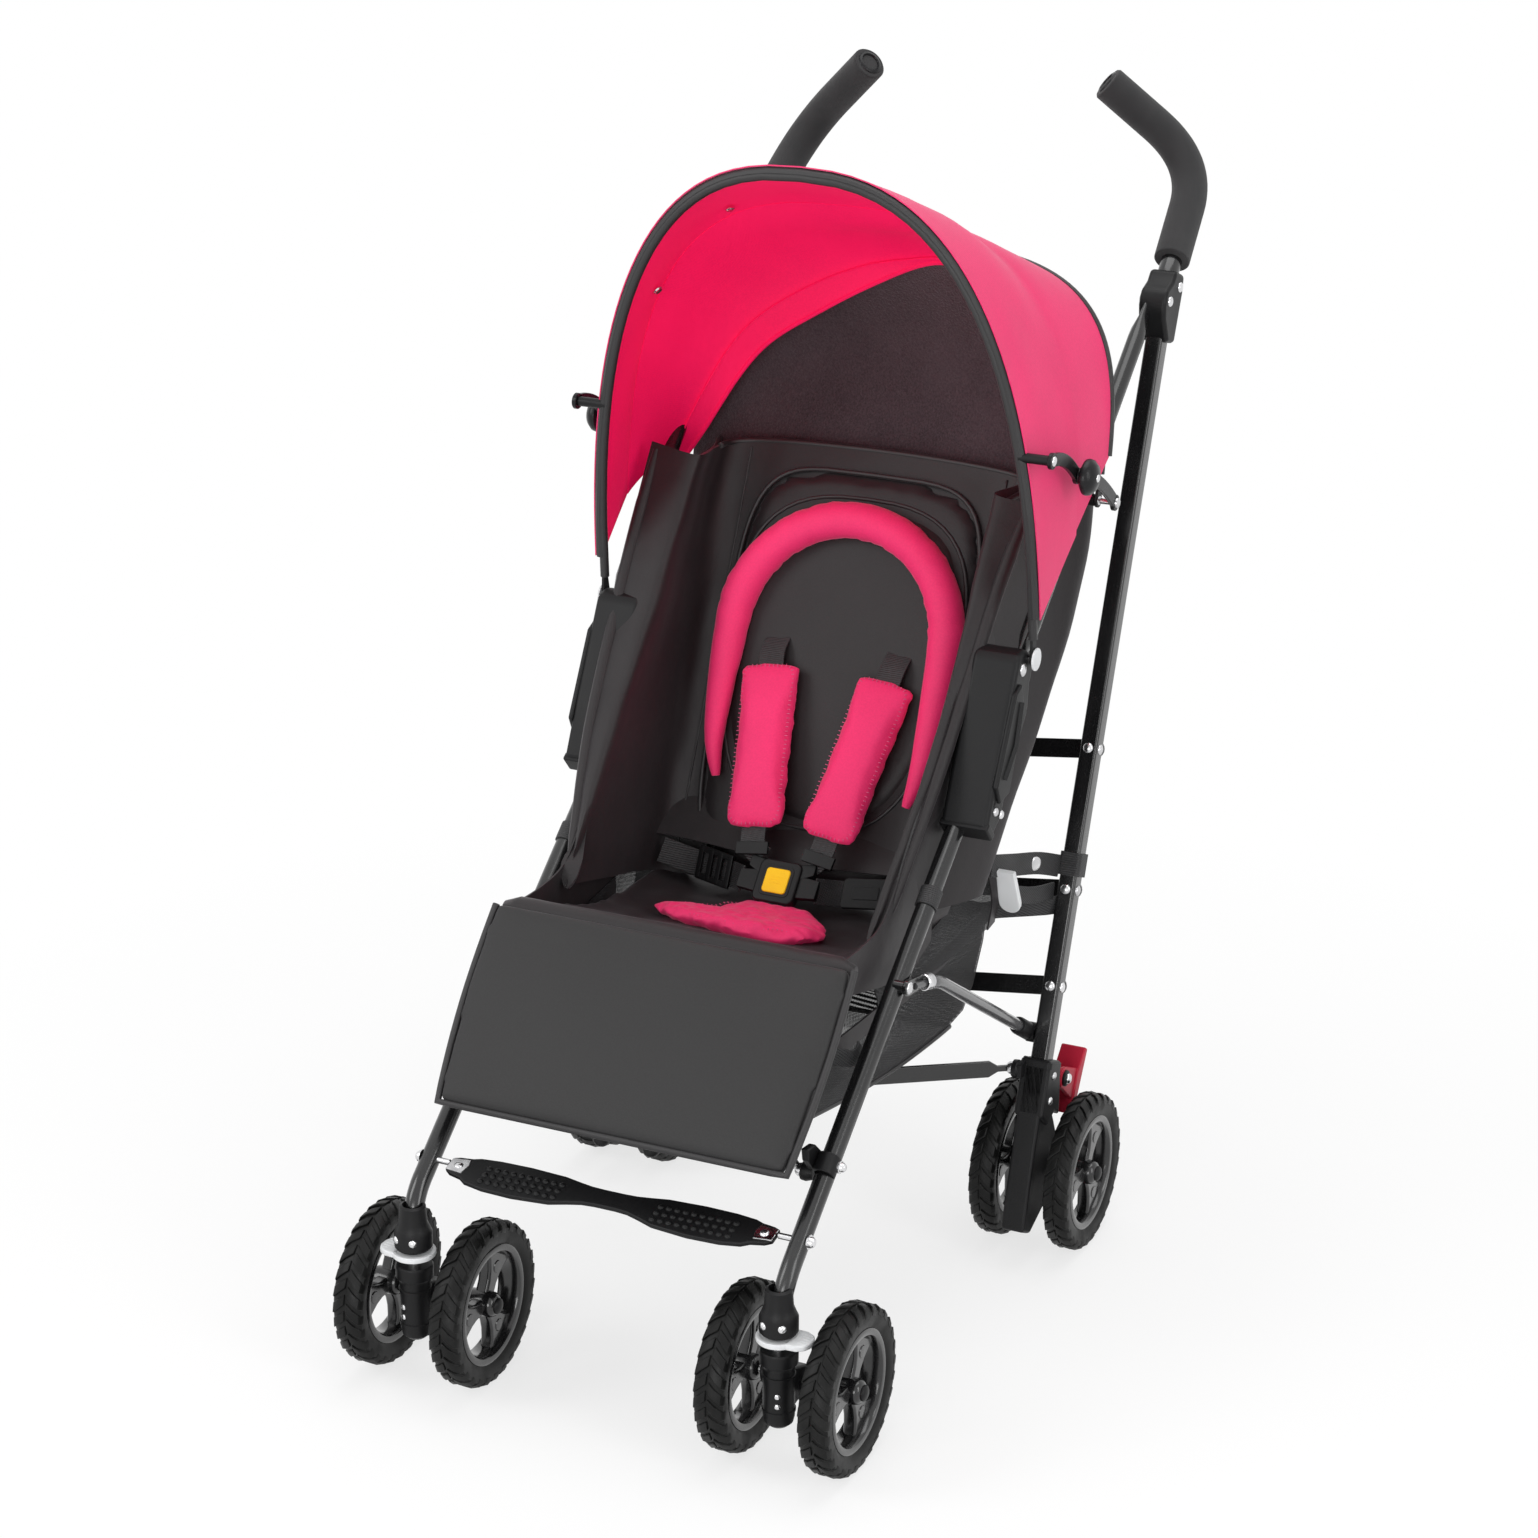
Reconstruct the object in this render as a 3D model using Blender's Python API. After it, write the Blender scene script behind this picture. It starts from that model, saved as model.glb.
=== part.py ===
"""Umbrella-folding buggy with twin wheels, two bent handles, a hood and a harness.

Metres, +Z up.  The buggy faces -Y, X = 0 is its plane of symmetry and the wheels stand on Z = 0.
Places are written from the front axle (Y = 0); one empty then moves the whole model so that the
origin lies under the middle of its outline.  "left" is the rider's left, which is +X.
"""
import bpy
import bmesh
from math import asin, atan2, cos, pi, radians, sin
from mathutils import Matrix, Vector

# Driving dimensions
WHEEL_RADIUS = 0.075
FRONT_TYRE_WIDTH = 0.029
REAR_TYRE_WIDTH = 0.025
RIM_RADIUS = 0.054            # inner edge of the rim, where the spokes meet it
FRONT_TRACK_HALF = 0.1775     # swivel axis to the centre plane
FRONT_TWIN_HALF = 0.0485      # wheel centre to the swivel housing's centre
REAR_TWIN_HALF = 0.0375
WHEELBASE = 0.473
SWIVEL_TRAIL = 0.033          # swivel axis ahead of the front axle
UPRIGHT_X = 0.218
UPRIGHT_WIDTH = 0.017
UPRIGHT_DEPTH = 0.019
UPRIGHT_FOOT = (0.451, 0.174)  # Y and Z where the upright enters its bracket
UPRIGHT_LEAN = radians(21.2)
UPRIGHT_LENGTH = 0.727        # from the bracket to the top joint
FRONT_TUBE_X = 0.180
FRONT_TUBE_RADIUS = 0.0088
UPPER_TUBE_RADIUS = 0.008
ELBOW = (0.403, 0.590)        # pivot between the upper tube and the front leg
RAIL_FRONT = (0.195, 0.3625)  # pivot of the side rail on the front tube
RAIL_REAR = (0.4657, 0.212)   # pivot of the side rail on the upright
RAIL_X = UPRIGHT_X - UPRIGHT_WIDTH / 2 - 0.0090   # beside the upright
RAIL_EYE_LOW = 0.1908         # the rail's flattened front end lies against the leg's boss
RAIL_EYE_THICK = 0.0040
BRACE_REAR = (0.1965, 0.4360, 0.1860)   # ball joints at the outer ends of the brace's arms
BRACE_FRONT = (0.1545, 0.0600, 0.2395)
BALL_RADIUS = 0.0062
LEG_LUG = (0.060, 0.2495)      # bracket and acorn nut below the leg rest
FOOTREST_PIN = (0.004, 0.204)
HOOD_PIVOT = (0.415, 0.600)    # foot of the front bow, on the elbow housing
REAR_BOW_REACH = 0.19034      # from the elbow along the upper tube to the rear bow's foot
REAR_BOW_BELOW = 0.00978      # and so far below the tube's middle
REAR_BOW_HALF = 0.2225
CROSSBAR_HEIGHTS = {"low": 0.087, "middle": 0.179, "top": 0.313}  # along the upright
CROSSBAR_DROOP = radians(7)
SEAT_CREASE = (0.385, 0.345)
SEAT_FRONT = (0.134, 0.400)
BACK_LENGTH = 0.414
ORIGIN_Y = -0.38545           # puts the origin under the middle of the outline
GAP = 0.0003                  # between touching pieces
RUNNING_GAP = 0.0005          # between a pin and its bore

LEFT, RIGHT = 1, -1
SIDES = ((LEFT, "left"), (RIGHT, "right"))

up_dir = Vector((0, sin(UPRIGHT_LEAN), cos(UPRIGHT_LEAN)))
fore_dir = Vector((0, -cos(UPRIGHT_LEAN), sin(UPRIGHT_LEAN)))   # square to the rear frame
X_DIR = Vector((1, 0, 0))
Z_DIR = Vector((0, 0, 1))


def on_upright(distance, ahead=0.0, x=UPRIGHT_X):
    """A point at a distance up the upright's axis, and so far ahead of it."""
    foot = Vector((x, UPRIGHT_FOOT[0], UPRIGHT_FOOT[1]))
    return foot + up_dir * distance + fore_dir * ahead


TOP_PIVOT = on_upright(UPRIGHT_LENGTH + 0.008, ahead=0.0185)
CROSSBAR_LENGTH = UPRIGHT_X / cos(CROSSBAR_DROOP)
tube_dir = Vector((TOP_PIVOT.y - ELBOW[0], TOP_PIVOT.z - ELBOW[1])).normalized()
REAR_BOW_FOOT = (ELBOW[0] + tube_dir.x * REAR_BOW_REACH + tube_dir.y * REAR_BOW_BELOW,
                 ELBOW[1] + tube_dir.y * REAR_BOW_REACH - tube_dir.x * REAR_BOW_BELOW)

# Start from an empty scene
for old in list(bpy.data.objects):
    bpy.data.objects.remove(old, do_unlink=True)

origin = bpy.data.objects.new("buggy_origin", None)
bpy.context.scene.collection.objects.link(origin)
origin.location.y = ORIGIN_Y


# Materials
def material(name, colour, roughness, metallic=0.0):
    mat = bpy.data.materials.new(name)
    mat.use_nodes = True
    shader = mat.node_tree.nodes["Principled BSDF"]
    shader.inputs["Base Color"].default_value = (*colour, 1.0)
    shader.inputs["Roughness"].default_value = roughness
    shader.inputs["Metallic"].default_value = metallic
    return mat


FRAME_PAINT = material("frame_paint", (0.012, 0.012, 0.013), 0.25)
BLACK_PLASTIC = material("black_plastic", (0.018, 0.018, 0.02), 0.4)
GREY_PLASTIC = material("grey_plastic", (0.55, 0.56, 0.57), 0.5)
RED_PLASTIC = material("red_plastic", (0.55, 0.03, 0.05), 0.4)
YELLOW_PLASTIC = material("yellow_plastic", (0.95, 0.6, 0.02), 0.35)
FOAM = material("grip_foam", (0.02, 0.02, 0.021), 0.9)
TYRE = material("tyre", (0.02, 0.02, 0.021), 0.6)
BLACK_FABRIC = material("black_fabric", (0.02, 0.02, 0.022), 0.9)
PINK_FABRIC = material("pink_fabric", (0.85, 0.02, 0.15), 0.85)
MESH_FABRIC = material("mesh_fabric", (0.03, 0.03, 0.032), 0.95)


# Shape makers: each returns a bmesh in the design frame, for the left side
def circle(radius, sides, start=0.0):
    return [(radius * cos(start + 2 * pi * i / sides), radius * sin(start + 2 * pi * i / sides))
            for i in range(sides)]


def rectangle(width, height):
    return [(-width / 2, -height / 2), (width / 2, -height / 2),
            (width / 2, height / 2), (-width / 2, height / 2)]


def arc(centre, radius, start, end, steps):
    """Points of an arc, angles in degrees."""
    angles = [radians(start + (end - start) * i / steps) for i in range(steps + 1)]
    return [(centre[0] + radius * cos(a), centre[1] + radius * sin(a)) for a in angles]


def loft(rings, closed_ends=True, loop=False):
    """Skin a list of rings, each a list of as many points, and cap the ends."""
    bm = bmesh.new()
    rows = [[bm.verts.new(p) for p in ring] for ring in rings]
    pairs = list(zip(rows, rows[1:]))
    if loop:
        pairs.append((rows[-1], rows[0]))
    for row, after in pairs:
        for i in range(len(row)):
            j = (i + 1) % len(row)
            bm.faces.new((row[i], row[j], after[j], after[i]))
    if closed_ends and not loop:
        bm.faces.new(rows[0])
        bm.faces.new(rows[-1])
    return bm


def frame_along(direction, hint):
    w = direction.normalized()
    u = hint.cross(w).normalized()
    return u, w.cross(u)


def sweep(points, section, hint=X_DIR, scales=None):
    """Carry a flat section along a path, mitred at its corners."""
    points = [Vector(p) for p in points]
    rings = []
    for i, here in enumerate(points):
        before = points[max(i - 1, 0)]
        after = points[min(i + 1, len(points) - 1)]
        arrive = (here - before).normalized() if i else (after - here).normalized()
        leave = (after - here).normalized() if i < len(points) - 1 else arrive
        along = (arrive + leave).normalized()
        u, v = frame_along(arrive, hint)
        scale = scales[i] if scales else 1.0
        ring = []
        for a, b in section:
            p = here + (u * a + v * b) * scale
            ring.append(p - arrive * ((p - here).dot(along) / arrive.dot(along)))
        rings.append(ring)
    return loft(rings)


def plate(outline, low, high, place=None):
    """Extrude an outline, given as (Y, Z) pairs, from X = low to X = high."""
    rings = [[Vector((x, y, z)) for y, z in outline] for x in (low, high)]
    bm = loft(rings)
    if place is not None:
        bm.transform(place)
    return bm


def slab(outline, low, high):
    """Extrude an outline, given as (X, Y) pairs, from Z = low to Z = high."""
    return loft([[Vector((x, y, z)) for x, y in outline] for z in (low, high)])


def turned(profile, centre, axis, segments=24, ring=False, phase=0.0):
    """Turn a profile of (radius, height) pairs about an axis; `phase` is in segments."""
    w = Vector(axis).normalized()
    u, v = frame_along(w, X_DIR if abs(w.x) < 0.5 else Vector((0, 1, 0)))
    centre = Vector(centre)
    rings = []
    for radius, height in profile:
        turns = [2 * pi * (i + phase) / segments for i in range(segments)]
        rings.append([centre + w * height + (u * cos(a) + v * sin(a)) * radius for a in turns])
    return loft(rings, closed_ends=not ring, loop=ring)


def rod(start, end, radius, sides=12):
    start, end = Vector(start), Vector(end)
    return turned([(radius, 0), (radius, (end - start).length)], start, end - start, sides)


def rivet(centre, axis, radius, height, sides=8):
    """A low domed head that stands on the point `centre`."""
    profile = [(radius, -0.0015), (radius, height * 0.4), (radius * 0.6, height)]
    return turned(profile, centre, axis, sides)


def smooth_path(points, bend, steps=5):
    """Replace each inner corner of a path by a curve that starts `bend` before it."""
    points = [Vector(p) for p in points]
    path = [points[0]]
    for before, corner, after in zip(points, points[1:], points[2:]):
        a = corner + (before - corner).normalized() * bend
        b = corner + (after - corner).normalized() * bend
        for i in range(steps + 1):
            t = i / steps
            path.append(a * (1 - t) ** 2 + corner * 2 * t * (1 - t) + b * t * t)
    path.append(points[-1])
    return path


# Objects
def add_object(name, bm, mat=None, side=LEFT, pivot=(0, 0, 0)):
    """Make a named object whose own origin is its pivot; the right side is mirrored."""
    pivot = Vector(pivot)
    if side == RIGHT:
        bm.transform(Matrix.Scale(-1, 4, X_DIR))
        pivot.x = -pivot.x
    bm.transform(Matrix.Translation(-pivot))
    bmesh.ops.recalc_face_normals(bm, faces=bm.faces)
    if bm.calc_volume(signed=True) < 0:
        bmesh.ops.reverse_faces(bm, faces=bm.faces)
    mesh = bpy.data.meshes.new(name)
    bm.to_mesh(mesh)
    bm.free()
    mesh.shade_smooth()
    mesh.set_sharp_from_angle(angle=radians(35))
    obj = bpy.data.objects.new(name, mesh)
    bpy.context.scene.collection.objects.link(obj)
    obj.parent = origin
    obj.location = pivot
    if mat:
        mesh.materials.append(mat)
    return obj


def combine(obj, bm, operation, side=LEFT):
    """Join a shape to an object, or cut it away, with a Boolean modifier."""
    tool = add_object(obj.name + "_tool", bm, None, side, (0, 0, 0))
    tool.display_type = "WIRE"
    tool.hide_render = True
    step = obj.modifiers.new(operation.lower(), "BOOLEAN")
    step.operation = operation
    step.object = tool


def build(name, mat, side, pivot, body, joined=(), cuts=()):
    obj = add_object(name, body, mat, side, pivot)
    for bm in joined:
        combine(obj, bm, "UNION", side)
    for bm in cuts:
        combine(obj, bm, "DIFFERENCE", side)
    return obj


# Wheels: a tyre on a rim, three rounded paddle spokes and a hub bored for the axle
AXLE_RADIUS = 0.004
HUB_RADIUS = 0.0115
HUB_HALF = 0.0155
TYRE_SIDES = 24


def tyre_profile(width):
    """The crown's corners lie a little outside, so that its flats are at the wheel's radius."""
    half = width / 2
    crown = WHEEL_RADIUS / cos(pi / TYRE_SIDES)
    return [(RIM_RADIUS, -half * 0.72), (crown - 0.007, -half), (crown, -half * 0.5),
            (crown, half * 0.5), (crown - 0.007, half), (RIM_RADIUS, half * 0.72)]


def spoke(angle):
    """A paddle: narrow at the hub, swelling to a round-shouldered foot on the rim."""
    root, foot = 0.008, RIM_RADIUS + 0.002
    outline = [(-0.0065, root), (0.0065, root), (0.0075, 0.022)]
    outline += [(0.013, 0.036), (0.018, foot - 0.007), (0.021, foot)]
    outline += [(-0.021, foot), (-0.018, foot - 0.007), (-0.013, 0.036), (-0.0075, 0.022)]
    return plate(outline, -0.0045, 0.0045, Matrix.Rotation(angle, 4, "X"))


def wheel(name, centre, width, side):
    place = Matrix.Translation(centre)
    body = turned(tyre_profile(width), centre, X_DIR, TYRE_SIDES, ring=True, phase=0.5)
    hub = rod(Vector(centre) - X_DIR * HUB_HALF, Vector(centre) + X_DIR * HUB_HALF, HUB_RADIUS, 12)
    spokes = [spoke(radians(90 + 120 * i)) for i in range(3)]
    for bm in spokes:
        bm.transform(place)
    bore = rod(Vector(centre) - X_DIR * 0.03, Vector(centre) + X_DIR * 0.03,
               AXLE_RADIUS + RUNNING_GAP, 10)
    return build(name, TYRE, side, centre, body, [hub, *spokes], [bore])


# Front fork: swivel housing, arm back to the axle, the axle with its end caps and the stem
FORK_RADIUS = 0.0135
FORK_TOP = 0.119
STEM_RADIUS = 0.006
COLLAR_BOTTOM = 0.1345
STEM_TOP = 0.150


def front_fork(side, word):
    x = FRONT_TRACK_HALF
    swivel = Vector((x, -SWIVEL_TRAIL, 0))
    housing = turned([(0.009, 0.048), (FORK_RADIUS, 0.053), (FORK_RADIUS, 0.104),
                      (0.0165, 0.108), (0.0165, FORK_TOP - 0.001), (0.0155, FORK_TOP)],
                     swivel, Z_DIR, 16)
    arm = plate([(-SWIVEL_TRAIL, 0.056), (0.002, 0.0635), *arc((0, WHEEL_RADIUS), 0.0125, -60, 80, 4),
                 (-SWIVEL_TRAIL, 0.1)], x - 0.0085, x + 0.0085)
    boss = rod((x - 0.029, 0, WHEEL_RADIUS), (x + 0.029, 0, WHEEL_RADIUS), 0.0105, 14)
    reach = FRONT_TWIN_HALF + HUB_HALF + GAP * 2
    axle = rod((x - reach, 0, WHEEL_RADIUS), (x + reach, 0, WHEEL_RADIUS), AXLE_RADIUS, 10)
    caps = [turned([(0.0072, 0), (0.0072, 0.0015), (0.004, 0.0035)],
                   (x + s * reach, 0, WHEEL_RADIUS), X_DIR * s, 10) for s in (1, -1)]
    stem = rod((x, -SWIVEL_TRAIL, FORK_TOP - 0.004), (x, -SWIVEL_TRAIL, STEM_TOP), STEM_RADIUS, 10)
    build("front_fork_" + word, BLACK_PLASTIC, side, swivel, housing,
          [arm, boss, axle, *caps, stem])


def swivel_lock(side, word):
    """The pale ring under the collar with its tab: pushed down, it stops the swivel."""
    x, y = FRONT_TRACK_HALF, -SWIVEL_TRAIL
    low, high = 0.1275, 0.1325
    ring = turned([(0.019, low), (0.0195, low + 0.001), (0.0195, high - 0.001), (0.019, high)],
                  (x, y, 0), Z_DIR, 20)
    tab = slab([(x + a, y + b) for a, b in (
        (0.012, -0.0135), (0.024, -0.0135), (0.0315, -0.006), (0.0315, 0.006),
        (0.024, 0.0135), (0.012, 0.0135))], low, high)
    bore = rod((x, y, low - 0.01), (x, y, high + 0.01), STEM_RADIUS + RUNNING_GAP, 12)
    build("swivel_lock_" + word, GREY_PLASTIC, side, (x, y, low), ring, [tab], [bore])


# Front leg: the round tube with its swivel collar, the footrest lug and the leg-rest lug
FRONT_TUBE_FOOT = (-SWIVEL_TRAIL, 0.150)
TUBE_KNEE = (-0.027, 0.178)    # where the leg turns from upright to its slope
TUBE_SHOULDER = (0.340, 0.473)
HOUSING_LOW, HOUSING_HIGH = 0.1675, 0.2125   # X of the elbow housing's cheeks


def front_tube_path():
    x = FRONT_TUBE_X
    rise = Vector((0, cos(radians(60)), sin(radians(60))))
    shoulder = Vector((x, *TUBE_SHOULDER))
    path = [Vector((x - 0.0025, *FRONT_TUBE_FOOT)), Vector((x, *TUBE_KNEE)),
            shoulder, shoulder + rise * 0.075]
    return smooth_path(path, 0.022, 4)


def front_tube(side, word):
    x, y = FRONT_TRACK_HALF, -SWIVEL_TRAIL
    body = sweep(front_tube_path(), circle(FRONT_TUBE_RADIUS, 10))
    collar = turned([(0.0135, COLLAR_BOTTOM), (0.0165, COLLAR_BOTTOM + 0.003),
                     (0.0165, 0.152), (0.0125, 0.162), (0.0115, 0.176)], (x, y, 0), Z_DIR, 16)
    screw = rivet((x, y - 0.0158, 0.146), (0, -1, 0), 0.0042, 0.0035)
    tube_x = FRONT_TUBE_X
    lug_y, lug_z = LEG_LUG
    lug = plate([(lug_y + a, lug_z + b) for a, b in (
        (0.004, -0.012), (0.012, 0.002), (-0.006, 0.020), (-0.022, 0.022), (-0.020, 0.010),
        (-0.008, -0.004))], tube_x - 0.016, tube_x - 0.010)
    lug_pin = rod((tube_x - 0.0115, lug_y, lug_z), (tube_x + 0.014, lug_y, lug_z), 0.0032, 8)
    acorn = turned([(0.0055, 0), (0.0055, 0.004), (0.0035, 0.0075)],
                   (tube_x + 0.0085, lug_y, lug_z), X_DIR, 8)
    rail_boss = rod((tube_x, *RAIL_FRONT), (RAIL_EYE_LOW - GAP, *RAIL_FRONT), 0.0055, 10)
    foot_pin = rod((tube_x - 0.0205, *FOOTREST_PIN), (tube_x + 0.011, *FOOTREST_PIN), 0.0028, 8)
    foot_nut = turned([(0.005, 0), (0.005, 0.0035), (0.003, 0.006)],
                      (tube_x + 0.0080, *FOOTREST_PIN), X_DIR, 8)
    bore = rod((x, y, COLLAR_BOTTOM - 0.01), (x, y, STEM_TOP + GAP), STEM_RADIUS + RUNNING_GAP, 12)
    cup, hollow = ball_socket(BRACE_FRONT, tube_x - 0.0115)
    build("front_tube_" + word, FRAME_PAINT, side, (x, *ELBOW), body,
          [collar, screw, lug_pin, lug, cup, acorn, rail_boss, foot_pin, foot_nut],
          [bore, hollow])


# Elbow: a moulded housing that clips round the leg's top and forks round the upper tube
UPPER_TUBE_EYE_X = 0.2035      # the flattened lower end inside the housing
UPPER_TUBE_TOP_X = 0.2120
EYE_HALF = 0.0025
HOOD_DISC_X = 0.2178           # inner face of the disc that holds the front bow's foot
STAY_X = 0.2345                # the stay's front arm
ARM_HALF = 0.002


def elbow_housing(side, word):
    y, z = ELBOW
    low_y, low_z = TUBE_SHOULDER
    outline = [(low_y - 0.020, low_z - 0.004), (low_y - 0.007, low_z - 0.019),
               (low_y + 0.016, low_z - 0.006), (low_y + 0.030, low_z + 0.022),
               (y + 0.012, z - 0.040), *arc((y, z), 0.021, -42, 130, 7),
               (y - 0.030, z - 0.016), (low_y + 0.004, low_z + 0.046)]
    body = plate(outline, HOUSING_LOW, HOUSING_HIGH)
    fin = plate([(low_y - 0.004, low_z + 0.030), (low_y + 0.026, low_z + 0.020),
                 (y - 0.006, z - 0.030), (y - 0.012, z - 0.006), (y - 0.026, z - 0.012)],
                HOUSING_HIGH - 0.001, HOUSING_HIGH + 0.0035)
    studs = [rivet((HOUSING_HIGH, low_y + a, low_z + b), X_DIR, 0.0042, 0.0028)
             for a, b in ((0.0, 0.006), (0.013, -0.001))]
    tube_bore = sweep(front_tube_path(), circle(FRONT_TUBE_RADIUS + GAP, 10))
    slot_low = UPPER_TUBE_EYE_X - EYE_HALF - GAP
    slot_high = UPPER_TUBE_EYE_X + EYE_HALF + GAP
    slot = plate([(y - 0.0125, z + 0.060), (y - 0.0125, z - 0.004), (y - 0.004, z - 0.013),
                  (y + 0.06, z - 0.044), (y + 0.06, z + 0.060)], slot_low, slot_high)
    body_obj = build("elbow_housing_" + word, BLACK_PLASTIC, side, (FRONT_TUBE_X, *ELBOW), body,
                     [fin, *studs], [tube_bore, slot])
    pin = rod((HOUSING_LOW + 0.002, y, z), (HOUSING_HIGH - 0.001, y, z), 0.003, 10)
    hood_pin = rod((HOUSING_HIGH - 0.003, *HOOD_PIVOT), (HOOD_DISC_X, *HOOD_PIVOT), 0.003, 10)
    disc = turned([(0.0095, 0), (0.0095, 0.0014), (0.008, 0.0022)], (HOOD_DISC_X, *HOOD_PIVOT),
                  X_DIR, 16)
    for bm in (pin, hood_pin, disc):
        combine(body_obj, bm, "UNION", side)


def upper_tube(side, word):
    """The round arm from the elbow to the top joint, its ends pressed flat into eyes."""
    top = Vector((UPPER_TUBE_TOP_X, TOP_PIVOT.y, TOP_PIVOT.z))
    foot = Vector((UPPER_TUBE_EYE_X, *ELBOW))
    along = (top - foot).normalized()
    body = sweep([foot + along * 0.030, top - along * 0.030], circle(UPPER_TUBE_RADIUS, 12))
    eyes, holes = [], []
    for end, inward in ((foot, 1), (top, -1)):
        angle = atan2(along.z * inward, along.y * inward)
        outline = arc((0, 0), 0.0085, 90, 270, 6) + [(0.036, -0.0078), (0.036, 0.0078)]
        place = (Matrix.Translation((end.x, end.y, end.z)) @ Matrix.Rotation(angle, 4, "X"))
        eyes.append(plate(outline, -EYE_HALF, EYE_HALF, place))
        holes.append(rod((end.x - 0.02, end.y, end.z), (end.x + 0.02, end.y, end.z),
                         0.003 + RUNNING_GAP, 12))
    start_x = foot.x + (top.x - foot.x) * (REAR_BOW_FOOT[0] - foot.y) / (top.y - foot.y)
    end_x = STAY_X + 3 * ARM_HALF + GAP * 2
    peg = rod((start_x, *REAR_BOW_FOOT), (end_x + 0.001, *REAR_BOW_FOOT), 0.0028, 8)
    cap = turned([(0.0048, 0), (0.0048, 0.001), (0.003, 0.0022)], (end_x, *REAR_BOW_FOOT), X_DIR, 8)
    boss = rod((start_x, *REAR_BOW_FOOT), (REAR_BOW_HALF - 0.0018, *REAR_BOW_FOOT), 0.0055, 10)
    build("upper_tube_" + word, FRAME_PAINT, side, top, body, [*eyes, boss, peg, cap], holes)


# Rear frame: the square upright, its top joint, the bent handle and the foam grip
HANDLE_RADIUS = 0.010
GRIP_RADIUS = 0.017
HANDLE_KNEE = 0.030            # above the upright's top, where the handle turns backwards
HANDLE_BEND = Vector((-0.0118, 0.1267, 0.1161))   # from the upright's top
HANDLE_TIP = Vector((-0.090, 0.0931, 0.1882))
GRIP_SETBACK = 0.0235          # bare handle tube between the knee and the foam
JOINT_BELOW, JOINT_ABOVE = 0.027, 0.038   # the top joint's ends from the upright's top


def upright(side, word):
    section = rectangle(UPRIGHT_DEPTH, UPRIGHT_WIDTH)
    body = sweep([on_upright(-0.020), on_upright(UPRIGHT_LENGTH)], section)
    heads = [rivet(on_upright(h, ahead=UPRIGHT_DEPTH / 2), fore_dir, 0.0052, 0.003)
             for h in CROSSBAR_HEIGHTS.values()]
    face = UPRIGHT_X - UPRIGHT_WIDTH / 2
    rail_pin = rod((face + 0.002, *RAIL_REAR), (RAIL_X - 0.0094, *RAIL_REAR), 0.003, 8)
    rail_head = turned([(0.0058, 0), (0.0058, 0.0008), (0.004, 0.0018)],
                       (RAIL_X - 0.0088, *RAIL_REAR), -X_DIR, 10)
    build("upright_" + word, FRAME_PAINT, side, on_upright(0), body, [*heads, rail_pin, rail_head])


def handle_paths():
    """The tube's path up to its grip, and the path that the grip shares with it."""
    start = on_upright(UPRIGHT_LENGTH + 0.006, ahead=-0.0005)
    top = on_upright(UPRIGHT_LENGTH)
    knee, corner = on_upright(UPRIGHT_LENGTH + HANDLE_KNEE), top + HANDLE_BEND
    grip_start = knee + (corner - knee).normalized() * GRIP_SETBACK
    held = smooth_path([grip_start, corner, top + HANDLE_TIP], 0.056, 7)
    return smooth_path([start, knee, grip_start], 0.015, 3)[:-1], held


def handle_grip(side, word):
    """The foam sleeve, closed over the handle's end."""
    path = handle_paths()[1]
    tip_dir = (path[-1] - path[-2]).normalized()
    rise = (path[1] - path[0]).normalized()
    sleeve = sweep([*path[:-1], path[-1] + tip_dir * 0.008], circle(GRIP_RADIUS, 14))
    bore = sweep([path[0] - rise * 0.01, *path[1:-1], path[-1] + tip_dir * GAP],
                 circle(HANDLE_RADIUS + RUNNING_GAP, 12))
    build("handle_grip_" + word, FOAM, side, path[0], sleeve, (), [bore])


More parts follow.
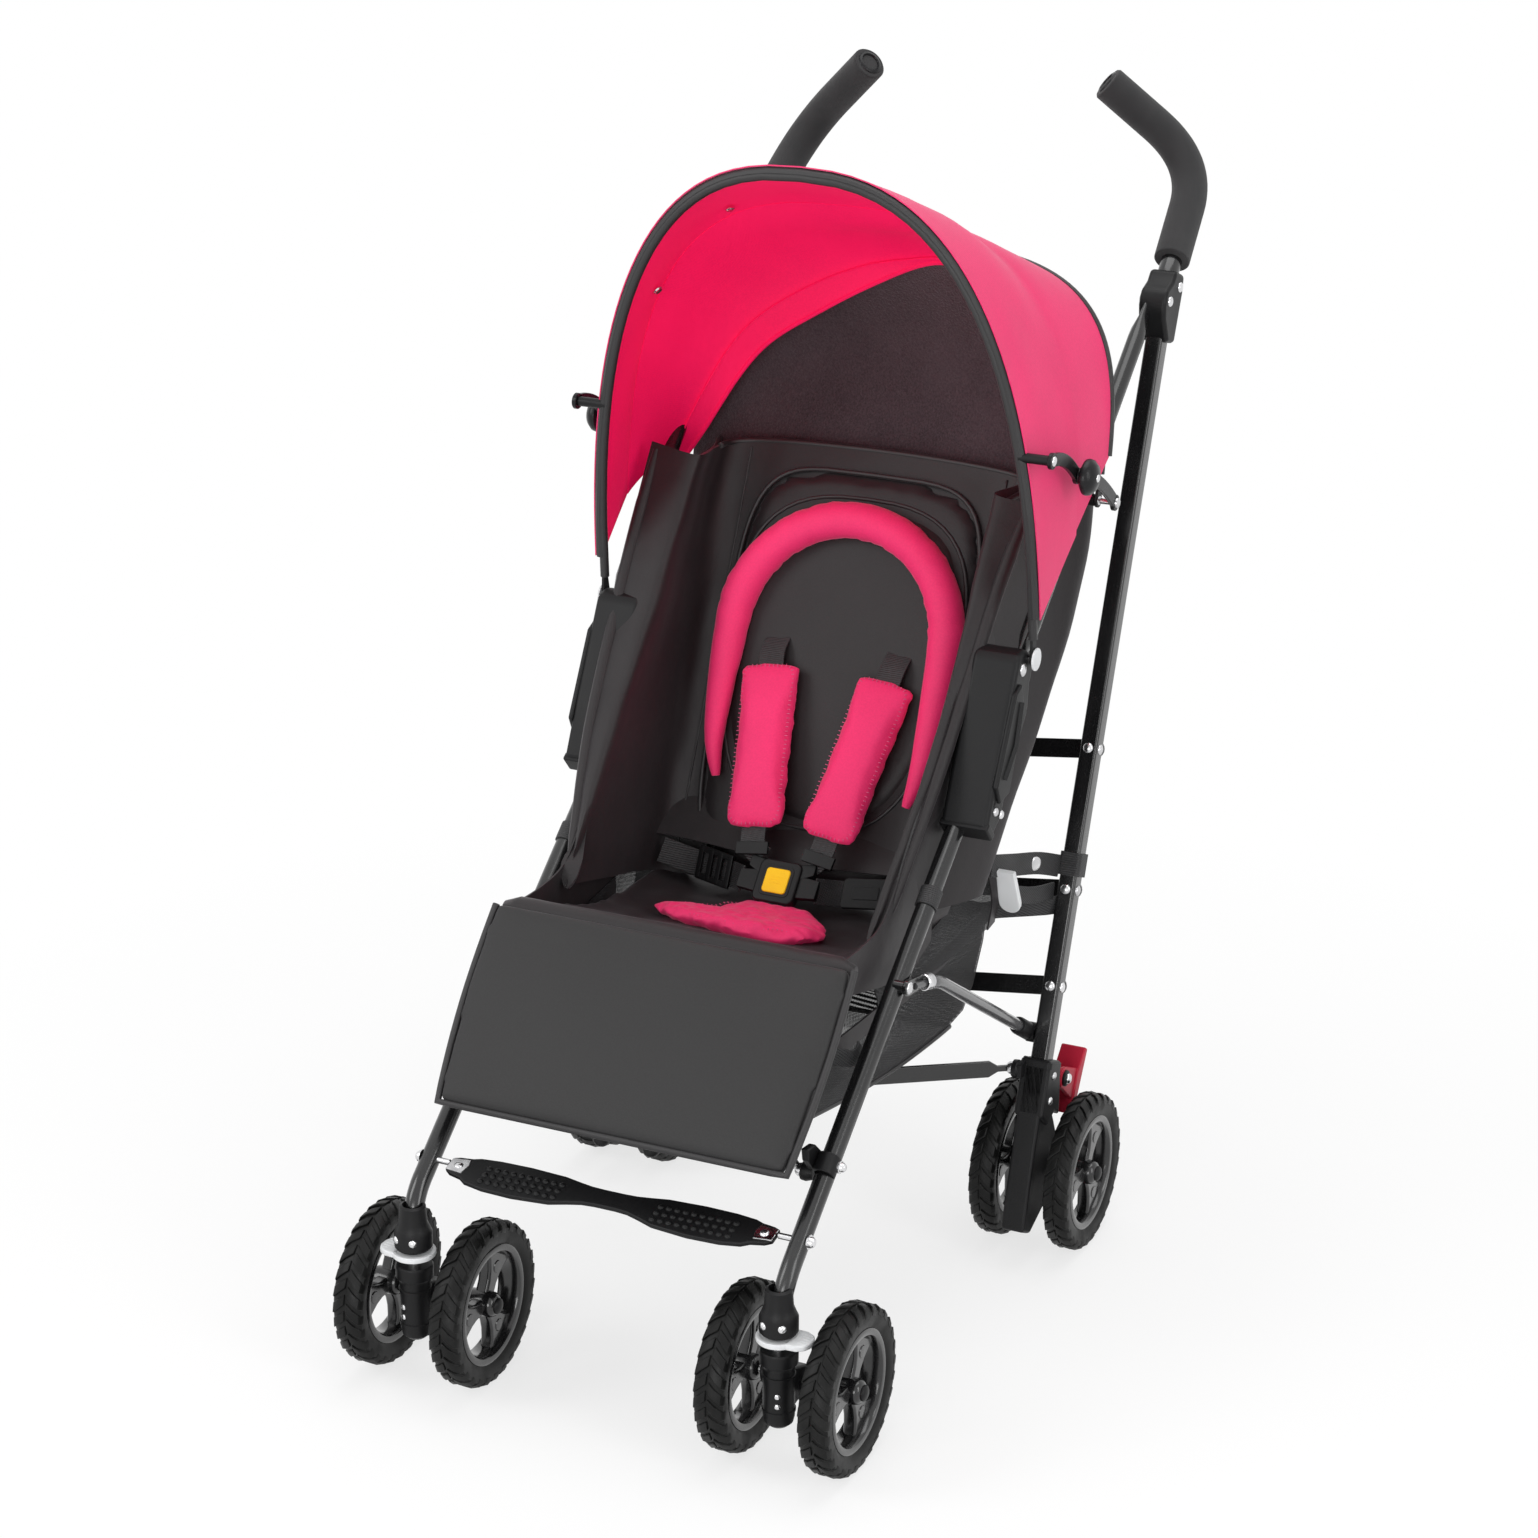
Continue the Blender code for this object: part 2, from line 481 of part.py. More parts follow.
def top_joint(side, word):
    """The moulded clamp over the upright's end, with the bent handle tube set in it.

    It is open in front for the upper tube's eye."""
    half = 0.0135
    back = -UPRIGHT_DEPTH / 2 - 0.004
    lobe = 0.0295
    corners = [(-JOINT_BELOW, back), (-JOINT_BELOW - 0.002, 0.006), (-0.011, 0.024),
               (0.001, lobe), (0.017, lobe - 0.001), (0.027, 0.016), (JOINT_ABOVE, 0.0115),
               (JOINT_ABOVE, -0.0125), (0.021, back - 0.002)]

    def spot(height, ahead):
        return on_upright(UPRIGHT_LENGTH + height, ahead).yz

    outline = [spot(h, a) for h, a in corners]
    body = plate(outline, UPRIGHT_X - half, UPRIGHT_X + half)
    pocket = sweep([on_upright(UPRIGHT_LENGTH - JOINT_BELOW - 0.02), on_upright(UPRIGHT_LENGTH + 0.002)],
                   rectangle(UPRIGHT_DEPTH + 2 * GAP, UPRIGHT_WIDTH + 2 * GAP))
    lower, held = handle_paths()
    tube = sweep([*lower, *held], circle(HANDLE_RADIUS, 12))
    slot_face = UPRIGHT_DEPTH / 2 - GAP
    slot_outline = [spot(h, a) for h, a in (
        (-0.067, slot_face), (0.0285, slot_face), (0.0285, 0.06), (-0.067, 0.06))]
    slot = plate(slot_outline, UPPER_TUBE_TOP_X - EYE_HALF - GAP, UPPER_TUBE_TOP_X + EYE_HALF + GAP)
    obj = build("top_joint_" + word, BLACK_PLASTIC, side, on_upright(UPRIGHT_LENGTH), body,
                (), [pocket, slot])
    combine(obj, tube, "UNION", side)
    pin = rod((UPRIGHT_X - half + 0.001, TOP_PIVOT.y, TOP_PIVOT.z),
              (UPRIGHT_X + half - 0.001, TOP_PIVOT.y, TOP_PIVOT.z), 0.003, 10)
    combine(obj, pin, "UNION", side)
    for s in (1, -1):
        face_x = UPRIGHT_X + s * half
        for h, a in ((0.008, 0.0185), (0.025, -0.003)):
            combine(obj, rivet((face_x, *spot(h, a)), X_DIR * s, 0.0048, 0.0028), "UNION", side)


# Rear wheel bracket, its axle and the brake pedal behind it
BRAKE_PIVOT = (0.492, 0.158)


def rear_bracket(side, word):
    x = UPRIGHT_X
    outline = [(on_upright(h, a).y, on_upright(h, a).z) for h, a in (
        (0.018, 0.0145), (0.018, -0.0145), (-0.030, -0.019), (-0.040, -0.030))]
    outline += arc((WHEELBASE, WHEEL_RADIUS), 0.016, 60, -70, 5)
    outline += [(on_upright(h, a).y, on_upright(h, a).z) for h, a in (
        (-0.148, -0.012), (-0.146, 0.008), (-0.036, 0.0145))]
    half = UPRIGHT_WIDTH / 2 + 0.006
    body = plate(outline, x - half, x + half)
    shave = []
    for s in (1, -1):
        low, high = sorted((x + s * (half - 0.0027), x + s * 0.03))
        shave.append(plate([(0.36, 0.0), (0.36, 0.135), (0.60, 0.150), (0.60, 0.0)], low, high))
    pocket = sweep([on_upright(-0.0205), on_upright(0.04)],
                   rectangle(UPRIGHT_DEPTH + 2 * GAP, UPRIGHT_WIDTH + 2 * GAP))
    reach = REAR_TWIN_HALF + HUB_HALF + GAP * 2
    axle = rod((x - reach, WHEELBASE, WHEEL_RADIUS), (x + reach, WHEELBASE, WHEEL_RADIUS),
               AXLE_RADIUS, 10)
    caps = [turned([(0.0072, 0), (0.0072, 0.0015), (0.004, 0.0035)],
                   (x + s * reach, WHEELBASE, WHEEL_RADIUS), X_DIR * s, 10) for s in (1, -1)]
    boss = rod((x - 0.0215, WHEELBASE, WHEEL_RADIUS), (x + 0.0215, WHEELBASE, WHEEL_RADIUS),
               0.0095, 14)
    brake_pin = rod((x - 0.0165, *BRAKE_PIVOT), (x + 0.0165, *BRAKE_PIVOT), 0.0035, 8)
    ear = plate([(0.452, 0.134), (0.486, 0.142), *arc(BRAKE_PIVOT, 0.0085, -60, 120, 4),
                 (0.4612, 0.166)], x - 0.0045, x + 0.0045)
    obj = build("rear_bracket_" + word, BLACK_PLASTIC, side, on_upright(0), body, (),
                [*shave, pocket])
    cup, hollow = ball_socket(BRACE_REAR, x - half + 0.002)
    horn = plate([(BRACE_REAR[1] - 0.0065, BRACE_REAR[2] - 0.0065),
                  (BRACE_REAR[1] + 0.016, BRACE_REAR[2] - 0.010),
                  (BRACE_REAR[1] + 0.013, BRACE_REAR[2] + 0.009),
                  (BRACE_REAR[1] - 0.0065, BRACE_REAR[2] + 0.0065)], x - half, x - half + 0.005)
    for bm in (ear, brake_pin, boss, axle, *caps, horn, cup):
        combine(obj, bm, "UNION", side)
    combine(obj, hollow, "DIFFERENCE", side)


def brake_pedal(side, word):
    """A red ribbed foot lever between two cheeks that turn on the bracket's pin."""
    x = UPRIGHT_X
    y, z = BRAKE_PIVOT
    cheek = arc((y, z), 0.0105, 60, 250, 6) + [(y + 0.022, z - 0.032), (y + 0.034, z - 0.004)]
    cheeks = [plate(cheek, x + low, x + high) for low, high in ((0.0053, 0.0105),
                                                                (-0.0105, -0.0053))]
    tread = plate([(y + 0.014, z - 0.044), (y + 0.022, z - 0.046), (y + 0.055, z + 0.008),
                   (y + 0.049, z + 0.012), (y + 0.030, z - 0.006)], x - 0.0125, x + 0.0125)
    ribs = []
    for i in range(5):
        t = 0.12 + 0.18 * i
        ry, rz = y + 0.022 + 0.033 * t, z - 0.046 + 0.054 * t
        ribs.append(rod((x - 0.0115, ry, rz), (x + 0.0115, ry, rz), 0.0016, 6))
    bore = rod((x - 0.03, y, z), (x + 0.03, y, z), 0.0035 + RUNNING_GAP, 10)
    build("brake_pedal_" + word, RED_PLASTIC, side, (x, y, z), tread, [*cheeks, *ribs], [bore])


# Crossbars: two halves a level, hinged behind the uprights and lapped at the middle
BAR_HEIGHT = 0.018
BAR_THICK = 0.0035


def crossbar(side, word, level):
    """The left half lies in front at the middle; the right one behind it, on a spacer."""
    distance = CROSSBAR_HEIGHTS[level]
    behind = -UPRIGHT_DEPTH / 2 - GAP - BAR_THICK / 2
    layer = behind if side == LEFT else behind - BAR_THICK - GAP
    pivot = on_upright(distance, ahead=layer)
    inward = (-X_DIR * cos(CROSSBAR_DROOP) - up_dir * sin(CROSSBAR_DROOP))
    across = fore_dir.cross(inward)
    half = BAR_HEIGHT / 2

    def spot(a, b, depth):
        return pivot + inward * a + across * b + fore_dir * depth

    outline = [(half * cos(radians(t)), half * sin(radians(t))) for t in range(90, 271, 30)]
    outline += [(CROSSBAR_LENGTH + half * cos(radians(t)), half * sin(radians(t)))
                for t in range(-90, 91, 30)]
    body = loft([[spot(a, b, d) for a, b in outline] for d in (-BAR_THICK / 2, BAR_THICK / 2)])
    extras = [turned([(0.005, -0.0005), (0.005, 0.002), (0.003, 0.0035)],
                     spot(0, 0, -BAR_THICK / 2), -fore_dir, 8)]
    face = 1 if side == LEFT else -1
    extras.append(turned([(0.0052, -0.0005), (0.0048, 0.0016), (0.003, 0.0024)],
                         spot(CROSSBAR_LENGTH, 0, face * BAR_THICK / 2), fore_dir * face, 8))
    if side == RIGHT:
        extras.append(turned([(0.007, -0.0005), (0.007, BAR_THICK)],
                             spot(0, 0, BAR_THICK / 2), fore_dir, 10))
    build("crossbar_" + level + "_" + word, FRAME_PAINT, side, pivot, body, extras)


# Side rail from the front tube to the upright, under the seat's edge
RAIL_RADIUS = 0.0062


def side_rail(side, word):
    front = Vector((RAIL_EYE_LOW + RAIL_EYE_THICK / 2, *RAIL_FRONT))
    rear = Vector((RAIL_X, *RAIL_REAR))
    knee = Vector((RAIL_X - 0.001, 0.244, 0.352))
    body = sweep([front + Vector((0.0015, 0.012, -0.003)), knee, rear + (knee - rear).normalized() * 0.02],
                 circle(RAIL_RADIUS * 0.8, 10), scales=(0.55, 1.2, 1.2))
    eye = plate([(front.y + a, front.z + b) for a, b in
                 [*arc((0, 0), 0.0075, 90, 270, 5), (0.022, -0.010), (0.026, 0.002)]],
                RAIL_EYE_LOW, RAIL_EYE_LOW + RAIL_EYE_THICK)
    head = turned([(0.0058, 0), (0.0052, 0.0016), (0.003, 0.0024)],
                  (RAIL_EYE_LOW + RAIL_EYE_THICK - GAP, *RAIL_FRONT), X_DIR, 8)
    socket_dir = (knee - rear).normalized()
    socket = sweep([rear - socket_dir * 0.004, rear + socket_dir * 0.034], circle(0.0085, 12))
    face = UPRIGHT_X - UPRIGHT_WIDTH / 2 - GAP
    lug = rod((RAIL_X - 0.0005, *RAIL_REAR), (face, *RAIL_REAR), 0.0095, 12)
    bore = rod((rear.x - 0.02, *RAIL_REAR), (rear.x + 0.02, *RAIL_REAR), 0.003 + RUNNING_GAP, 12)
    build("side_rail_" + word, FRAME_PAINT, side, rear, body, [eye, head, socket, lug], [bore])


# Under-seat brace: four flat arms that meet at a hub and close upwards like an umbrella
ARM_HEIGHT = 0.016
ARM_THICK = 0.004
HUB_RADIUS_BRACE = 0.0165
HUB_CLEAR = {"front": 0.0172, "rear": 0.0225}   # from the hub's centre to an arm's end
HUB_SHARE = BRACE_REAR[0] / (BRACE_REAR[0] + BRACE_FRONT[0])
HUB = Vector(BRACE_REAR).lerp(Vector(BRACE_FRONT), HUB_SHARE)
HUB.x = 0.0


def ball(centre, radius, sides=10, rows=6):
    profile = [(max(radius * sin(pi * i / rows), 0.0006), -radius * cos(pi * i / rows))
               for i in range(rows + 1)]
    return turned(profile, centre, X_DIR, sides)


def ball_socket(centre, back_x):
    """A cup that opens towards the middle, on a stem that ends at `back_x`, and its hollow."""
    centre = Vector(centre)
    cup = turned([(BALL_RADIUS + 0.0022, 0.0018), (BALL_RADIUS + 0.0026, BALL_RADIUS),
                  (0.0065, back_x - centre.x)], centre, X_DIR, 12)
    return cup, ball(centre, BALL_RADIUS + GAP, 12, 8)


def brace_arm(side, word, which):
    start = Vector(BRACE_REAR if which == "rear" else BRACE_FRONT)
    along = (HUB - start).normalized()
    length = (HUB - start).length - HUB_CLEAR[which]
    across = (Z_DIR - along * Z_DIR.dot(along)).normalized()
    normal = along.cross(across)
    half, neck = ARM_HEIGHT / 2, 0.0028
    outline = [(0.003, neck), (0.003, -neck), (0.015, -neck), (0.024, -half),
               (length - 0.016, -half), (length, -half * 0.4), (length, half * 0.4),
               (length - 0.016, half), (0.024, half), (0.015, neck)]
    body = loft([[start + along * a + across * b + normal * d for a, b in outline]
                 for d in (-ARM_THICK / 2, ARM_THICK / 2)])
    build("brace_arm_" + which + "_" + word, FRAME_PAINT, side, start, body,
          [ball(start, BALL_RADIUS)])


def brace_hub():
    body = turned([(0.0145, -0.010), (HUB_RADIUS_BRACE, -0.008), (HUB_RADIUS_BRACE, 0.008),
                   (0.0145, 0.010), (0.007, 0.0135)], HUB, Z_DIR, 20)
    build("brace_hub", BLACK_PLASTIC, LEFT, HUB, body)


# Hood: two bows, a folding stay each side and the fabric over them
BOW_RADIUS = 0.0034
FRONT_BOW_HALF = 0.2157
FRONT_BOW_ANGLE = radians(-4.6)
FRONT_BOW_HEIGHT = 0.423
FRONT_BOW_POWER = 0.80         # below 1 squares the arch's shoulders
REAR_BOW_ANGLE = radians(12)
REAR_BOW_HEIGHT = 0.210
REAR_BOW_POWER = 0.56
FABRIC = 0.0022
ARCH_TURNS = [radians(t) for t in (3, 8, 16, 27, 41, 60, 75, 90)]


def arch_point(foot, angle, height, half_width, power, turn):
    """A point on an arch that stands on two feet and whose plane leans back by `angle`."""
    x = half_width * abs(cos(turn)) ** power * (1 if cos(turn) >= 0 else -1)
    s = height * max(sin(turn), 0.0) ** power
    return Vector((x, foot[0] + s * sin(angle), foot[1] + s * cos(angle)))


def bow(foot, angle, height, half_width, power):
    """A sprung rod bent to an arch, with a flat eye at each foot."""
    turns = [ARCH_TURNS[0] * 0.4, *ARCH_TURNS]
    turns += [pi - t for t in reversed(turns[:-1])]
    path = [arch_point(foot, angle, height, half_width, power, t) for t in turns]
    body = sweep(path, circle(BOW_RADIUS, 6), hint=Vector((0, cos(angle), -sin(angle))))
    lean = Vector((0, sin(angle), cos(angle)))
    extras, holes = [], []
    reach = (path[0] - Vector((half_width, *foot))).length + 0.008
    outline = [*arc((0, 0), 0.0065, 180, 360, 6), (0.0035, reach), (-0.0035, reach)]
    eye = [(foot[0] + a * lean.z + b * lean.y, foot[1] - a * lean.y + b * lean.z)
           for a, b in outline]
    for s in (1, -1):
        low, high = sorted((s * (half_width - 0.0014), s * (half_width + 0.0014)))
        extras.append(plate(eye, low, high))
        holes.append(rod((s * half_width - 0.01, *foot), (s * half_width + 0.01, *foot),
                         0.003 + RUNNING_GAP, 10))
    return body, extras, holes


def front_bow():
    body, extras, holes = bow(HOOD_PIVOT, FRONT_BOW_ANGLE, FRONT_BOW_HEIGHT, FRONT_BOW_HALF,
                              FRONT_BOW_POWER)
    rise = (STAY_FRONT_HEIGHT / FRONT_BOW_HEIGHT) ** (1 / FRONT_BOW_POWER)
    rod_x = FRONT_BOW_HALF * cos(asin(rise)) ** FRONT_BOW_POWER
    end_x = STAY_X - ARM_HALF - GAP
    for s in (1, -1):
        extras.append(rod((s * rod_x, *STAY_FRONT), (s * end_x, *STAY_FRONT), 0.0045, 10))
    build("hood_bow_front", BLACK_PLASTIC, LEFT, (0, *HOOD_PIVOT), body, extras, holes)


def rear_bow():
    body, extras, holes = bow(REAR_BOW_FOOT, REAR_BOW_ANGLE, REAR_BOW_HEIGHT, REAR_BOW_HALF,
                              REAR_BOW_POWER)
    build("hood_bow_rear", BLACK_PLASTIC, LEFT, (0, *REAR_BOW_FOOT), body, extras, holes)


STAY_FRONT_HEIGHT = 0.190      # up the front bow from its foot
STAY_FRONT = (HOOD_PIVOT[0] + STAY_FRONT_HEIGHT * sin(FRONT_BOW_ANGLE),
              HOOD_PIVOT[1] + STAY_FRONT_HEIGHT * cos(FRONT_BOW_ANGLE))
STAY_REAR = REAR_BOW_FOOT
STAY_KNEE = (0.4620, 0.7600)


def stay_plate(points, width, low, high):
    """A curved flat link through three (Y, Z) points, with round ends."""
    a, b, c = [Vector((0, *p)) for p in points]
    spots = [a * (1 - t) ** 2 + b * 2 * t * (1 - t) + c * t * t for t in (i / 6 for i in range(7))]
    upper, lower = [], []
    for i, p in enumerate(spots):
        step = (spots[min(i + 1, 6)] - spots[max(i - 1, 0)]).normalized()
        off = Vector((0, -step.z, step.y)) * width / 2
        upper.append((p.y + off.y, p.z + off.z))
        lower.append((p.y - off.y, p.z - off.z))
    return plate(upper + lower[::-1], low, high)


def stay_arm(side, word, which):
    peg = STAY_FRONT if which == "front" else STAY_REAR
    layer = STAY_X if which == "front" else STAY_X + 2 * ARM_HALF + GAP
    bulge = Vector((0, (peg[0] + STAY_KNEE[0]) / 2, (peg[1] + STAY_KNEE[1]) / 2 + 0.014))
    body = stay_plate([peg, (bulge.y, bulge.z), STAY_KNEE], 0.012, layer - ARM_HALF, layer + ARM_HALF)
    ends = [turned([(0.0075, -ARM_HALF), (0.0075, ARM_HALF)], (layer, *p), X_DIR, 12)
            for p in (peg, STAY_KNEE)]
    pivot = (layer, *(peg if which == "rear" else STAY_KNEE))
    if which == "front":
        head = turned([(0.0048, 0), (0.0048, 0.001), (0.003, 0.0022)],
                      (layer + ARM_HALF - GAP, *peg), X_DIR, 8)
        build("stay_arm_front_" + word, BLACK_PLASTIC, side, pivot, body, [*ends, head])
        return
    bore = rod((layer - 0.02, *peg), (layer + 0.02, *peg), 0.0028 + RUNNING_GAP, 10)
    knob = turned([(0.0125, 0.0), (0.0165, 0.003), (0.0155, 0.008), (0.010, 0.0125),
                   (0.004, 0.014)], (layer + ARM_HALF - 0.0002, *STAY_KNEE), X_DIR, 16)
    build("stay_arm_rear_" + word, BLACK_PLASTIC, side, pivot, body, [*ends, knob], [bore])


def shell(grid, thickness):
    """A sheet of even thickness from a grid of points; the grid is its inner face."""
    rows, cols = len(grid), len(grid[0])
    outer = []
    for i in range(rows):
        line = []
        for j in range(cols):
            du = grid[min(i + 1, rows - 1)][j] - grid[max(i - 1, 0)][j]
            dv = grid[i][min(j + 1, cols - 1)] - grid[i][max(j - 1, 0)]
            line.append(grid[i][j] + du.cross(dv).normalized() * thickness)
        outer.append(line)
    bm = bmesh.new()
    inner_v = [[bm.verts.new(p) for p in line] for line in grid]
    outer_v = [[bm.verts.new(p) for p in line] for line in outer]
    for i in range(rows - 1):
        for j in range(cols - 1):
            for sheet in (inner_v, outer_v):
                bm.faces.new((sheet[i][j], sheet[i + 1][j], sheet[i + 1][j + 1], sheet[i][j + 1]))
    rim = [(i, 0) for i in range(rows)] + [(rows - 1, j) for j in range(1, cols)]
    rim += [(i, cols - 1) for i in range(rows - 2, -1, -1)] + [(0, j) for j in range(cols - 2, 0, -1)]
    for (a, b), (c, d) in zip(rim, rim[1:] + rim[:1]):
        bm.faces.new((inner_v[a][b], inner_v[c][d], outer_v[c][d], outer_v[a][b]))
    return bm


def hood_fabric():
    """The cloth from bow to bow and the dark wall that closes the hood behind the head."""
    turns = [*ARCH_TURNS, *(pi - t for t in reversed(ARCH_TURNS[:-1]))]
    proud = BOW_RADIUS + 0.001
    grid = []
    steps = 6
    for i in range(steps + 1):
        t = i / steps

        def between(front, rear):
            return front + (rear - front) * t

        foot = (between(HOOD_PIVOT[0], REAR_BOW_FOOT[0]), between(HOOD_PIVOT[1], REAR_BOW_FOOT[1]))
        angle = between(FRONT_BOW_ANGLE + radians(1.7), REAR_BOW_ANGLE)
        height = between(FRONT_BOW_HEIGHT, REAR_BOW_HEIGHT) + proud - 0.004 * sin(pi * t)
        half = between(FRONT_BOW_HALF, REAR_BOW_HALF) + proud
        power = between(FRONT_BOW_POWER, REAR_BOW_POWER)
        grid.append([arch_point(foot, angle, height, half, power, turn) for turn in turns])
    wall_foot = 0.035
    for back, across, up in ((0.0065, 1.0, 1.0), (0.0125, 0.93, 0.92), (0.015, 0.55, 0.60),
                             (0.015, 0.08, 0.30)):
        foot = (REAR_BOW_FOOT[0] + back + wall_foot * sin(REAR_BOW_ANGLE),
                REAR_BOW_FOOT[1] + wall_foot * cos(REAR_BOW_ANGLE))
        height = (REAR_BOW_HEIGHT + proud) * up - wall_foot
        grid.append([arch_point(foot, REAR_BOW_ANGLE, height, (REAR_BOW_HALF + proud) * across,
                                REAR_BOW_POWER, turn) for turn in turns])
    build("hood_fabric", PINK_FABRIC, LEFT, (0, *REAR_BOW_FOOT), shell(grid, FABRIC))


# Seat: a bucket back with side wings, the seat pad and the hanging leg rest
BACK_LEAN = radians(25)
back_up = Vector((0, sin(BACK_LEAN), cos(BACK_LEAN)))
back_fore = Vector((0, -cos(BACK_LEAN), sin(BACK_LEAN)))
BACK_HALF = 0.1509
BACK_THICK = 0.012
PAD_THICK = 0.016
WING_EDGE = ((0.212, 0.392), (0.262, 0.452), (0.318, 0.517), (0.380, 0.590), (0.432, 0.662),
             (0.478, 0.728))


def seat_back():
    """The back panel and its two wings in one quilted shell; the wings' edges follow the tubes."""
    crease = Vector((0, *SEAT_CREASE))
    grid = []
    last = len(WING_EDGE) - 1
    for i, (edge_y, edge_z) in enumerate(WING_EDGE):
        back = crease + back_up * (BACK_LENGTH * i / last) + back_fore * 0.004
        edge = Vector((0, edge_y, edge_z))
        half = BACK_HALF + 0.004 * sin(pi * i / last)
        ring = [X_DIR * half + edge, X_DIR * half + edge.lerp(back, 0.5),
                X_DIR * BACK_HALF + edge.lerp(back, 0.88), X_DIR * (BACK_HALF - 0.018) + back,
                X_DIR * 0.075 + back, back + back_fore * -0.002]
        ring += [Vector((-p.x, p.y, p.z)) for p in reversed(ring[:-1])]
        grid.append(ring[::-1])
    build("seat_back", BLACK_FABRIC, LEFT, crease, shell(grid, BACK_THICK))


def seat_height(y):
    """Height of the seat's upper face, sagging between the crease and the front edge."""
    t = (SEAT_CREASE[0] - y) / (SEAT_CREASE[0] - SEAT_FRONT[0])
    return SEAT_CREASE[1] + (SEAT_FRONT[1] - SEAT_CREASE[1]) * t ** 1.6 - 0.008 * sin(pi * t)


def seat_base():
    grid = []
    rear = SEAT_CREASE[0] - 0.0135
    front = SEAT_FRONT[0] + 0.0086
    for i in range(7):
        y = rear + (front - rear) * i / 6
        half = 0.1416 if y > 0.20 else 0.158
        row = [(half, 0.008), (0.125, 0.001), (0.065, -0.002), (0.0, -0.003)]
        row += [(-a, b) for a, b in reversed(row[:-1])]
        grid.append([Vector((a, y, seat_height(y) - 0.003 + b)) for a, b in row])
    build("seat_base", BLACK_FABRIC, LEFT, (0, *SEAT_CREASE), shell(grid, PAD_THICK))


LEG_REST_TOP = (0.1275, 0.3985)
LEG_REST_LENGTH = 0.182
LEG_REST_ANGLE = radians(48.8)


def leg_rest():
    """A stiffened fabric flap with drawn-in corners."""
    down = Vector((0, -cos(LEG_REST_ANGLE), -sin(LEG_REST_ANGLE)))
    out = Vector((0, -sin(LEG_REST_ANGLE), cos(LEG_REST_ANGLE)))
    top = Vector((0, *LEG_REST_TOP))
    grid = []
    for i in range(6):
        t = i / 5
        half = 0.171 - 0.006 * t + 0.004 * sin(pi * t)
        lift = 0.006 * sin(pi * t)
        row = [(half, -0.003), (half * 0.9, lift * 0.6), (half * 0.5, lift), (0.0, lift * 1.1)]
        row += [(-a, b) for a, b in reversed(row[:-1])]
        grid.append([top + X_DIR * a + out * b + down * LEG_REST_LENGTH * t for a, b in row])
    build("leg_rest", BLACK_FABRIC, LEFT, (0, *LEG_REST_TOP), shell(grid, 0.012))


def footrest():
    """The moulded strip between the front legs: two wide ribbed treads and a narrow middle."""
    half = FRONT_TUBE_X - 0.0210
    stations = [(-half, 0.010), (-half + 0.018, 0.016), (-0.115, 0.027), (-0.050, 0.024),
                (-0.022, 0.014), (0.022, 0.014), (0.050, 0.024), (0.115, 0.027),
                (half - 0.018, 0.016), (half, 0.010)]
    outline = [(x, 0.004 - w) for x, w in stations] + [(x, 0.004 + w * 0.55) for x, w in stations[::-1]]
    body = slab(outline, 0.2015, 0.2065)
    tilt = Matrix.Translation((0, 0.004, 0.204)) @ Matrix.Rotation(radians(12), 4, "X") \
        @ Matrix.Translation((0, -0.004, -0.204))
    studs = []
    for s in (1, -1):
        for i in range(5):
            for j in range(2):
                spot = (s * (0.048 + 0.0160 * i), -0.010 + 0.013 * j, 0.2058)
                studs.append(turned([(0.0036, 0), (0.002, 0.0022)], spot, Z_DIR, 6))
    for bm in (body, *studs):
        bm.transform(tilt)
    build("footrest", BLACK_PLASTIC, LEFT, (0, 0.004, 0.204), body, studs)


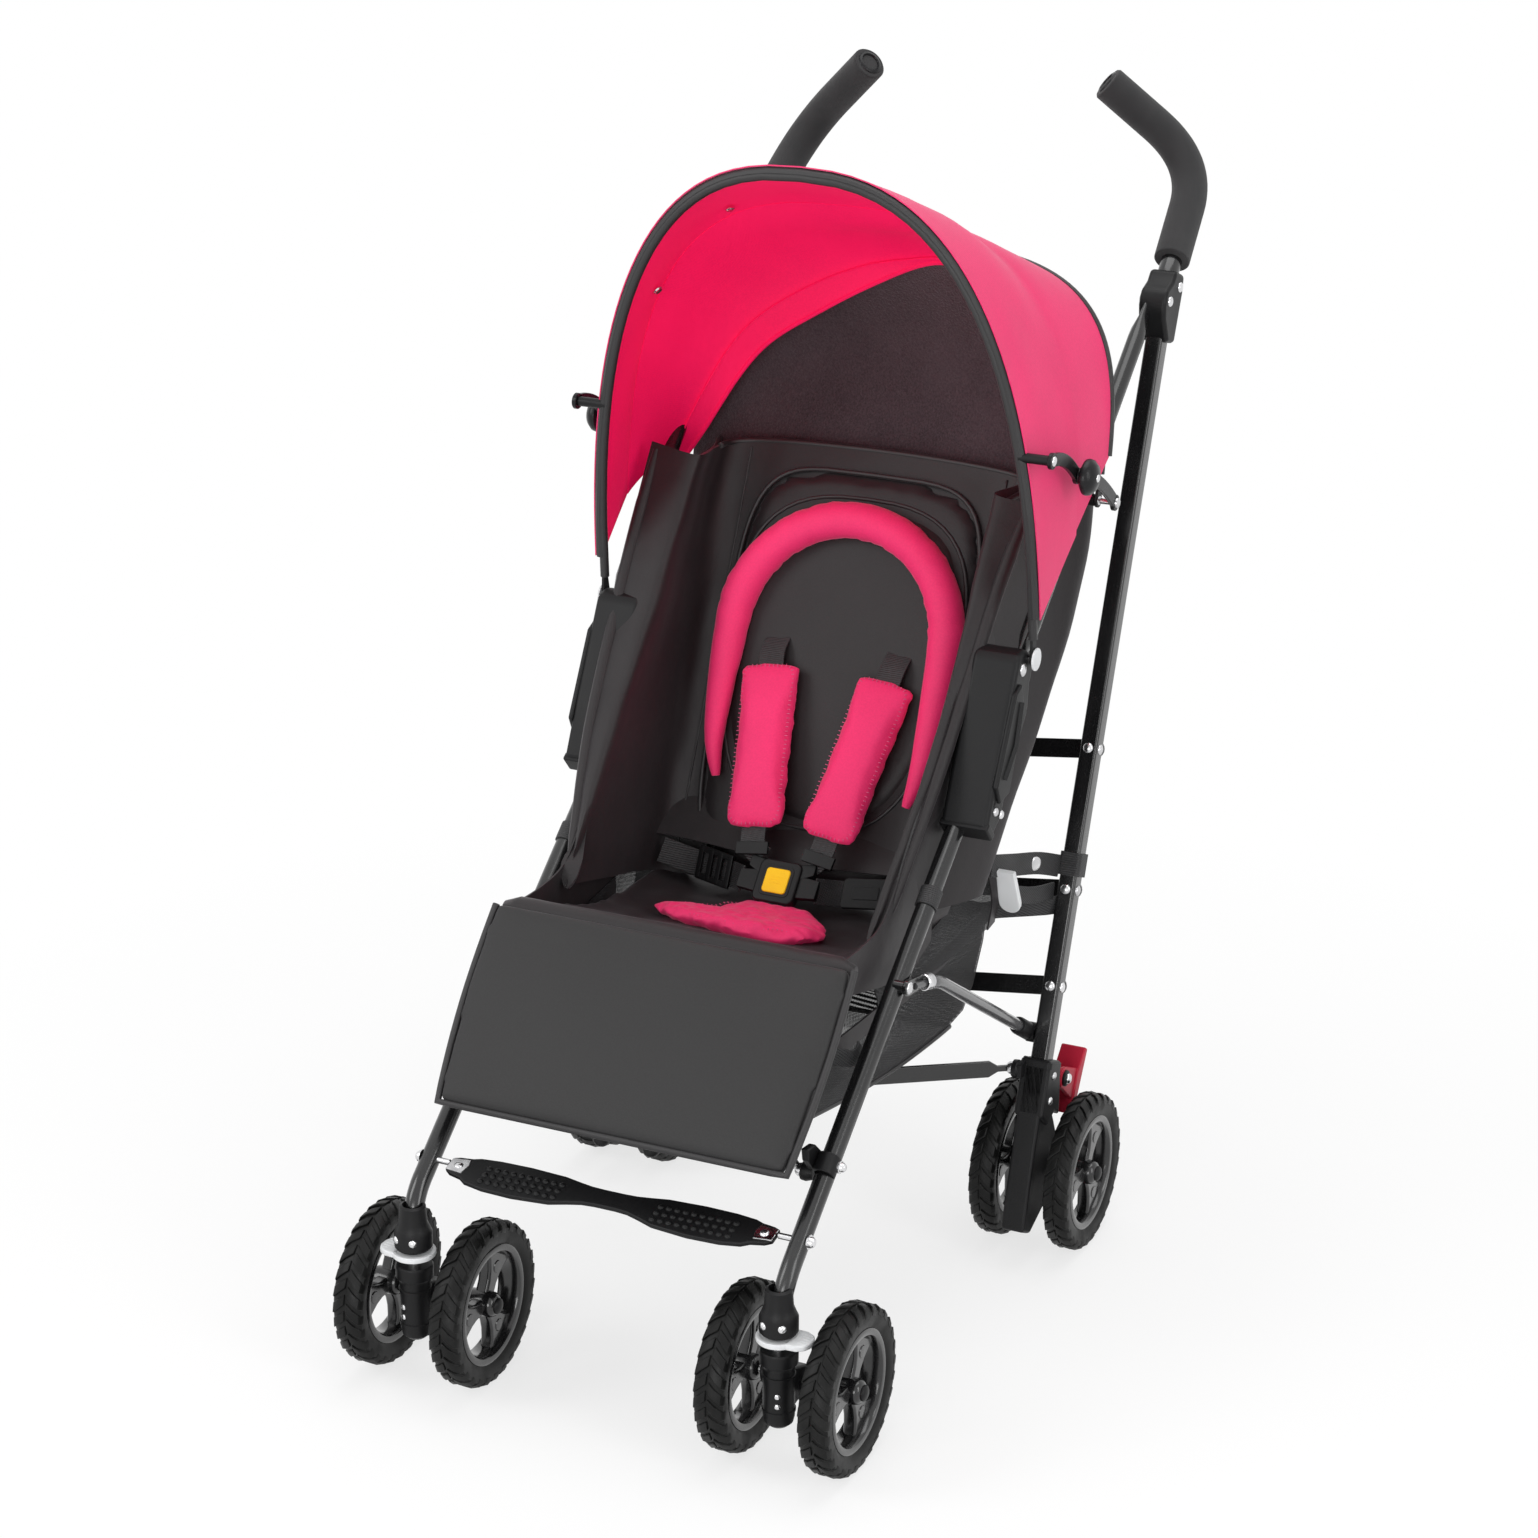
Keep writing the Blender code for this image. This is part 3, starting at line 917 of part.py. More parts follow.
def basket():
    """A mesh tray that hangs between the legs, its rim higher at the back."""
    def ring(half, front, rear, front_z, rear_z):
        return [Vector((half, front, front_z)), Vector((half, (front + rear) / 2, (front_z + rear_z) / 2)),
                Vector((half, rear, rear_z)), Vector((0, rear + 0.004, rear_z)),
                Vector((-half, rear, rear_z)),
                Vector((-half, (front + rear) / 2, (front_z + rear_z) / 2)),
                Vector((-half, front, front_z)), Vector((0, front - 0.004, front_z))]
    wall = 0.003
    rings = [ring(0.155, 0.105, 0.472, 0.332, 0.330), ring(0.150, 0.095, 0.452, 0.290, 0.255),
             ring(0.140, 0.105, 0.425, 0.262, 0.218),
             ring(0.140 - wall, 0.105 + wall, 0.425 - wall, 0.262 + wall, 0.218 + wall),
             ring(0.150 - wall, 0.095 + wall, 0.452 - wall, 0.291, 0.256),
             ring(0.155 - wall, 0.105 + wall, 0.472 - wall, 0.332, 0.330)]
    bm = bmesh.new()
    rows = [[bm.verts.new(p) for p in line] for line in rings]
    count = len(rows[0])
    for a, b in ((0, 1), (1, 2), (3, 4), (4, 5), (5, 0)):
        for i in range(count):
            j = (i + 1) % count
            bm.faces.new((rows[a][i], rows[a][j], rows[b][j], rows[b][i]))
    bm.faces.new(rows[2])
    bm.faces.new(rows[3])
    straps = []
    face = UPRIGHT_X - UPRIGHT_WIDTH / 2 - GAP
    height = 0.327
    spot = on_upright((height - UPRIGHT_FOOT[1]) / cos(UPRIGHT_LEAN))
    for s in (1, -1):
        straps.append(sweep([(s * 0.1525, 0.466, height - 0.003), (s * 0.1535, 0.474, height - 0.003),
                             (s * (face - 0.0018), spot.y - 0.006, height),
                             (s * (face - 0.0018), spot.y + 0.006, height + 0.002)],
                            rectangle(0.002, 0.018), hint=Z_DIR))
        tube_side = FRONT_TUBE_X - FRONT_TUBE_RADIUS - 0.0024
        straps.append(sweep([(s * 0.151, 0.122, 0.318), (s * (tube_side - GAP), 0.138, 0.313),
                             (s * tube_side, 0.150, 0.322)], rectangle(0.002, 0.016), hint=Z_DIR))
    build("basket", MESH_FABRIC, LEFT, (0, 0.105, 0.332), bm, straps)


# Harness: webbing, shoulder pads, buckle and its button, all lying on the seat
def seat_point(x, s, off):
    """A point in front of the back panel, `s` up from the crease."""
    return Vector((x, *SEAT_CREASE)) + back_up * s + back_fore * off


BUCKLE = (0.0, 0.339, 0.3735)


def shoulder_pad(side, word):
    low = seat_point(0.036, 0.052, 0.046)
    high = seat_point(0.058, 0.205, 0.016)
    path = [low.lerp(high, t) + back_fore * (0.005 * sin(pi * t)) for t in (0, 0.12, 0.5, 0.9, 1)]
    body = sweep(path, [(-0.004, -0.027), (-0.0055, 0), (-0.004, 0.027),
                        (0.004, 0.027), (0.0055, 0), (0.004, -0.027)],
                 scales=(0.78, 1.0, 1.05, 1.0, 0.8))
    slot = seat_point(0.060, 0.235, 0.0048)
    upper = sweep([high + back_up * -0.01, high, slot], rectangle(0.0022, 0.024))
    lower = sweep([low + back_up * 0.01, low, Vector(BUCKLE) + Vector((0.0275, 0.0176, 0.0196))],
                  rectangle(0.0022, 0.022))
    build("shoulder_pad_" + word, PINK_FABRIC, side, high, body, [upper, lower])


def buckle_parts():
    lean = Matrix.Translation(BUCKLE) @ Matrix.Rotation(radians(48), 4, "X")
    half = 0.021
    corner = 0.006
    outline = [(half - corner, -half), (half, -half + corner), (half, half - corner),
               (half - corner, half), (-half + corner, half), (-half, half - corner),
               (-half, -half + corner), (-half + corner, -half)]
    case = slab(outline, -0.007, 0.006)
    prongs = [slab([(s * 0.020, 0.004), (s * 0.033, 0.012), (s * 0.033, 0.024), (s * 0.012, 0.0195)],
                   -0.004, 0.003) for s in (1, -1)]
    tongue = slab([(-0.014, -0.030), (0.014, -0.030), (0.014, -0.019), (-0.014, -0.019)], -0.004, 0.003)
    well = slab([(a * 0.0128, b * 0.0128) for a, b in ((0.7, -1), (1, -0.7), (1, 0.7), (0.7, 1),
                                                       (-0.7, 1), (-1, 0.7), (-1, -0.7), (-0.7, -1))],
                -0.0005, 0.02)
    for bm in (case, *prongs, tongue, well):
        bm.transform(lean)
    end = lean @ Vector((0, -0.028, -0.0005))
    strap = sweep([end, Vector((0, 0.3245, 0.352)), Vector((0, 0.330, seat_height(0.330) - 0.0045))],
                  rectangle(0.0022, 0.025))
    build("buckle", BLACK_PLASTIC, LEFT, BUCKLE, case, [*prongs, tongue, strap], [well])
    button = slab([(a * 0.0121, b * 0.0121) for a, b in ((0.7, -1), (1, -0.7), (1, 0.7), (0.7, 1),
                                                         (-0.7, 1), (-1, 0.7), (-1, -0.7), (-0.7, -1))],
                  0.0023, 0.0078)
    button.transform(lean)
    build("buckle_button", YELLOW_PLASTIC, LEFT, BUCKLE, button)


def crotch_pad():
    path = [Vector((0, y, seat_height(y) + lift)) for y, lift in
            ((0.248, 0.0002), (0.272, 0.0002), (0.296, 0.0015), (0.312, 0.0065))]
    body = sweep(path, [(-0.004, -0.060), (-0.005, 0), (-0.004, 0.060), (0.004, 0.060),
                        (0.006, 0), (0.004, -0.060)], scales=(0.9, 1.0, 0.7, 0.4))
    build("crotch_pad", PINK_FABRIC, LEFT, path[0], body)


def head_roll():
    """A stuffed horseshoe that frames the head."""
    radius = 0.0165
    off = radius + 0.0046          # the back's face stands at 0.004
    half, low, high = 0.108, 0.105, 0.352
    path = [seat_point(half * 0.96, low, off), seat_point(half, low + 0.07, off)]
    for t in range(0, 181, 20):
        a = radians(t)
        path.append(seat_point(half * cos(a), high - half + half * sin(a), off))
    path += [Vector((-p.x, p.y, p.z)) for p in (path[1], path[0])]
    sizes = [0.4, 0.85] + [1.0] * (len(path) - 4) + [0.85, 0.4]
    body = sweep(path, circle(radius, 8), hint=back_fore, scales=sizes)
    build("head_roll", PINK_FABRIC, LEFT, seat_point(0, high, radius), body)


# Assembly
for side, word in SIDES:
    upright(side, word)
    top_joint(side, word)
    handle_grip(side, word)
    upper_tube(side, word)
    elbow_housing(side, word)
    front_tube(side, word)
    front_fork(side, word)
    swivel_lock(side, word)
    for place, offset in (("outer", FRONT_TWIN_HALF), ("inner", -FRONT_TWIN_HALF)):
        wheel("front_wheel_" + place + "_" + word, (FRONT_TRACK_HALF + offset, 0, WHEEL_RADIUS),
              FRONT_TYRE_WIDTH, side)
    rear_bracket(side, word)
    for place, offset in (("outer", REAR_TWIN_HALF), ("inner", -REAR_TWIN_HALF)):
        wheel("rear_wheel_" + place + "_" + word, (UPRIGHT_X + offset, WHEELBASE, WHEEL_RADIUS),
              REAR_TYRE_WIDTH, side)
    brake_pedal(side, word)
    for level in CROSSBAR_HEIGHTS:
        crossbar(side, word, level)
    side_rail(side, word)
    brace_arm(side, word, "rear")
    brace_arm(side, word, "front")
    stay_arm(side, word, "front")
    stay_arm(side, word, "rear")
    shoulder_pad(side, word)
brace_hub()
front_bow()
rear_bow()
hood_fabric()
seat_back()
seat_base()
leg_rest()
footrest()
basket()
buckle_parts()
crotch_pad()
head_roll()
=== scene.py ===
# %% [markdown]
# # A folding umbrella buggy
#
# This lesson dresses a finished CAD frame in good-looking pieces. The frame comes first, because every
# tube, wheel and pad below rides on one of its bodies. The frame's numbers are measured from the front
# axle in the drawing, so one offset moves each finished piece to where the frame stands.

# %% Load the frame
from math import asin, atan2, cos, pi, radians, sin
import bmesh
import bpy
from mathutils import Matrix, Vector, noise


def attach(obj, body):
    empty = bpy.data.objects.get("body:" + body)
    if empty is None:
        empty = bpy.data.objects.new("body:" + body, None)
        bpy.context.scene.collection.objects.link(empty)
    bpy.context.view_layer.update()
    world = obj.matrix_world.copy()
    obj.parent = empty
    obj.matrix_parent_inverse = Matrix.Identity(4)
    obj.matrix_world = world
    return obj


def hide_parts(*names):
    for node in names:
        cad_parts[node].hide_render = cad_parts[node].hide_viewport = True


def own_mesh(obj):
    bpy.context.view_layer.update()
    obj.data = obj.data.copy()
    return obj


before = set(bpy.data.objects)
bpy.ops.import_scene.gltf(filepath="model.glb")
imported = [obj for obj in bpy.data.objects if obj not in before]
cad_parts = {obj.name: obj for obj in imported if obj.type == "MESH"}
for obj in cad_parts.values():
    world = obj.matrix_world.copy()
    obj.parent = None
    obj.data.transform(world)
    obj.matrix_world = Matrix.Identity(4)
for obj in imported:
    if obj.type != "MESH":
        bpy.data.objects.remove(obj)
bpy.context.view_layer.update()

FRONT_AXLE = Vector((0, -0.38545, 0))
LEFT, RIGHT = 1, -1
SIDES = ((LEFT, "left"), (RIGHT, "right"))
X_DIR, Z_DIR = Vector((1, 0, 0)), Vector((0, 0, 1))


def in_scene(name, data):
    made = bpy.data.objects.new(name, data)
    bpy.context.scene.collection.objects.link(made)
    return made


# %% [markdown]
# ## Camera
#
# The photograph was taken with a long lens from the front left, a little above the handles. The camera's
# place comes from points whose positions on the frame are known. A long lens keeps the tubes nearly
# parallel, and a small shift puts the picture's middle where it was.

# %% Camera
camera = in_scene("camera", bpy.data.cameras.new("camera"))
turn, rise = radians(25.566), radians(20.35)
backwards = Vector((sin(turn) * cos(rise), -cos(turn) * cos(rise), sin(rise)))
camera.rotation_mode = "QUATERNION"
camera.rotation_quaternion = (-backwards).to_track_quat("-Z", "Y")
camera.location = Vector((1.4009, -2.6095, 1.7062)) + FRONT_AXLE
camera.data.lens, camera.data.sensor_width = 89.65, 36
camera.data.shift_y = -0.0064
camera.data.clip_end = 60
bpy.context.scene.camera = camera
bpy.context.scene.view_settings.view_transform = "Standard"
print("camera", [round(v, 3) for v in camera.location])

# %% [markdown]
# ## Floor and light
#
# A white paper floor runs out of sight. The world gives an even light from all round, as white walls
# would, and four soft boxes add the long highlights that gloss paint and satin cloth need. Together
# they add up to about one, so a colour looks as it is written.


# %% Floor and lamps
def added(tree, kind, **settings):
    """A new node with its settings."""
    made = tree.nodes.new(kind)
    for key, value in settings.items():
        setattr(made, key, value)
    return made


def wired(tree, *pairs):
    """Join sockets, given as pairs of an output and an input."""
    for output, socket in pairs:
        tree.links.new(output, socket)


def white_to_the_eye(tree, dim):
    """A factor that is 1 where the camera, a mirror or glass looks, so that these see plain white."""
    path = added(tree, "ShaderNodeLightPath")
    most = added(tree, "ShaderNodeMath", operation="MAXIMUM")
    last = added(tree, "ShaderNodeMath", operation="MAXIMUM")
    mix = added(tree, "ShaderNodeMix", data_type="FLOAT")
    mix.inputs[2].default_value, mix.inputs[3].default_value = dim, 1.0
    wired(tree, (path.outputs["Is Camera Ray"], most.inputs[0]),
          (path.outputs["Is Glossy Ray"], most.inputs[1]), (most.outputs[0], last.inputs[0]),
          (path.outputs["Is Transmission Ray"], last.inputs[1]), (last.outputs[0], mix.inputs[0]))
    return mix.outputs[0]


world = bpy.data.worlds.new("studio")
bpy.context.scene.world = world
world.use_nodes = True
sky = world.node_tree.nodes["Background"]
sky.inputs["Color"].default_value = (1, 1, 1, 1)
world.node_tree.links.new(white_to_the_eye(world.node_tree, 0.5), sky.inputs["Strength"])

paper = bpy.data.materials.new("white_paper")
paper.use_nodes = True
paper_tree = paper.node_tree
matte = paper_tree.nodes["Principled BSDF"]
for label, value in (("Base Color", (0.97, 0.97, 0.97, 1)), ("Roughness", 0.9), ("Specular IOR Level", 0.0)):
    matte.inputs[label].default_value = value
glow = added(paper_tree, "ShaderNodeEmission")
blend_white = added(paper_tree, "ShaderNodeMixShader")
spot_here = added(paper_tree, "ShaderNodeTexCoord")
distance = added(paper_tree, "ShaderNodeVectorMath", operation="LENGTH")
fade = added(paper_tree, "ShaderNodeMapRange")
for index, value in enumerate((0.45, 1.15, 0.72, 1.0), 1):
    fade.inputs[index].default_value = value
seen_white = added(paper_tree, "ShaderNodeMath", operation="MULTIPLY")
wired(paper_tree, (spot_here.outputs["Object"], distance.inputs[0]),
      (distance.outputs["Value"], fade.inputs[0]), (fade.outputs[0], seen_white.inputs[0]),
      (white_to_the_eye(paper_tree, 0.0), seen_white.inputs[1]), (seen_white.outputs[0], blend_white.inputs[0]),
      (matte.outputs[0], blend_white.inputs[1]), (glow.outputs[0], blend_white.inputs[2]),
      (blend_white.outputs[0], paper_tree.nodes["Material Output"].inputs[0]))
floor_mesh = bpy.data.meshes.new("studio_floor")
floor_mesh.from_pydata([(-30, -30, 0), (30, -30, 0), (30, 30, 0), (-30, 30, 0)], [], [(0, 1, 2, 3)])
floor_mesh.materials.append(paper)
studio_floor = in_scene("studio_floor", floor_mesh)


def soft_box(name, place, target, width, height, power):
    lamp = bpy.data.lights.new(name, "AREA")
    lamp.shape, lamp.size, lamp.size_y, lamp.energy = "RECTANGLE", width, height, power
    box = in_scene(name, lamp)
    box.location = place
    box.rotation_euler = (Vector(target) - Vector(place)).to_track_quat("-Z", "Y").to_euler()


soft_box("key_left", (-2.6, -2.6, 2.6), (0, 0, 0.5), 1.6, 2.2, 46)
soft_box("fill_right", (3.2, -1.2, 1.8), (0, 0, 0.5), 1.0, 2.4, 30)
soft_box("overhead", (0.2, 0.4, 3.4), (0, 0, 0.4), 2.4, 2.4, 40)
soft_box("front_low", (0.5, -3.6, 1.1), (0, 0.1, 0.7), 1.6, 1.2, 34)

# %% [markdown]
# ## A small language for finishes
#
# A finish is a graph of nodes, which is hard to read when every link is written out. The class Signal
# wraps one output, so that ordinary arithmetic on it adds Math nodes. The class Finish makes every other
# node from its type, its settings and its inputs.


# %% Signals and finishes
class Signal:
    def __init__(self, finish, socket):
        self.finish, self.socket = finish, socket

    def math(self, operation, *values):
        return self.finish.node("ShaderNodeMath", {"operation": operation}, dict(enumerate(values)))

    def __add__(self, other): return self.math("ADD", self, other)
    __radd__ = __add__
    def __sub__(self, other): return self.math("SUBTRACT", self, other)
    def __rsub__(self, other): return self.math("SUBTRACT", other, self)
    def __mul__(self, other): return self.math("MULTIPLY", self, other)
    __rmul__ = __mul__
    def sine(self): return self.math("SINE", self)
    def absolute(self): return self.math("ABSOLUTE", self)

    def part(self, axis):
        return self.finish.node("ShaderNodeSeparateXYZ", {}, {0: self}, axis)


class Finish:
    def __init__(self, name):
        self.material = bpy.data.materials.new(name)
        self.material.use_nodes = True
        self.tree = self.material.node_tree
        self.shader = self.tree.nodes["Principled BSDF"]

    def node(self, kind, settings, inputs, output=0):
        made = added(self.tree, kind, **settings)
        for key, value in inputs.items():
            if isinstance(value, Signal):
                self.tree.links.new(value.socket, made.inputs[key])
            else:
                made.inputs[key].default_value = value
        return Signal(self, made.outputs[output])

    def place(self):
        return self.node("ShaderNodeTexCoord", {}, {}, "Object")

    def clouds(self, scale, detail=2.0, rough=0.5):
        return self.node("ShaderNodeTexNoise", {}, {"Vector": self.place(), "Scale": scale, "Detail": detail,
                                                    "Roughness": rough})

    def cells(self, scale):
        return self.node("ShaderNodeTexVoronoi", {"feature": "F1"}, {"Vector": self.place(), "Scale": scale},
                         "Distance")

    def mix(self, factor, one, two):
        return self.node("ShaderNodeMix", {"data_type": "RGBA"}, {0: factor, 6: one, 7: two}, 2)

    def remap(self, value, low, high, to_low=0.0, to_high=1.0):
        return self.node("ShaderNodeMapRange", {}, {0: value, 1: low, 2: high, 3: to_low, 4: to_high})

    def bump(self, height, depth, strength=1.0, below=None):
        inputs = {"Height": height, "Distance": depth, "Strength": strength}
        if below:
            inputs["Normal"] = below
        return self.node("ShaderNodeBump", {}, inputs)

    def paint(self, **inputs):
        """Set the shader's sockets, written with underscores for spaces."""
        for key, value in inputs.items():
            socket = self.shader.inputs[key.replace("_", " ")]
            if isinstance(value, Signal):
                self.tree.links.new(value.socket, socket)
            else:
                socket.default_value = value
        return self.material


def shade(r, g, b):
    return (r, g, b, 1.0)


# %% [markdown]
# ## Hard finishes
#
# The frame is steel with gloss black paint, the joints are moulded plastic with a fine grain, the rims
# are gloss plastic and the rivets bright steel. Each finish has a slow change of colour, a fine bump and
# some wear or dust, at the scale of the real thing.


# %% Paint, plastic, steel, rubber and foam
def gloss_paint(name, colour, rough, grain, coat):
    f = Finish(name)
    dust = f.remap(f.clouds(9, 4), 0.45, 0.75)
    specks = f.remap(f.clouds(420, 2), 0.62, 0.74)
    colour_now = f.mix(dust * 0.35 + specks * 0.12, shade(*colour), shade(*[c * 1.7 + 0.01 for c in colour]))
    peel = f.clouds(grain, 2)
    return f.paint(Base_Color=colour_now, Roughness=dust * 0.14 + specks * 0.1 + rough,
                   Normal=f.bump(peel, 0.00012, 0.5), Coat_Weight=coat, Coat_Roughness=0.12)


def grained_plastic(name, colour, rough=0.4):
    f = Finish(name)
    grain = f.cells(900)
    tone = f.remap(f.clouds(14, 3), 0.35, 0.7)
    colour_now = f.mix(tone * 0.5, shade(*colour), shade(*[c * 1.35 + 0.003 for c in colour]))
    return f.paint(Base_Color=colour_now, Roughness=tone * 0.12 + rough, Normal=f.bump(grain, 0.00015, 0.45),
                   Specular_IOR_Level=0.24)


def steel():
    f = Finish("bright_steel")
    marks = f.clouds(60, 5)
    colour = f.mix(f.remap(marks, 0.4, 0.7), shade(0.74, 0.74, 0.75), shade(0.52, 0.52, 0.53))
    return f.paint(Base_Color=colour, Metallic=1.0, Roughness=f.remap(marks, 0.3, 0.7, 0.14, 0.36),
                   Normal=f.bump(f.clouds(700), 0.00005, 0.4))


def rubber():
    f = Finish("tyre_rubber")
    scuff = f.remap(f.clouds(55, 5), 0.45, 0.72)
    grain = f.clouds(1300, 2)
    colour = f.mix(scuff * 0.6, shade(0.0035, 0.0036, 0.0035), shade(0.014, 0.014, 0.0135))
    return f.paint(Base_Color=colour, Roughness=scuff * 0.22 + 0.42, Normal=f.bump(grain, 0.00012, 0.5),
                   Specular_IOR_Level=0.2)


def foam():
    f = Finish("grip_foam")
    pores = f.cells(1500)
    tone = f.remap(f.clouds(38, 4), 0.35, 0.7)
    colour = f.mix(tone * 0.6, shade(0.016, 0.016, 0.017), shade(0.027, 0.026, 0.027))
    return f.paint(Base_Color=colour, Roughness=0.88, Normal=f.bump(pores, 0.0005, 0.6), Sheen_Weight=0.12)


PAINT = gloss_paint("frame_paint", (0.007, 0.007, 0.0075), 0.2, 240, 0.35)
RIM = gloss_paint("rim_gloss", (0.0075, 0.0075, 0.008), 0.17, 160, 0.35)
PLASTIC = grained_plastic("black_plastic", (0.0045, 0.0045, 0.005))
SATIN_PLASTIC = grained_plastic("knob_plastic", (0.008, 0.008, 0.009), 0.25)
GREY = grained_plastic("grey_plastic", (0.66, 0.67, 0.68), 0.42)
RED = grained_plastic("red_plastic", (0.42, 0.012, 0.035), 0.36)
YELLOW = grained_plastic("yellow_plastic", (0.93, 0.56, 0.008), 0.32)
STEEL, RUBBER, FOAM = steel(), rubber(), foam()
print("hard finishes ready")

# %% [markdown]
# ## A small kit of shapes
#
# Tubes, turned parts and plates with rounded edges cover nearly every hard piece of a buggy. Each helper
# gives a closed shape, measured from the front axle, for the left side. The right side is its mirror.


# %% Shape helpers
def circle(radius, sides):
    return [(radius * cos(2 * pi * i / sides), radius * sin(2 * pi * i / sides)) for i in range(sides)]


def arc(centre, radius, start, end, steps):
    angles = [radians(start + (end - start) * i / steps) for i in range(steps + 1)]
    return [(centre[0] + radius * cos(a), centre[1] + radius * sin(a)) for a in angles]


def loft(rings, caps=True, loop=False):
    bm = bmesh.new()
    rows = [[bm.verts.new(p) for p in ring] for ring in rings]
    for row, after in list(zip(rows, rows[1:])) + ([(rows[-1], rows[0])] if loop else []):
        for i in range(len(row)):
            j = (i + 1) % len(row)
            bm.faces.new((row[i], row[j], after[j], after[i]))
    if caps and not loop:
        bm.faces.new(rows[0])
        bm.faces.new(rows[-1])
    return bm


def axes_along(direction, hint):
    w = direction.normalized()
    u = hint.cross(w).normalized()
    return u, w.cross(u)


def mirrored(profile):
    """A profile and its mirror image, so that both ends of a turned part match."""
    return profile + [(radius, -height) for radius, height in reversed(profile)]


def tube(points, section, hint=X_DIR, scales=None):
    """Carry a section, a radius or a list of points, along a path."""
    section = circle(section, 24) if isinstance(section, float) else section
    points = [Vector(p) for p in points]
    rings = []
    for i, here in enumerate(points):
        before, after = points[max(i - 1, 0)], points[min(i + 1, len(points) - 1)]
        u, v = axes_along(after - before, hint)
        size = scales[i] if scales else 1.0
        rings.append([here + (u * a + v * b) * size for a, b in section])
    return loft(rings)


def turned(profile, centre, axis, segments=40, ring=False):
    """Turn a profile of (radius, height) pairs; a radius of 0 closes the end in a point."""
    w = Vector(axis).normalized()
    u, v = axes_along(w, X_DIR if abs(w.x) < 0.5 else Vector((0, 1, 0)))
    centre = Vector(centre)
    rings = [[centre + w * h + (u * cos(2 * pi * i / segments) + v * sin(2 * pi * i / segments)) * r
              for i in range(segments)] for r, h in profile]
    bm = loft(rings, caps=not ring, loop=ring)
    bmesh.ops.remove_doubles(bm, verts=bm.verts, dist=1e-6)
    return bm


def soften(bm, width, steps=2, angle=28):
    """Round the edges where two faces meet at more than an angle."""
    bmesh.ops.recalc_face_normals(bm, faces=bm.faces)
    edges = [e for e in bm.edges if len(e.link_faces) == 2 and e.calc_face_angle(0) > radians(angle)]
    bmesh.ops.bevel(bm, geom=edges, offset=width, segments=steps, profile=0.5, affect="EDGES",
                    clamp_overlap=True)
    return bm


def plate(outline, low, high, width=0.0012, steps=2):
    """A plate from an outline of (Y, Z) pairs, between two X, with rounded edges."""
    bm = loft([[Vector((x, y, z)) for y, z in outline] for x in (low, high)])
    return soften(bm, width, steps)


def slab(outline, low, high, width=0.001, steps=2):
    bm = loft([[Vector((x, y, z)) for x, y in outline] for z in (low, high)])
    return soften(bm, width, steps)


def rod(start, end, radius, segments=24, edge=0.0006):
    start, end = Vector(start), Vector(end)
    length = (end - start).length
    profile = [(0, 0), (radius - edge, 0), (radius, edge), (radius, length - edge),
               (radius - edge, length), (0, length)]
    return turned(profile, start, end - start, segments)


def dome(centre, axis, radius, height, rows=5, segments=24):
    """A rivet's head that stands on a point, with a small square foot."""
    profile = [(0, -0.001), (radius, -0.001), (radius, height * 0.12)]
    profile += [(radius * cos(a), height * (0.12 + 0.88 * sin(a)))
                for a in (radians(90 * i / rows) for i in range(1, rows))]
    return turned([*profile, (0, height)], centre, axis, segments)


def ball(centre, radius, rows=10, segments=20):
    profile = [(radius * sin(pi * i / rows), -radius * cos(pi * i / rows)) for i in range(rows + 1)]
    return turned(profile, centre, X_DIR, segments)


def bend_path(points, bend, steps=12):
    """Replace each inner corner by a curve that starts so far before it."""
    points = [Vector(p) for p in points]
    path = [points[0]]
    for before, corner, after in zip(points, points[1:], points[2:]):
        a = corner + (before - corner).normalized() * bend
        b = corner + (after - corner).normalized() * bend
        path += [a.lerp(corner, t).lerp(corner.lerp(b, t), t) for t in (i / steps for i in range(steps + 1))]
    return path + [points[-1]]


# %% [markdown]
# ## From shapes to pieces
#
# One piece is often several shapes that touch, such as a housing with its rivets. They are joined in one
# mesh, each with its own finish. Flat faces keep flat shading with area-weighted normals, which are worked
# out once and kept in the mesh.


# %% Make a piece
def joined(shapes, side):
    """One mesh from (shape, finish) pairs, moved from the drawing to the frame."""
    whole, finishes = bmesh.new(), []
    for bm, finish in shapes:
        if finish not in finishes:
            finishes.append(finish)
        bmesh.ops.recalc_face_normals(bm, faces=bm.faces)
        if bm.calc_volume(signed=True) < 0:
            bmesh.ops.reverse_faces(bm, faces=bm.faces)
        for face in bm.faces:
            face.material_index = finishes.index(finish)
        part = bpy.data.meshes.new("part")
        bm.to_mesh(part)
        bm.free()
        whole.from_mesh(part)
        bpy.data.meshes.remove(part)
    if side == RIGHT:
        whole.transform(Matrix.Scale(-1, 4, X_DIR))
        bmesh.ops.reverse_faces(whole, faces=whole.faces)
    whole.transform(Matrix.Translation(FRONT_AXLE))
    return whole, finishes


def all_in(finish, *shapes):
    return [(bm, finish) for bm in shapes]


def object_from(name, bm, finishes):
    mesh = bpy.data.meshes.new(name)
    bm.to_mesh(mesh)
    bm.free()
    for finish in finishes:
        mesh.materials.append(finish)
    return in_scene(name, mesh)


def settle(obj):
    """Replace the object's mesh by what its modifiers make of it, and remove them."""
    mesh = bpy.data.meshes.new_from_object(obj.evaluated_get(bpy.context.evaluated_depsgraph_get()))
    mesh.name = obj.name
    obj.modifiers.clear()
    obj.data = mesh
    return obj


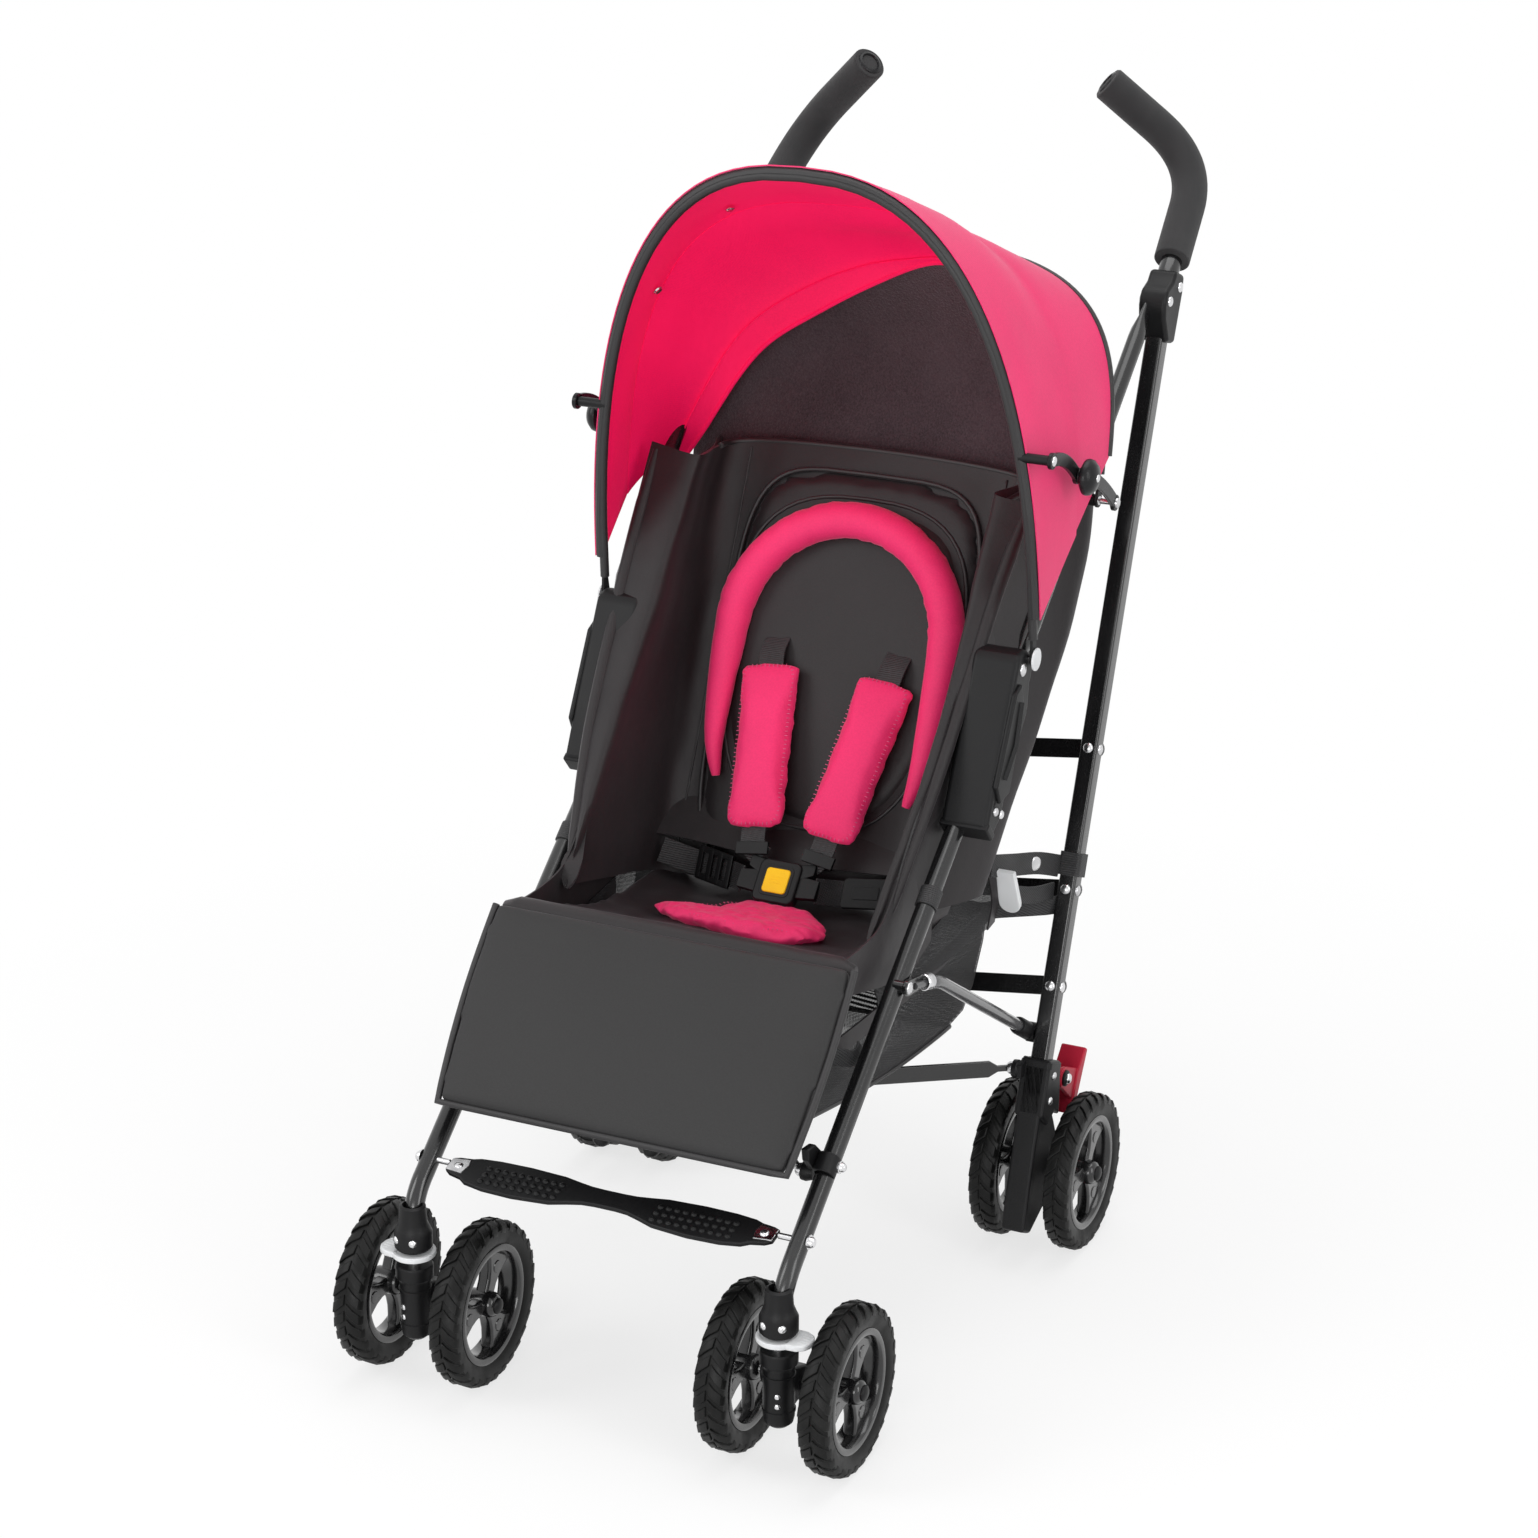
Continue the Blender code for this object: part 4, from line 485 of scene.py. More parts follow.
def piece(name, shapes, body, nodes=(), side=LEFT, angle=35):
    bm, finishes = joined(shapes, side)
    obj = object_from(name, bm, finishes)
    obj.data.shade_smooth()
    obj.data.set_sharp_from_angle(angle=radians(angle))
    weighted = obj.modifiers.new("even_shading", "WEIGHTED_NORMAL")
    weighted.keep_sharp = True
    settle(obj)
    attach(obj, body)
    if nodes:
        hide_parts(*nodes)
    return obj


# %% [markdown]
# ## Copies on rings, grids and lines
#
# Tread, bumps and stitches repeat, so three small Geometry Nodes trees make them: copies on a circle, on
# a grid, and along a line. Each has named inputs. The result is turned into a plain mesh at once.


# %% Geometry Nodes for what repeats
def new_tree(name, inputs):
    tree = bpy.data.node_groups.new(name, "GeometryNodeTree")
    tree.interface.new_socket("Geometry", in_out="INPUT", socket_type="NodeSocketGeometry")
    for label, kind, value in inputs:
        socket = tree.interface.new_socket(label, in_out="INPUT", socket_type=kind)
        if value is not None:
            socket.default_value = value
    tree.interface.new_socket("Geometry", in_out="OUTPUT", socket_type="NodeSocketGeometry")
    return tree, tree.nodes.new("NodeGroupInput"), tree.nodes.new("NodeGroupOutput")


def copies_on(tree, start, end, points, rotation):
    """The shared tail of each tree: a copy on each point, made real and given its finish."""
    info = added(tree, "GeometryNodeObjectInfo")
    spread = added(tree, "GeometryNodeInstanceOnPoints")
    real = added(tree, "GeometryNodeRealizeInstances")
    finish = added(tree, "GeometryNodeSetMaterial")
    wired(tree, (start.outputs["Copy"], info.inputs["Object"]), (points, spread.inputs["Points"]),
          (info.outputs["Geometry"], spread.inputs["Instance"]), (spread.outputs[0], real.inputs[0]),
          (real.outputs[0], finish.inputs["Geometry"]), (start.outputs["Finish"], finish.inputs["Material"]),
          (finish.outputs[0], end.inputs[0]))
    if rotation is not None:
        wired(tree, (rotation, spread.inputs["Rotation"]))
    return tree


SHARED = [("Copy", "NodeSocketObject", None), ("Finish", "NodeSocketMaterial", None)]


def ring_tree():
    tree, start, end = new_tree("copies_on_a_ring", [("Count", "NodeSocketInt", 30),
                                                     ("Radius", "NodeSocketFloat", 0.05), *SHARED])
    ring = added(tree, "GeometryNodeMeshCircle")
    index = added(tree, "GeometryNodeInputIndex")
    share = added(tree, "ShaderNodeMath", operation="DIVIDE")
    angle = added(tree, "ShaderNodeMath", operation="MULTIPLY")
    angle.inputs[1].default_value = 2 * pi
    turn_to = added(tree, "ShaderNodeCombineXYZ")
    wired(tree, (start.outputs["Count"], ring.inputs["Vertices"]),
          (start.outputs["Radius"], ring.inputs["Radius"]), (index.outputs[0], share.inputs[0]),
          (start.outputs["Count"], share.inputs[1]), (share.outputs[0], angle.inputs[0]),
          (angle.outputs[0], turn_to.inputs["Z"]))
    return copies_on(tree, start, end, ring.outputs["Mesh"], turn_to.outputs[0])


def grid_tree():
    tree, start, end = new_tree("copies_on_a_grid", [
        ("Columns", "NodeSocketInt", 8), ("Rows", "NodeSocketInt", 3),
        ("Width", "NodeSocketFloat", 0.08), ("Depth", "NodeSocketFloat", 0.02), *SHARED])
    grid = added(tree, "GeometryNodeMeshGrid")
    wired(tree, *((start.outputs[label], grid.inputs[socket]) for label, socket in (
        ("Width", "Size X"), ("Depth", "Size Y"), ("Columns", "Vertices X"), ("Rows", "Vertices Y"))))
    return copies_on(tree, start, end, grid.outputs["Mesh"], None)


def line_tree():
    """Copies along the input's edges: X follows the line and Z the input's own normals."""
    tree, start, end = new_tree("copies_along_a_line", [("Spacing", "NodeSocketFloat", 0.006), *SHARED])
    curve = added(tree, "GeometryNodeMeshToCurve")
    even = added(tree, "GeometryNodeResampleCurve", mode="LENGTH")
    tangent = added(tree, "GeometryNodeInputTangent")
    up = added(tree, "GeometryNodeInputNamedAttribute", data_type="FLOAT_VECTOR")
    up.inputs["Name"].default_value = "up"
    ahead = added(tree, "FunctionNodeAlignRotationToVector", axis="X")
    upright = added(tree, "FunctionNodeAlignRotationToVector", axis="Z", pivot_axis="X")
    wired(tree, (start.outputs["Geometry"], curve.inputs[0]), (curve.outputs[0], even.inputs["Curve"]),
          (start.outputs["Spacing"], even.inputs["Length"]), (tangent.outputs[0], ahead.inputs["Vector"]),
          (ahead.outputs[0], upright.inputs["Rotation"]), (up.outputs["Attribute"], upright.inputs["Vector"]))
    return copies_on(tree, start, end, even.outputs[0], upright.outputs[0])


RING, GRID, LINE = ring_tree(), grid_tree(), line_tree()


def repeated(tree, copy_shape, finish, start_mesh=None, **sizes):
    """A mesh shape of what the tree makes of one copy."""
    copy = object_from("one_copy", copy_shape, [finish])
    carrier = in_scene("carrier", start_mesh or bpy.data.meshes.new("carrier"))
    step = carrier.modifiers.new("copies", "NODES")
    step.node_group = tree
    values = {"Copy": copy, "Finish": finish, **sizes}
    for item in tree.interface.items_tree:
        if item.in_out == "INPUT" and item.name in values:
            step[item.identifier] = values[item.name]
    settle(carrier)
    bm = bmesh.new()
    bm.from_mesh(carrier.data)
    for old in (carrier, copy):
        bpy.data.objects.remove(old)
    return bm


def row_of(points, ups, copy_shape, finish, spacing):
    """Copies along a line of points, each with the direction that faces out there."""
    mesh = bpy.data.meshes.new("line")
    mesh.from_pydata([tuple(p) for p in points], [(i, i + 1) for i in range(len(points) - 1)], [])
    up = mesh.attributes.new("up", "FLOAT_VECTOR", "POINT")
    for item, value in zip(up.data, ups):
        item.vector = value
    return repeated(LINE, copy_shape, finish, mesh, Spacing=spacing)


# %% [markdown]
# ## Wheels
#
# Eight small wheels stand in four pairs. The tyre is rubber with slanted blocks on both shoulders, the
# rim is gloss plastic with three rounded paddles. The tyre is turned from a profile, and the ring tree
# sets the tread blocks, so their number and slant are one value each.

# %% Tyre, tread and rim
WHEEL_RADIUS, RIM_RADIUS = 0.075, 0.054
TREAD_DEPTH, TREAD_BLOCKS = 0.0016, 30
FORK_X, UPRIGHT_X, WHEELBASE = 0.1775, 0.218, 0.473
FRONT_TWIN, REAR_TWIN, HUB_HALF = 0.0485, 0.0375, 0.0155


def tread_block(half_width, lean):
    """One raised block of the shoulder, slanted like the real tread."""
    low, high = -0.004, 0.0
    pitch = 2 * pi * WHEEL_RADIUS / TREAD_BLOCKS
    rings = []
    for share, drop in ((0.06, 0.0), (0.5, 0.0), (0.88, 0.0028), (1.0, 0.0062)):
        z = half_width * share
        slant = lean * pitch * 0.75 * share
        wide = pitch * (0.3 if share < 0.9 else 0.24)
        rings.append([Vector((r - drop, slant + s * wide, z))
                      for r, s in ((low, -1.15), (high, -1), (high, 1), (low, 1.15))])
    return soften(loft(rings), 0.0006, 1, 50)


def wheel_shapes(centre, width):
    half = width / 2
    base = WHEEL_RADIUS - TREAD_DEPTH
    side = [(RIM_RADIUS - 0.0005, half * 0.7), (0.0575, half * 0.86), (0.061, half * 0.93),
            (0.0655, half * 0.97), (0.0695, half * 0.96), (base - 0.0015, half * 0.78), (base, half * 0.45)]
    profile = side + [(base, 0)] + [(r, -x) for r, x in reversed(side)]
    profile += [(RIM_RADIUS - 0.003, -half * 0.5), (RIM_RADIUS - 0.003, half * 0.5)]
    shapes = [(turned(profile, centre, X_DIR, 72, ring=True), RUBBER)]
    lie = Matrix.Translation(centre) @ Matrix.Rotation(pi / 2, 4, "Y")
    for s in (1, -1):
        blocks = repeated(RING, tread_block(half * 0.99 * s, 1), RUBBER, Count=TREAD_BLOCKS,
                          Radius=WHEEL_RADIUS)
        blocks.transform(lie @ Matrix.Rotation(pi / TREAD_BLOCKS * (s > 0), 4, "Z"))
        shapes.append((blocks, RUBBER))
    barrel = [(RIM_RADIUS + 0.0012, half * 0.66), (RIM_RADIUS + 0.001, half * 0.8),
              (RIM_RADIUS - 0.0015, half * 0.86), (RIM_RADIUS - 0.005, half * 0.8),
              (RIM_RADIUS - 0.0068, half * 0.62), (RIM_RADIUS - 0.0075, half * 0.2)]
    shapes.append((turned(mirrored(barrel), centre, X_DIR, 64, ring=True), RIM))
    hub = [(0, 0.015), (0.0045, 0.0155), (0.0078, 0.015), (0.01, 0.0135), (0.0115, 0.0105),
           (0.012, 0.004)]
    shapes.append((turned(mirrored(hub), centre, X_DIR, 32), RIM))
    for i in range(3):
        outline = [(-0.0075, 0.006), (0.0075, 0.006), (0.0078, 0.019), (0.0105, 0.028), (0.015, 0.036),
                   (0.0205, 0.0425), (0.025, 0.0475), (-0.025, 0.0475), (-0.0205, 0.0425),
                   (-0.015, 0.036), (-0.0105, 0.028), (-0.0078, 0.019)]
        paddle = plate(outline, -0.0062, 0.0062, 0.0032, 4)
        dimple = turned([(0, -0.0072), (0.0052, -0.007), (0.006, -0.0062), (0.006, 0.0062),
                         (0.0052, 0.007), (0, 0.0072)], (0, 0, 0.0335), X_DIR, 20)
        for bm in (paddle, dimple):
            bm.transform(Matrix.Translation(centre) @ Matrix.Rotation(radians(90 + 120 * i), 4, "X"))
            shapes.append((bm, RIM))
    return shapes


for side, word in SIDES:
    for end, x, y, twin, width in (("front", FORK_X, 0, FRONT_TWIN, 0.029),
                                   ("rear", UPRIGHT_X, WHEELBASE, REAR_TWIN, 0.025)):
        for place, offset in (("outer", twin), ("inner", -twin)):
            node = f"{end}_wheel_{place}_{word}"
            piece("wheel_" + node, wheel_shapes((x + offset, y, WHEEL_RADIUS), width), node,
                  [node], side)
print("wheels made")

# %% [markdown]
# ## Front legs
#
# Each front leg is a round steel tube that ends in a swivel collar. The fork below it turns freely until
# the pale ring is pushed down. The leg also carries the brackets of the leg rest and the footrest.

# %% Forks and swivel locks
LEG_X, LEG_Y, LEG_RADIUS = 0.18, -0.033, 0.0088
AXLE = 0.004


def front_fork(side, word):
    x, y = FORK_X, LEG_Y
    housing = turned([(0, 0.046), (0.0085, 0.047), (0.0125, 0.0505), (0.0138, 0.056), (0.0138, 0.101),
                      (0.0142, 0.104), (0.0168, 0.107), (0.017, 0.117), (0.0158, 0.119), (0, 0.119)],
                     (x, y, 0), Z_DIR)
    ribs = [turned([(0.0138, z - 0.0015), (0.0147, z - 0.001), (0.0147, z + 0.001), (0.0138, z + 0.0015)],
                   (x, y, 0), Z_DIR, ring=True) for z in (0.062, 0.095)]
    arm = plate([(y, 0.056), (0.002, 0.0625), *arc((0, WHEEL_RADIUS), 0.013, -60, 80, 8), (y, 0.101)],
                x - 0.0085, x + 0.0085, 0.0022, 3)
    boss = turned([(0, -0.029), (0.0098, -0.029), (0.0108, -0.028), (0.0108, 0.028), (0.0098, 0.029),
                   (0, 0.029)], (x, 0, WHEEL_RADIUS), X_DIR)
    reach = FRONT_TWIN + HUB_HALF + 0.0006
    axle = rod((x - reach, 0, WHEEL_RADIUS), (x + reach, 0, WHEEL_RADIUS), AXLE)
    caps = [dome((x + s * (reach - 0.0002), 0, WHEEL_RADIUS), X_DIR * s, 0.0072, 0.0034) for s in (1, -1)]
    stem = rod((x, y, 0.112), (x, y, 0.15), 0.006)
    screws = [dome((x + 0.0138 * sin(a), y - 0.0138 * cos(a), z), (sin(a), -cos(a), 0), 0.0026, 0.0016)
              for a, z in ((radians(20), 0.08), (radians(20), 0.0705))]
    shapes = all_in(PLASTIC, housing, *ribs, arm, boss)
    shapes += all_in(STEEL, axle, stem, *screws) + all_in(PLASTIC, *caps)
    piece("fork_housing_" + word, shapes, "fork_" + word, ["front_fork_" + word], side)


def swivel_ring(side, word):
    x, y, low, high = FORK_X, LEG_Y, 0.1275, 0.1325
    ring = turned([(0.0165, low), (0.019, low), (0.0197, low + 0.001), (0.0197, high - 0.001),
                   (0.019, high), (0.0165, high)], (x, y, 0), Z_DIR, ring=True)
    inner = turned([(0.0068, low + 0.0006), (0.0175, low + 0.0006), (0.0175, high - 0.0006),
                    (0.0068, high - 0.0006)], (x, y, 0), Z_DIR, ring=True)
    outline = [(0.012, -0.015), (0.022, -0.0145), (0.0285, -0.0105), (0.0315, -0.004), (0.0315, 0.004),
               (0.0285, 0.0105), (0.022, 0.0145), (0.012, 0.015)]
    tab = slab([(x + a, y + b) for a, b in outline], low - 0.0002, high + 0.0006, 0.0018, 3)
    grips = [rod((x + 0.0285, y - 0.008 + 0.004 * i, high), (x + 0.0205, y - 0.008 + 0.004 * i, high),
                 0.0009, 8, 0.0002) for i in range(5)]
    piece("lock_ring_" + word, all_in(GREY, ring, inner, tab, *grips), "swivel_lock_" + word,
          ["swivel_lock_" + word], side)


def both_sides(*makers):
    for side, word in SIDES:
        for maker in makers:
            maker(side, word)


both_sides(front_fork, swivel_ring)

# %% Front tubes with their collars and brackets
TUBE_SHOULDER = (0.34, 0.473)
LEG_LUG, FOOTREST_PIN = (0.06, 0.2495), (0.004, 0.204)
RAIL_FRONT, BRACE_FRONT = (0.195, 0.3625), Vector((0.1545, 0.06, 0.2395))


def leg_path():
    shoulder = Vector((LEG_X, *TUBE_SHOULDER))
    top = shoulder + Vector((0, cos(radians(60)), sin(radians(60)))) * 0.075
    return bend_path([(LEG_X - 0.0025, LEG_Y, 0.15), (LEG_X, -0.027, 0.178), shoulder, top], 0.022)


def front_leg(side, word):
    x, y = FORK_X, LEG_Y
    path = leg_path()
    inner_path = [p for p in path if p.z < 0.523]
    collar = turned([(0.007, 0.1345), (0.015, 0.1345), (0.017, 0.137), (0.017, 0.15),
                     (0.015, 0.1545), (0.0128, 0.16), (0.0118, 0.175), (0.009, 0.1765)], (x, y, 0), Z_DIR,
                    ring=True)
    screws = [dome((x + 0.0158 * sin(a), y - 0.0158 * cos(a), 0.1455), (sin(a), -cos(a), 0), 0.0038, 0.003)
              for a in (radians(-28), radians(35))]
    lug_y, lug_z = LEG_LUG
    lug = plate([(lug_y + a, lug_z + b) for a, b in (
        (0.004, -0.0125), (0.0135, 0.002), (-0.006, 0.02), (-0.022, 0.022), (-0.02, 0.01),
        (-0.008, -0.004))], LEG_X - 0.016, LEG_X - 0.009, 0.0016, 3)
    clip = turned([(0.0098, -0.009), (0.0104, -0.008), (0.0104, 0.008), (0.0098, 0.009), (0.008, 0.009),
                   (0.008, -0.009)], (LEG_X, lug_y - 0.004, lug_z + 0.001), (0, 0.78, 0.63), ring=True)
    pin = rod((LEG_X - 0.0115, lug_y, lug_z), (LEG_X + 0.01, lug_y, lug_z), 0.0032)
    acorn = turned([(0, 0), (0.0058, 0), (0.0058, 0.003), (0.0046, 0.0034), (0.0044, 0.0052), (0.003, 0.0072),
                    (0, 0.0078)], (LEG_X + 0.0085, lug_y, lug_z), X_DIR, 24)
    boss = rod((LEG_X, *RAIL_FRONT), (0.1905, *RAIL_FRONT), 0.0055)
    foot_pin = rod((LEG_X - 0.0205, *FOOTREST_PIN), (LEG_X + 0.0095, *FOOTREST_PIN), 0.0028)
    nut = turned([(0, 0), (0.005, 0), (0.005, 0.0032), (0.0036, 0.0052), (0, 0.006)],
                 (LEG_X + 0.008, *FOOTREST_PIN), X_DIR, 20)
    washer = turned([(0.0036, 0), (0.0066, 0), (0.0066, 0.001), (0.0036, 0.001)],
                    (LEG_X + 0.0078, *FOOTREST_PIN), X_DIR, 24, ring=True)
    cup = turned([(0.0062, 0.0018), (0.0084, 0.0018), (0.0088, 0.0062), (0.0065, 0.0128), (0, 0.014)],
                 BRACE_FRONT, X_DIR, 24)
    shapes = [(tube(inner_path, LEG_RADIUS), PAINT), (collar, PLASTIC), (lug, PLASTIC), (clip, PLASTIC),
              (boss, PAINT), (cup, PLASTIC)]
    shapes += all_in(STEEL, *screws, pin, acorn, foot_pin, nut, washer)
    piece("front_leg_" + word, shapes, "leg_" + word, ["front_tube_" + word], side)


both_sides(front_leg)
print("front legs made")

# %% [markdown]
# ## Elbows, uprights and handles
#
# The front leg ends in a long moulded housing. Inside it the upper tube turns on a pin, so that the
# buggy folds like an umbrella. The square uprights carry the crossbars and end in a clamp from which the
# handle rises. Its grip is a sleeve of foam over a bent tube.

# %% Elbow housings
ELBOW, HOOD_PIVOT = (0.403, 0.59), (0.415, 0.6)


def elbow(side, word):
    (y, z), (low_y, low_z) = ELBOW, TUBE_SHOULDER
    outline = [(low_y - 0.02, low_z - 0.004), (low_y - 0.007, low_z - 0.019),
               (low_y + 0.016, low_z - 0.006), (low_y + 0.03, low_z + 0.022),
               (y + 0.012, z - 0.04), *arc((y, z), 0.021, -42, 130, 12),
               (y - 0.03, z - 0.016), (low_y + 0.004, low_z + 0.046)]
    body = plate(outline, 0.1675, 0.2125, 0.0052, 4)
    steps = [plate([(low_y - 0.021 + a, low_z - 0.0045 + b), (low_y - 0.0075 + a, low_z - 0.02 + b),
                    (low_y + 0.0 + a, low_z - 0.0155 + b), (low_y - 0.0135 + a, low_z + 0.0005 + b)],
                   0.1665, 0.2135, 0.0022, 3) for a, b in ((0, 0), (0.0155, 0.0175))]
    fin = plate([(low_y - 0.004, low_z + 0.03), (low_y + 0.004, low_z + 0.012), (low_y + 0.026, low_z + 0.016),
                 (y - 0.006, z - 0.03), (y - 0.012, z - 0.006), (y - 0.026, z - 0.012)],
                0.2105, 0.216, 0.002, 3)
    ridge = tube([(0.216, low_y + 0.01, low_z + 0.034), (0.2166, (low_y + y) / 2 + 0.002, (low_z + z) / 2),
                  (0.216, y - 0.016, z - 0.022)], [(-0.001, -0.003), (0.0012, 0), (-0.001, 0.003)])
    studs = [dome((0.2125, low_y + a, low_z + b), X_DIR, 0.0042, 0.003)
             for a, b in ((0.0, 0.006), (0.013, -0.001))]
    pin = [dome((0.1675 + 0.0002, y, z), -X_DIR, 0.0052, 0.003),
           dome((0.2125, y - 0.004, z + 0.004), X_DIR, 0.0062, 0.0024)]
    hood_pin = rod((0.2105, *HOOD_PIVOT), (0.2178, *HOOD_PIVOT), 0.003)
    disc = turned([(0, 0), (0.0102, 0), (0.0105, 0.0006), (0.0103, 0.0016), (0.0086, 0.0021), (0.0062, 0.0016),
                   (0, 0.0018)], (0.2178, *HOOD_PIVOT), X_DIR, 36)
    shapes = all_in(PLASTIC, body, *steps, fin, ridge)
    shapes += all_in(STEEL, *studs, *pin, hood_pin) + [(disc, GREY)]
    piece("elbow_" + word, shapes, "leg_" + word, ["elbow_housing_" + word], side)


both_sides(elbow)

# %% Uprights, upper tubes and top joints
LEAN = radians(21.2)
UP, FORE = Vector((0, sin(LEAN), cos(LEAN))), Vector((0, -cos(LEAN), sin(LEAN)))
UPRIGHT_TOP = 0.727
CROSSBAR_HEIGHTS = {"low": 0.087, "middle": 0.179, "top": 0.313}
RAIL_X, RAIL_REAR = 0.2005, (0.4657, 0.212)
REAR_BOW_FOOT = (0.549, 0.7125)


def on_upright(distance, ahead=0.0, x=UPRIGHT_X):
    return Vector((x, 0.451, 0.174)) + UP * distance + FORE * ahead


CORNERS = ((1, 1, 0), (-1, 1, 90), (-1, -1, 180), (1, -1, 270))


def rounded(width, height, corner, steps=3):
    """A rectangle with round corners, as an outline or a section for a tube."""
    points = []
    for sx, sy, start in CORNERS:
        points += arc((sx * (width / 2 - corner), sy * (height / 2 - corner)), corner, start, start + 90, steps)
    return points


def upright(side, word):
    body = tube([on_upright(-0.02), on_upright(0.35), on_upright(UPRIGHT_TOP)], rounded(0.019, 0.017, 0.0028))
    heads = [dome(on_upright(h, 0.0093), FORE, 0.005, 0.003) for h in CROSSBAR_HEIGHTS.values()]
    heads += [dome(on_upright(h, 0, UPRIGHT_X + 0.0083), X_DIR, 0.005, 0.003)
              for h in CROSSBAR_HEIGHTS.values()]
    face = UPRIGHT_X - 0.0085
    rail_pin = rod((face + 0.002, *RAIL_REAR), (RAIL_X - 0.0094, *RAIL_REAR), 0.003)
    rail_head = dome((RAIL_X - 0.009, *RAIL_REAR), -X_DIR, 0.0058, 0.0018)
    shapes = [(body, PAINT)] + all_in(STEEL, *heads, rail_pin, rail_head)
    piece("upright_tube_" + word, shapes, "upright_" + word, ["upright_" + word], side)


def upper_tube(side, word):
    foot, top = Vector((0.2035, *ELBOW)), Vector((0.212, *on_upright(0.735, 0.0185).yz))
    along = (top - foot).normalized()
    stations = ((0.006, 0.4, 1.0), (0.02, 0.45, 1.0), (0.036, 0.95, 1.0), (0.045, 1.0, 1.0))
    span = (top - foot).length
    u, v = axes_along(along, X_DIR)
    rings = []
    for s, thin, wide in [*stations, *((span - a, b, c) for a, b, c in reversed(stations))]:
        rings.append([foot + along * s + v * (a * thin) + u * (b * wide) for b, a in circle(0.008, 24)])
    tube_body = loft(rings)
    start_x = foot.x + (top.x - foot.x) * (REAR_BOW_FOOT[0] - foot.y) / (top.y - foot.y)
    peg = rod((start_x, *REAR_BOW_FOOT), (0.242, *REAR_BOW_FOOT), 0.0028)
    cap = turned([(0, 0), (0.005, 0), (0.0048, 0.0014), (0.003, 0.0024), (0, 0.0026)], (0.2409, *REAR_BOW_FOOT),
                 X_DIR, 20)
    boss = rod((start_x, *REAR_BOW_FOOT), (0.2207, *REAR_BOW_FOOT), 0.0055)
    piece("arm_tube_" + word, [(tube_body, PAINT), (boss, PLASTIC), (peg, STEEL), (cap, STEEL)],
          "upper_tube_" + word, ["upper_tube_" + word], side)


def handle_paths():
    top = on_upright(UPRIGHT_TOP)
    knee, corner = on_upright(UPRIGHT_TOP + 0.03), top + Vector((-0.0118, 0.1267, 0.1161))
    grip_start = knee + (corner - knee).normalized() * 0.0235
    held = bend_path([grip_start, corner, top + Vector((-0.09, 0.0931, 0.1882))], 0.056, 16)
    return bend_path([on_upright(UPRIGHT_TOP + 0.006), knee, grip_start], 0.015, 6)[:-1], held


def top_joint(side, word):
    back = -0.0135
    corners = [(-0.027, back), (-0.029, 0.006), (-0.011, 0.024), (0.001, 0.0295), (0.01, 0.0298),
               (0.017, 0.0275), (0.027, 0.016), (0.038, 0.0115), (0.038, -0.0125), (0.021, back - 0.002)]
    body = plate([tuple(on_upright(UPRIGHT_TOP + h, a).yz) for h, a in corners],
                 UPRIGHT_X - 0.0135, UPRIGHT_X + 0.0135, 0.004, 4)
    lower, held = handle_paths()
    rivets = [dome((UPRIGHT_X + s * 0.0135, *on_upright(UPRIGHT_TOP + h, a).yz), X_DIR * s, 0.005, 0.0028)
              for s in (1, -1) for h, a in ((0.008, 0.0185), (0.025, -0.003))]
    shapes = [(body, PLASTIC), (tube([*lower, *held], 0.01), PAINT)] + all_in(STEEL, *rivets)
    piece("handle_clamp_" + word, shapes, "upright_" + word, ["top_joint_" + word], side)


def grip(side, word):
    path = handle_paths()[1]
    out = (path[-1] - path[-2]).normalized()
    first = (path[1] - path[0]).normalized()
    ends = [path[0], path[0] + first * 0.0015]
    sleeve_path = [*ends, *[p for p in path[1:-1] if (p - path[0]).length > 0.003], path[-1] + out * 0.0045,
                   path[-1] + out * 0.0065]
    sizes = [0.9] + [1.0] * (len(sleeve_path) - 2) + [0.9]
    sleeve = tube(sleeve_path, circle(0.017, 36), hint=X_DIR, scales=sizes)
    ring = turned([(0.0085, 0.0046), (0.0085, 0.0072), (0.0098, 0.0084), (0.0118, 0.0078), (0.0125, 0.0062),
                   (0.0125, 0.0046)], path[-1], out, 36, ring=True)
    cup = turned([(0, 0.005), (0.0086, 0.0056), (0.0086, 0.003), (0, 0.003)], path[-1], out, 28)
    piece("foam_grip_" + word, [(sleeve, FOAM), (ring, SATIN_PLASTIC), (cup, SATIN_PLASTIC)],
          "upright_" + word, ["handle_grip_" + word], side, 50)


both_sides(upright, upper_tube, top_joint, grip)
print("elbows, uprights and handles made")

# %% [markdown]
# ## Rear brackets, brake pedals and crossbars
#
# A moulded bracket takes the upright's foot and the rear axle. The red pedal behind it is pressed down
# by foot. Three pairs of flat bars join the uprights; each pair is lapped and riveted in the middle.

# %% Rear brackets and pedals
BRAKE_PIVOT, BRACE_REAR = (0.492, 0.158), Vector((0.1965, 0.436, 0.186))


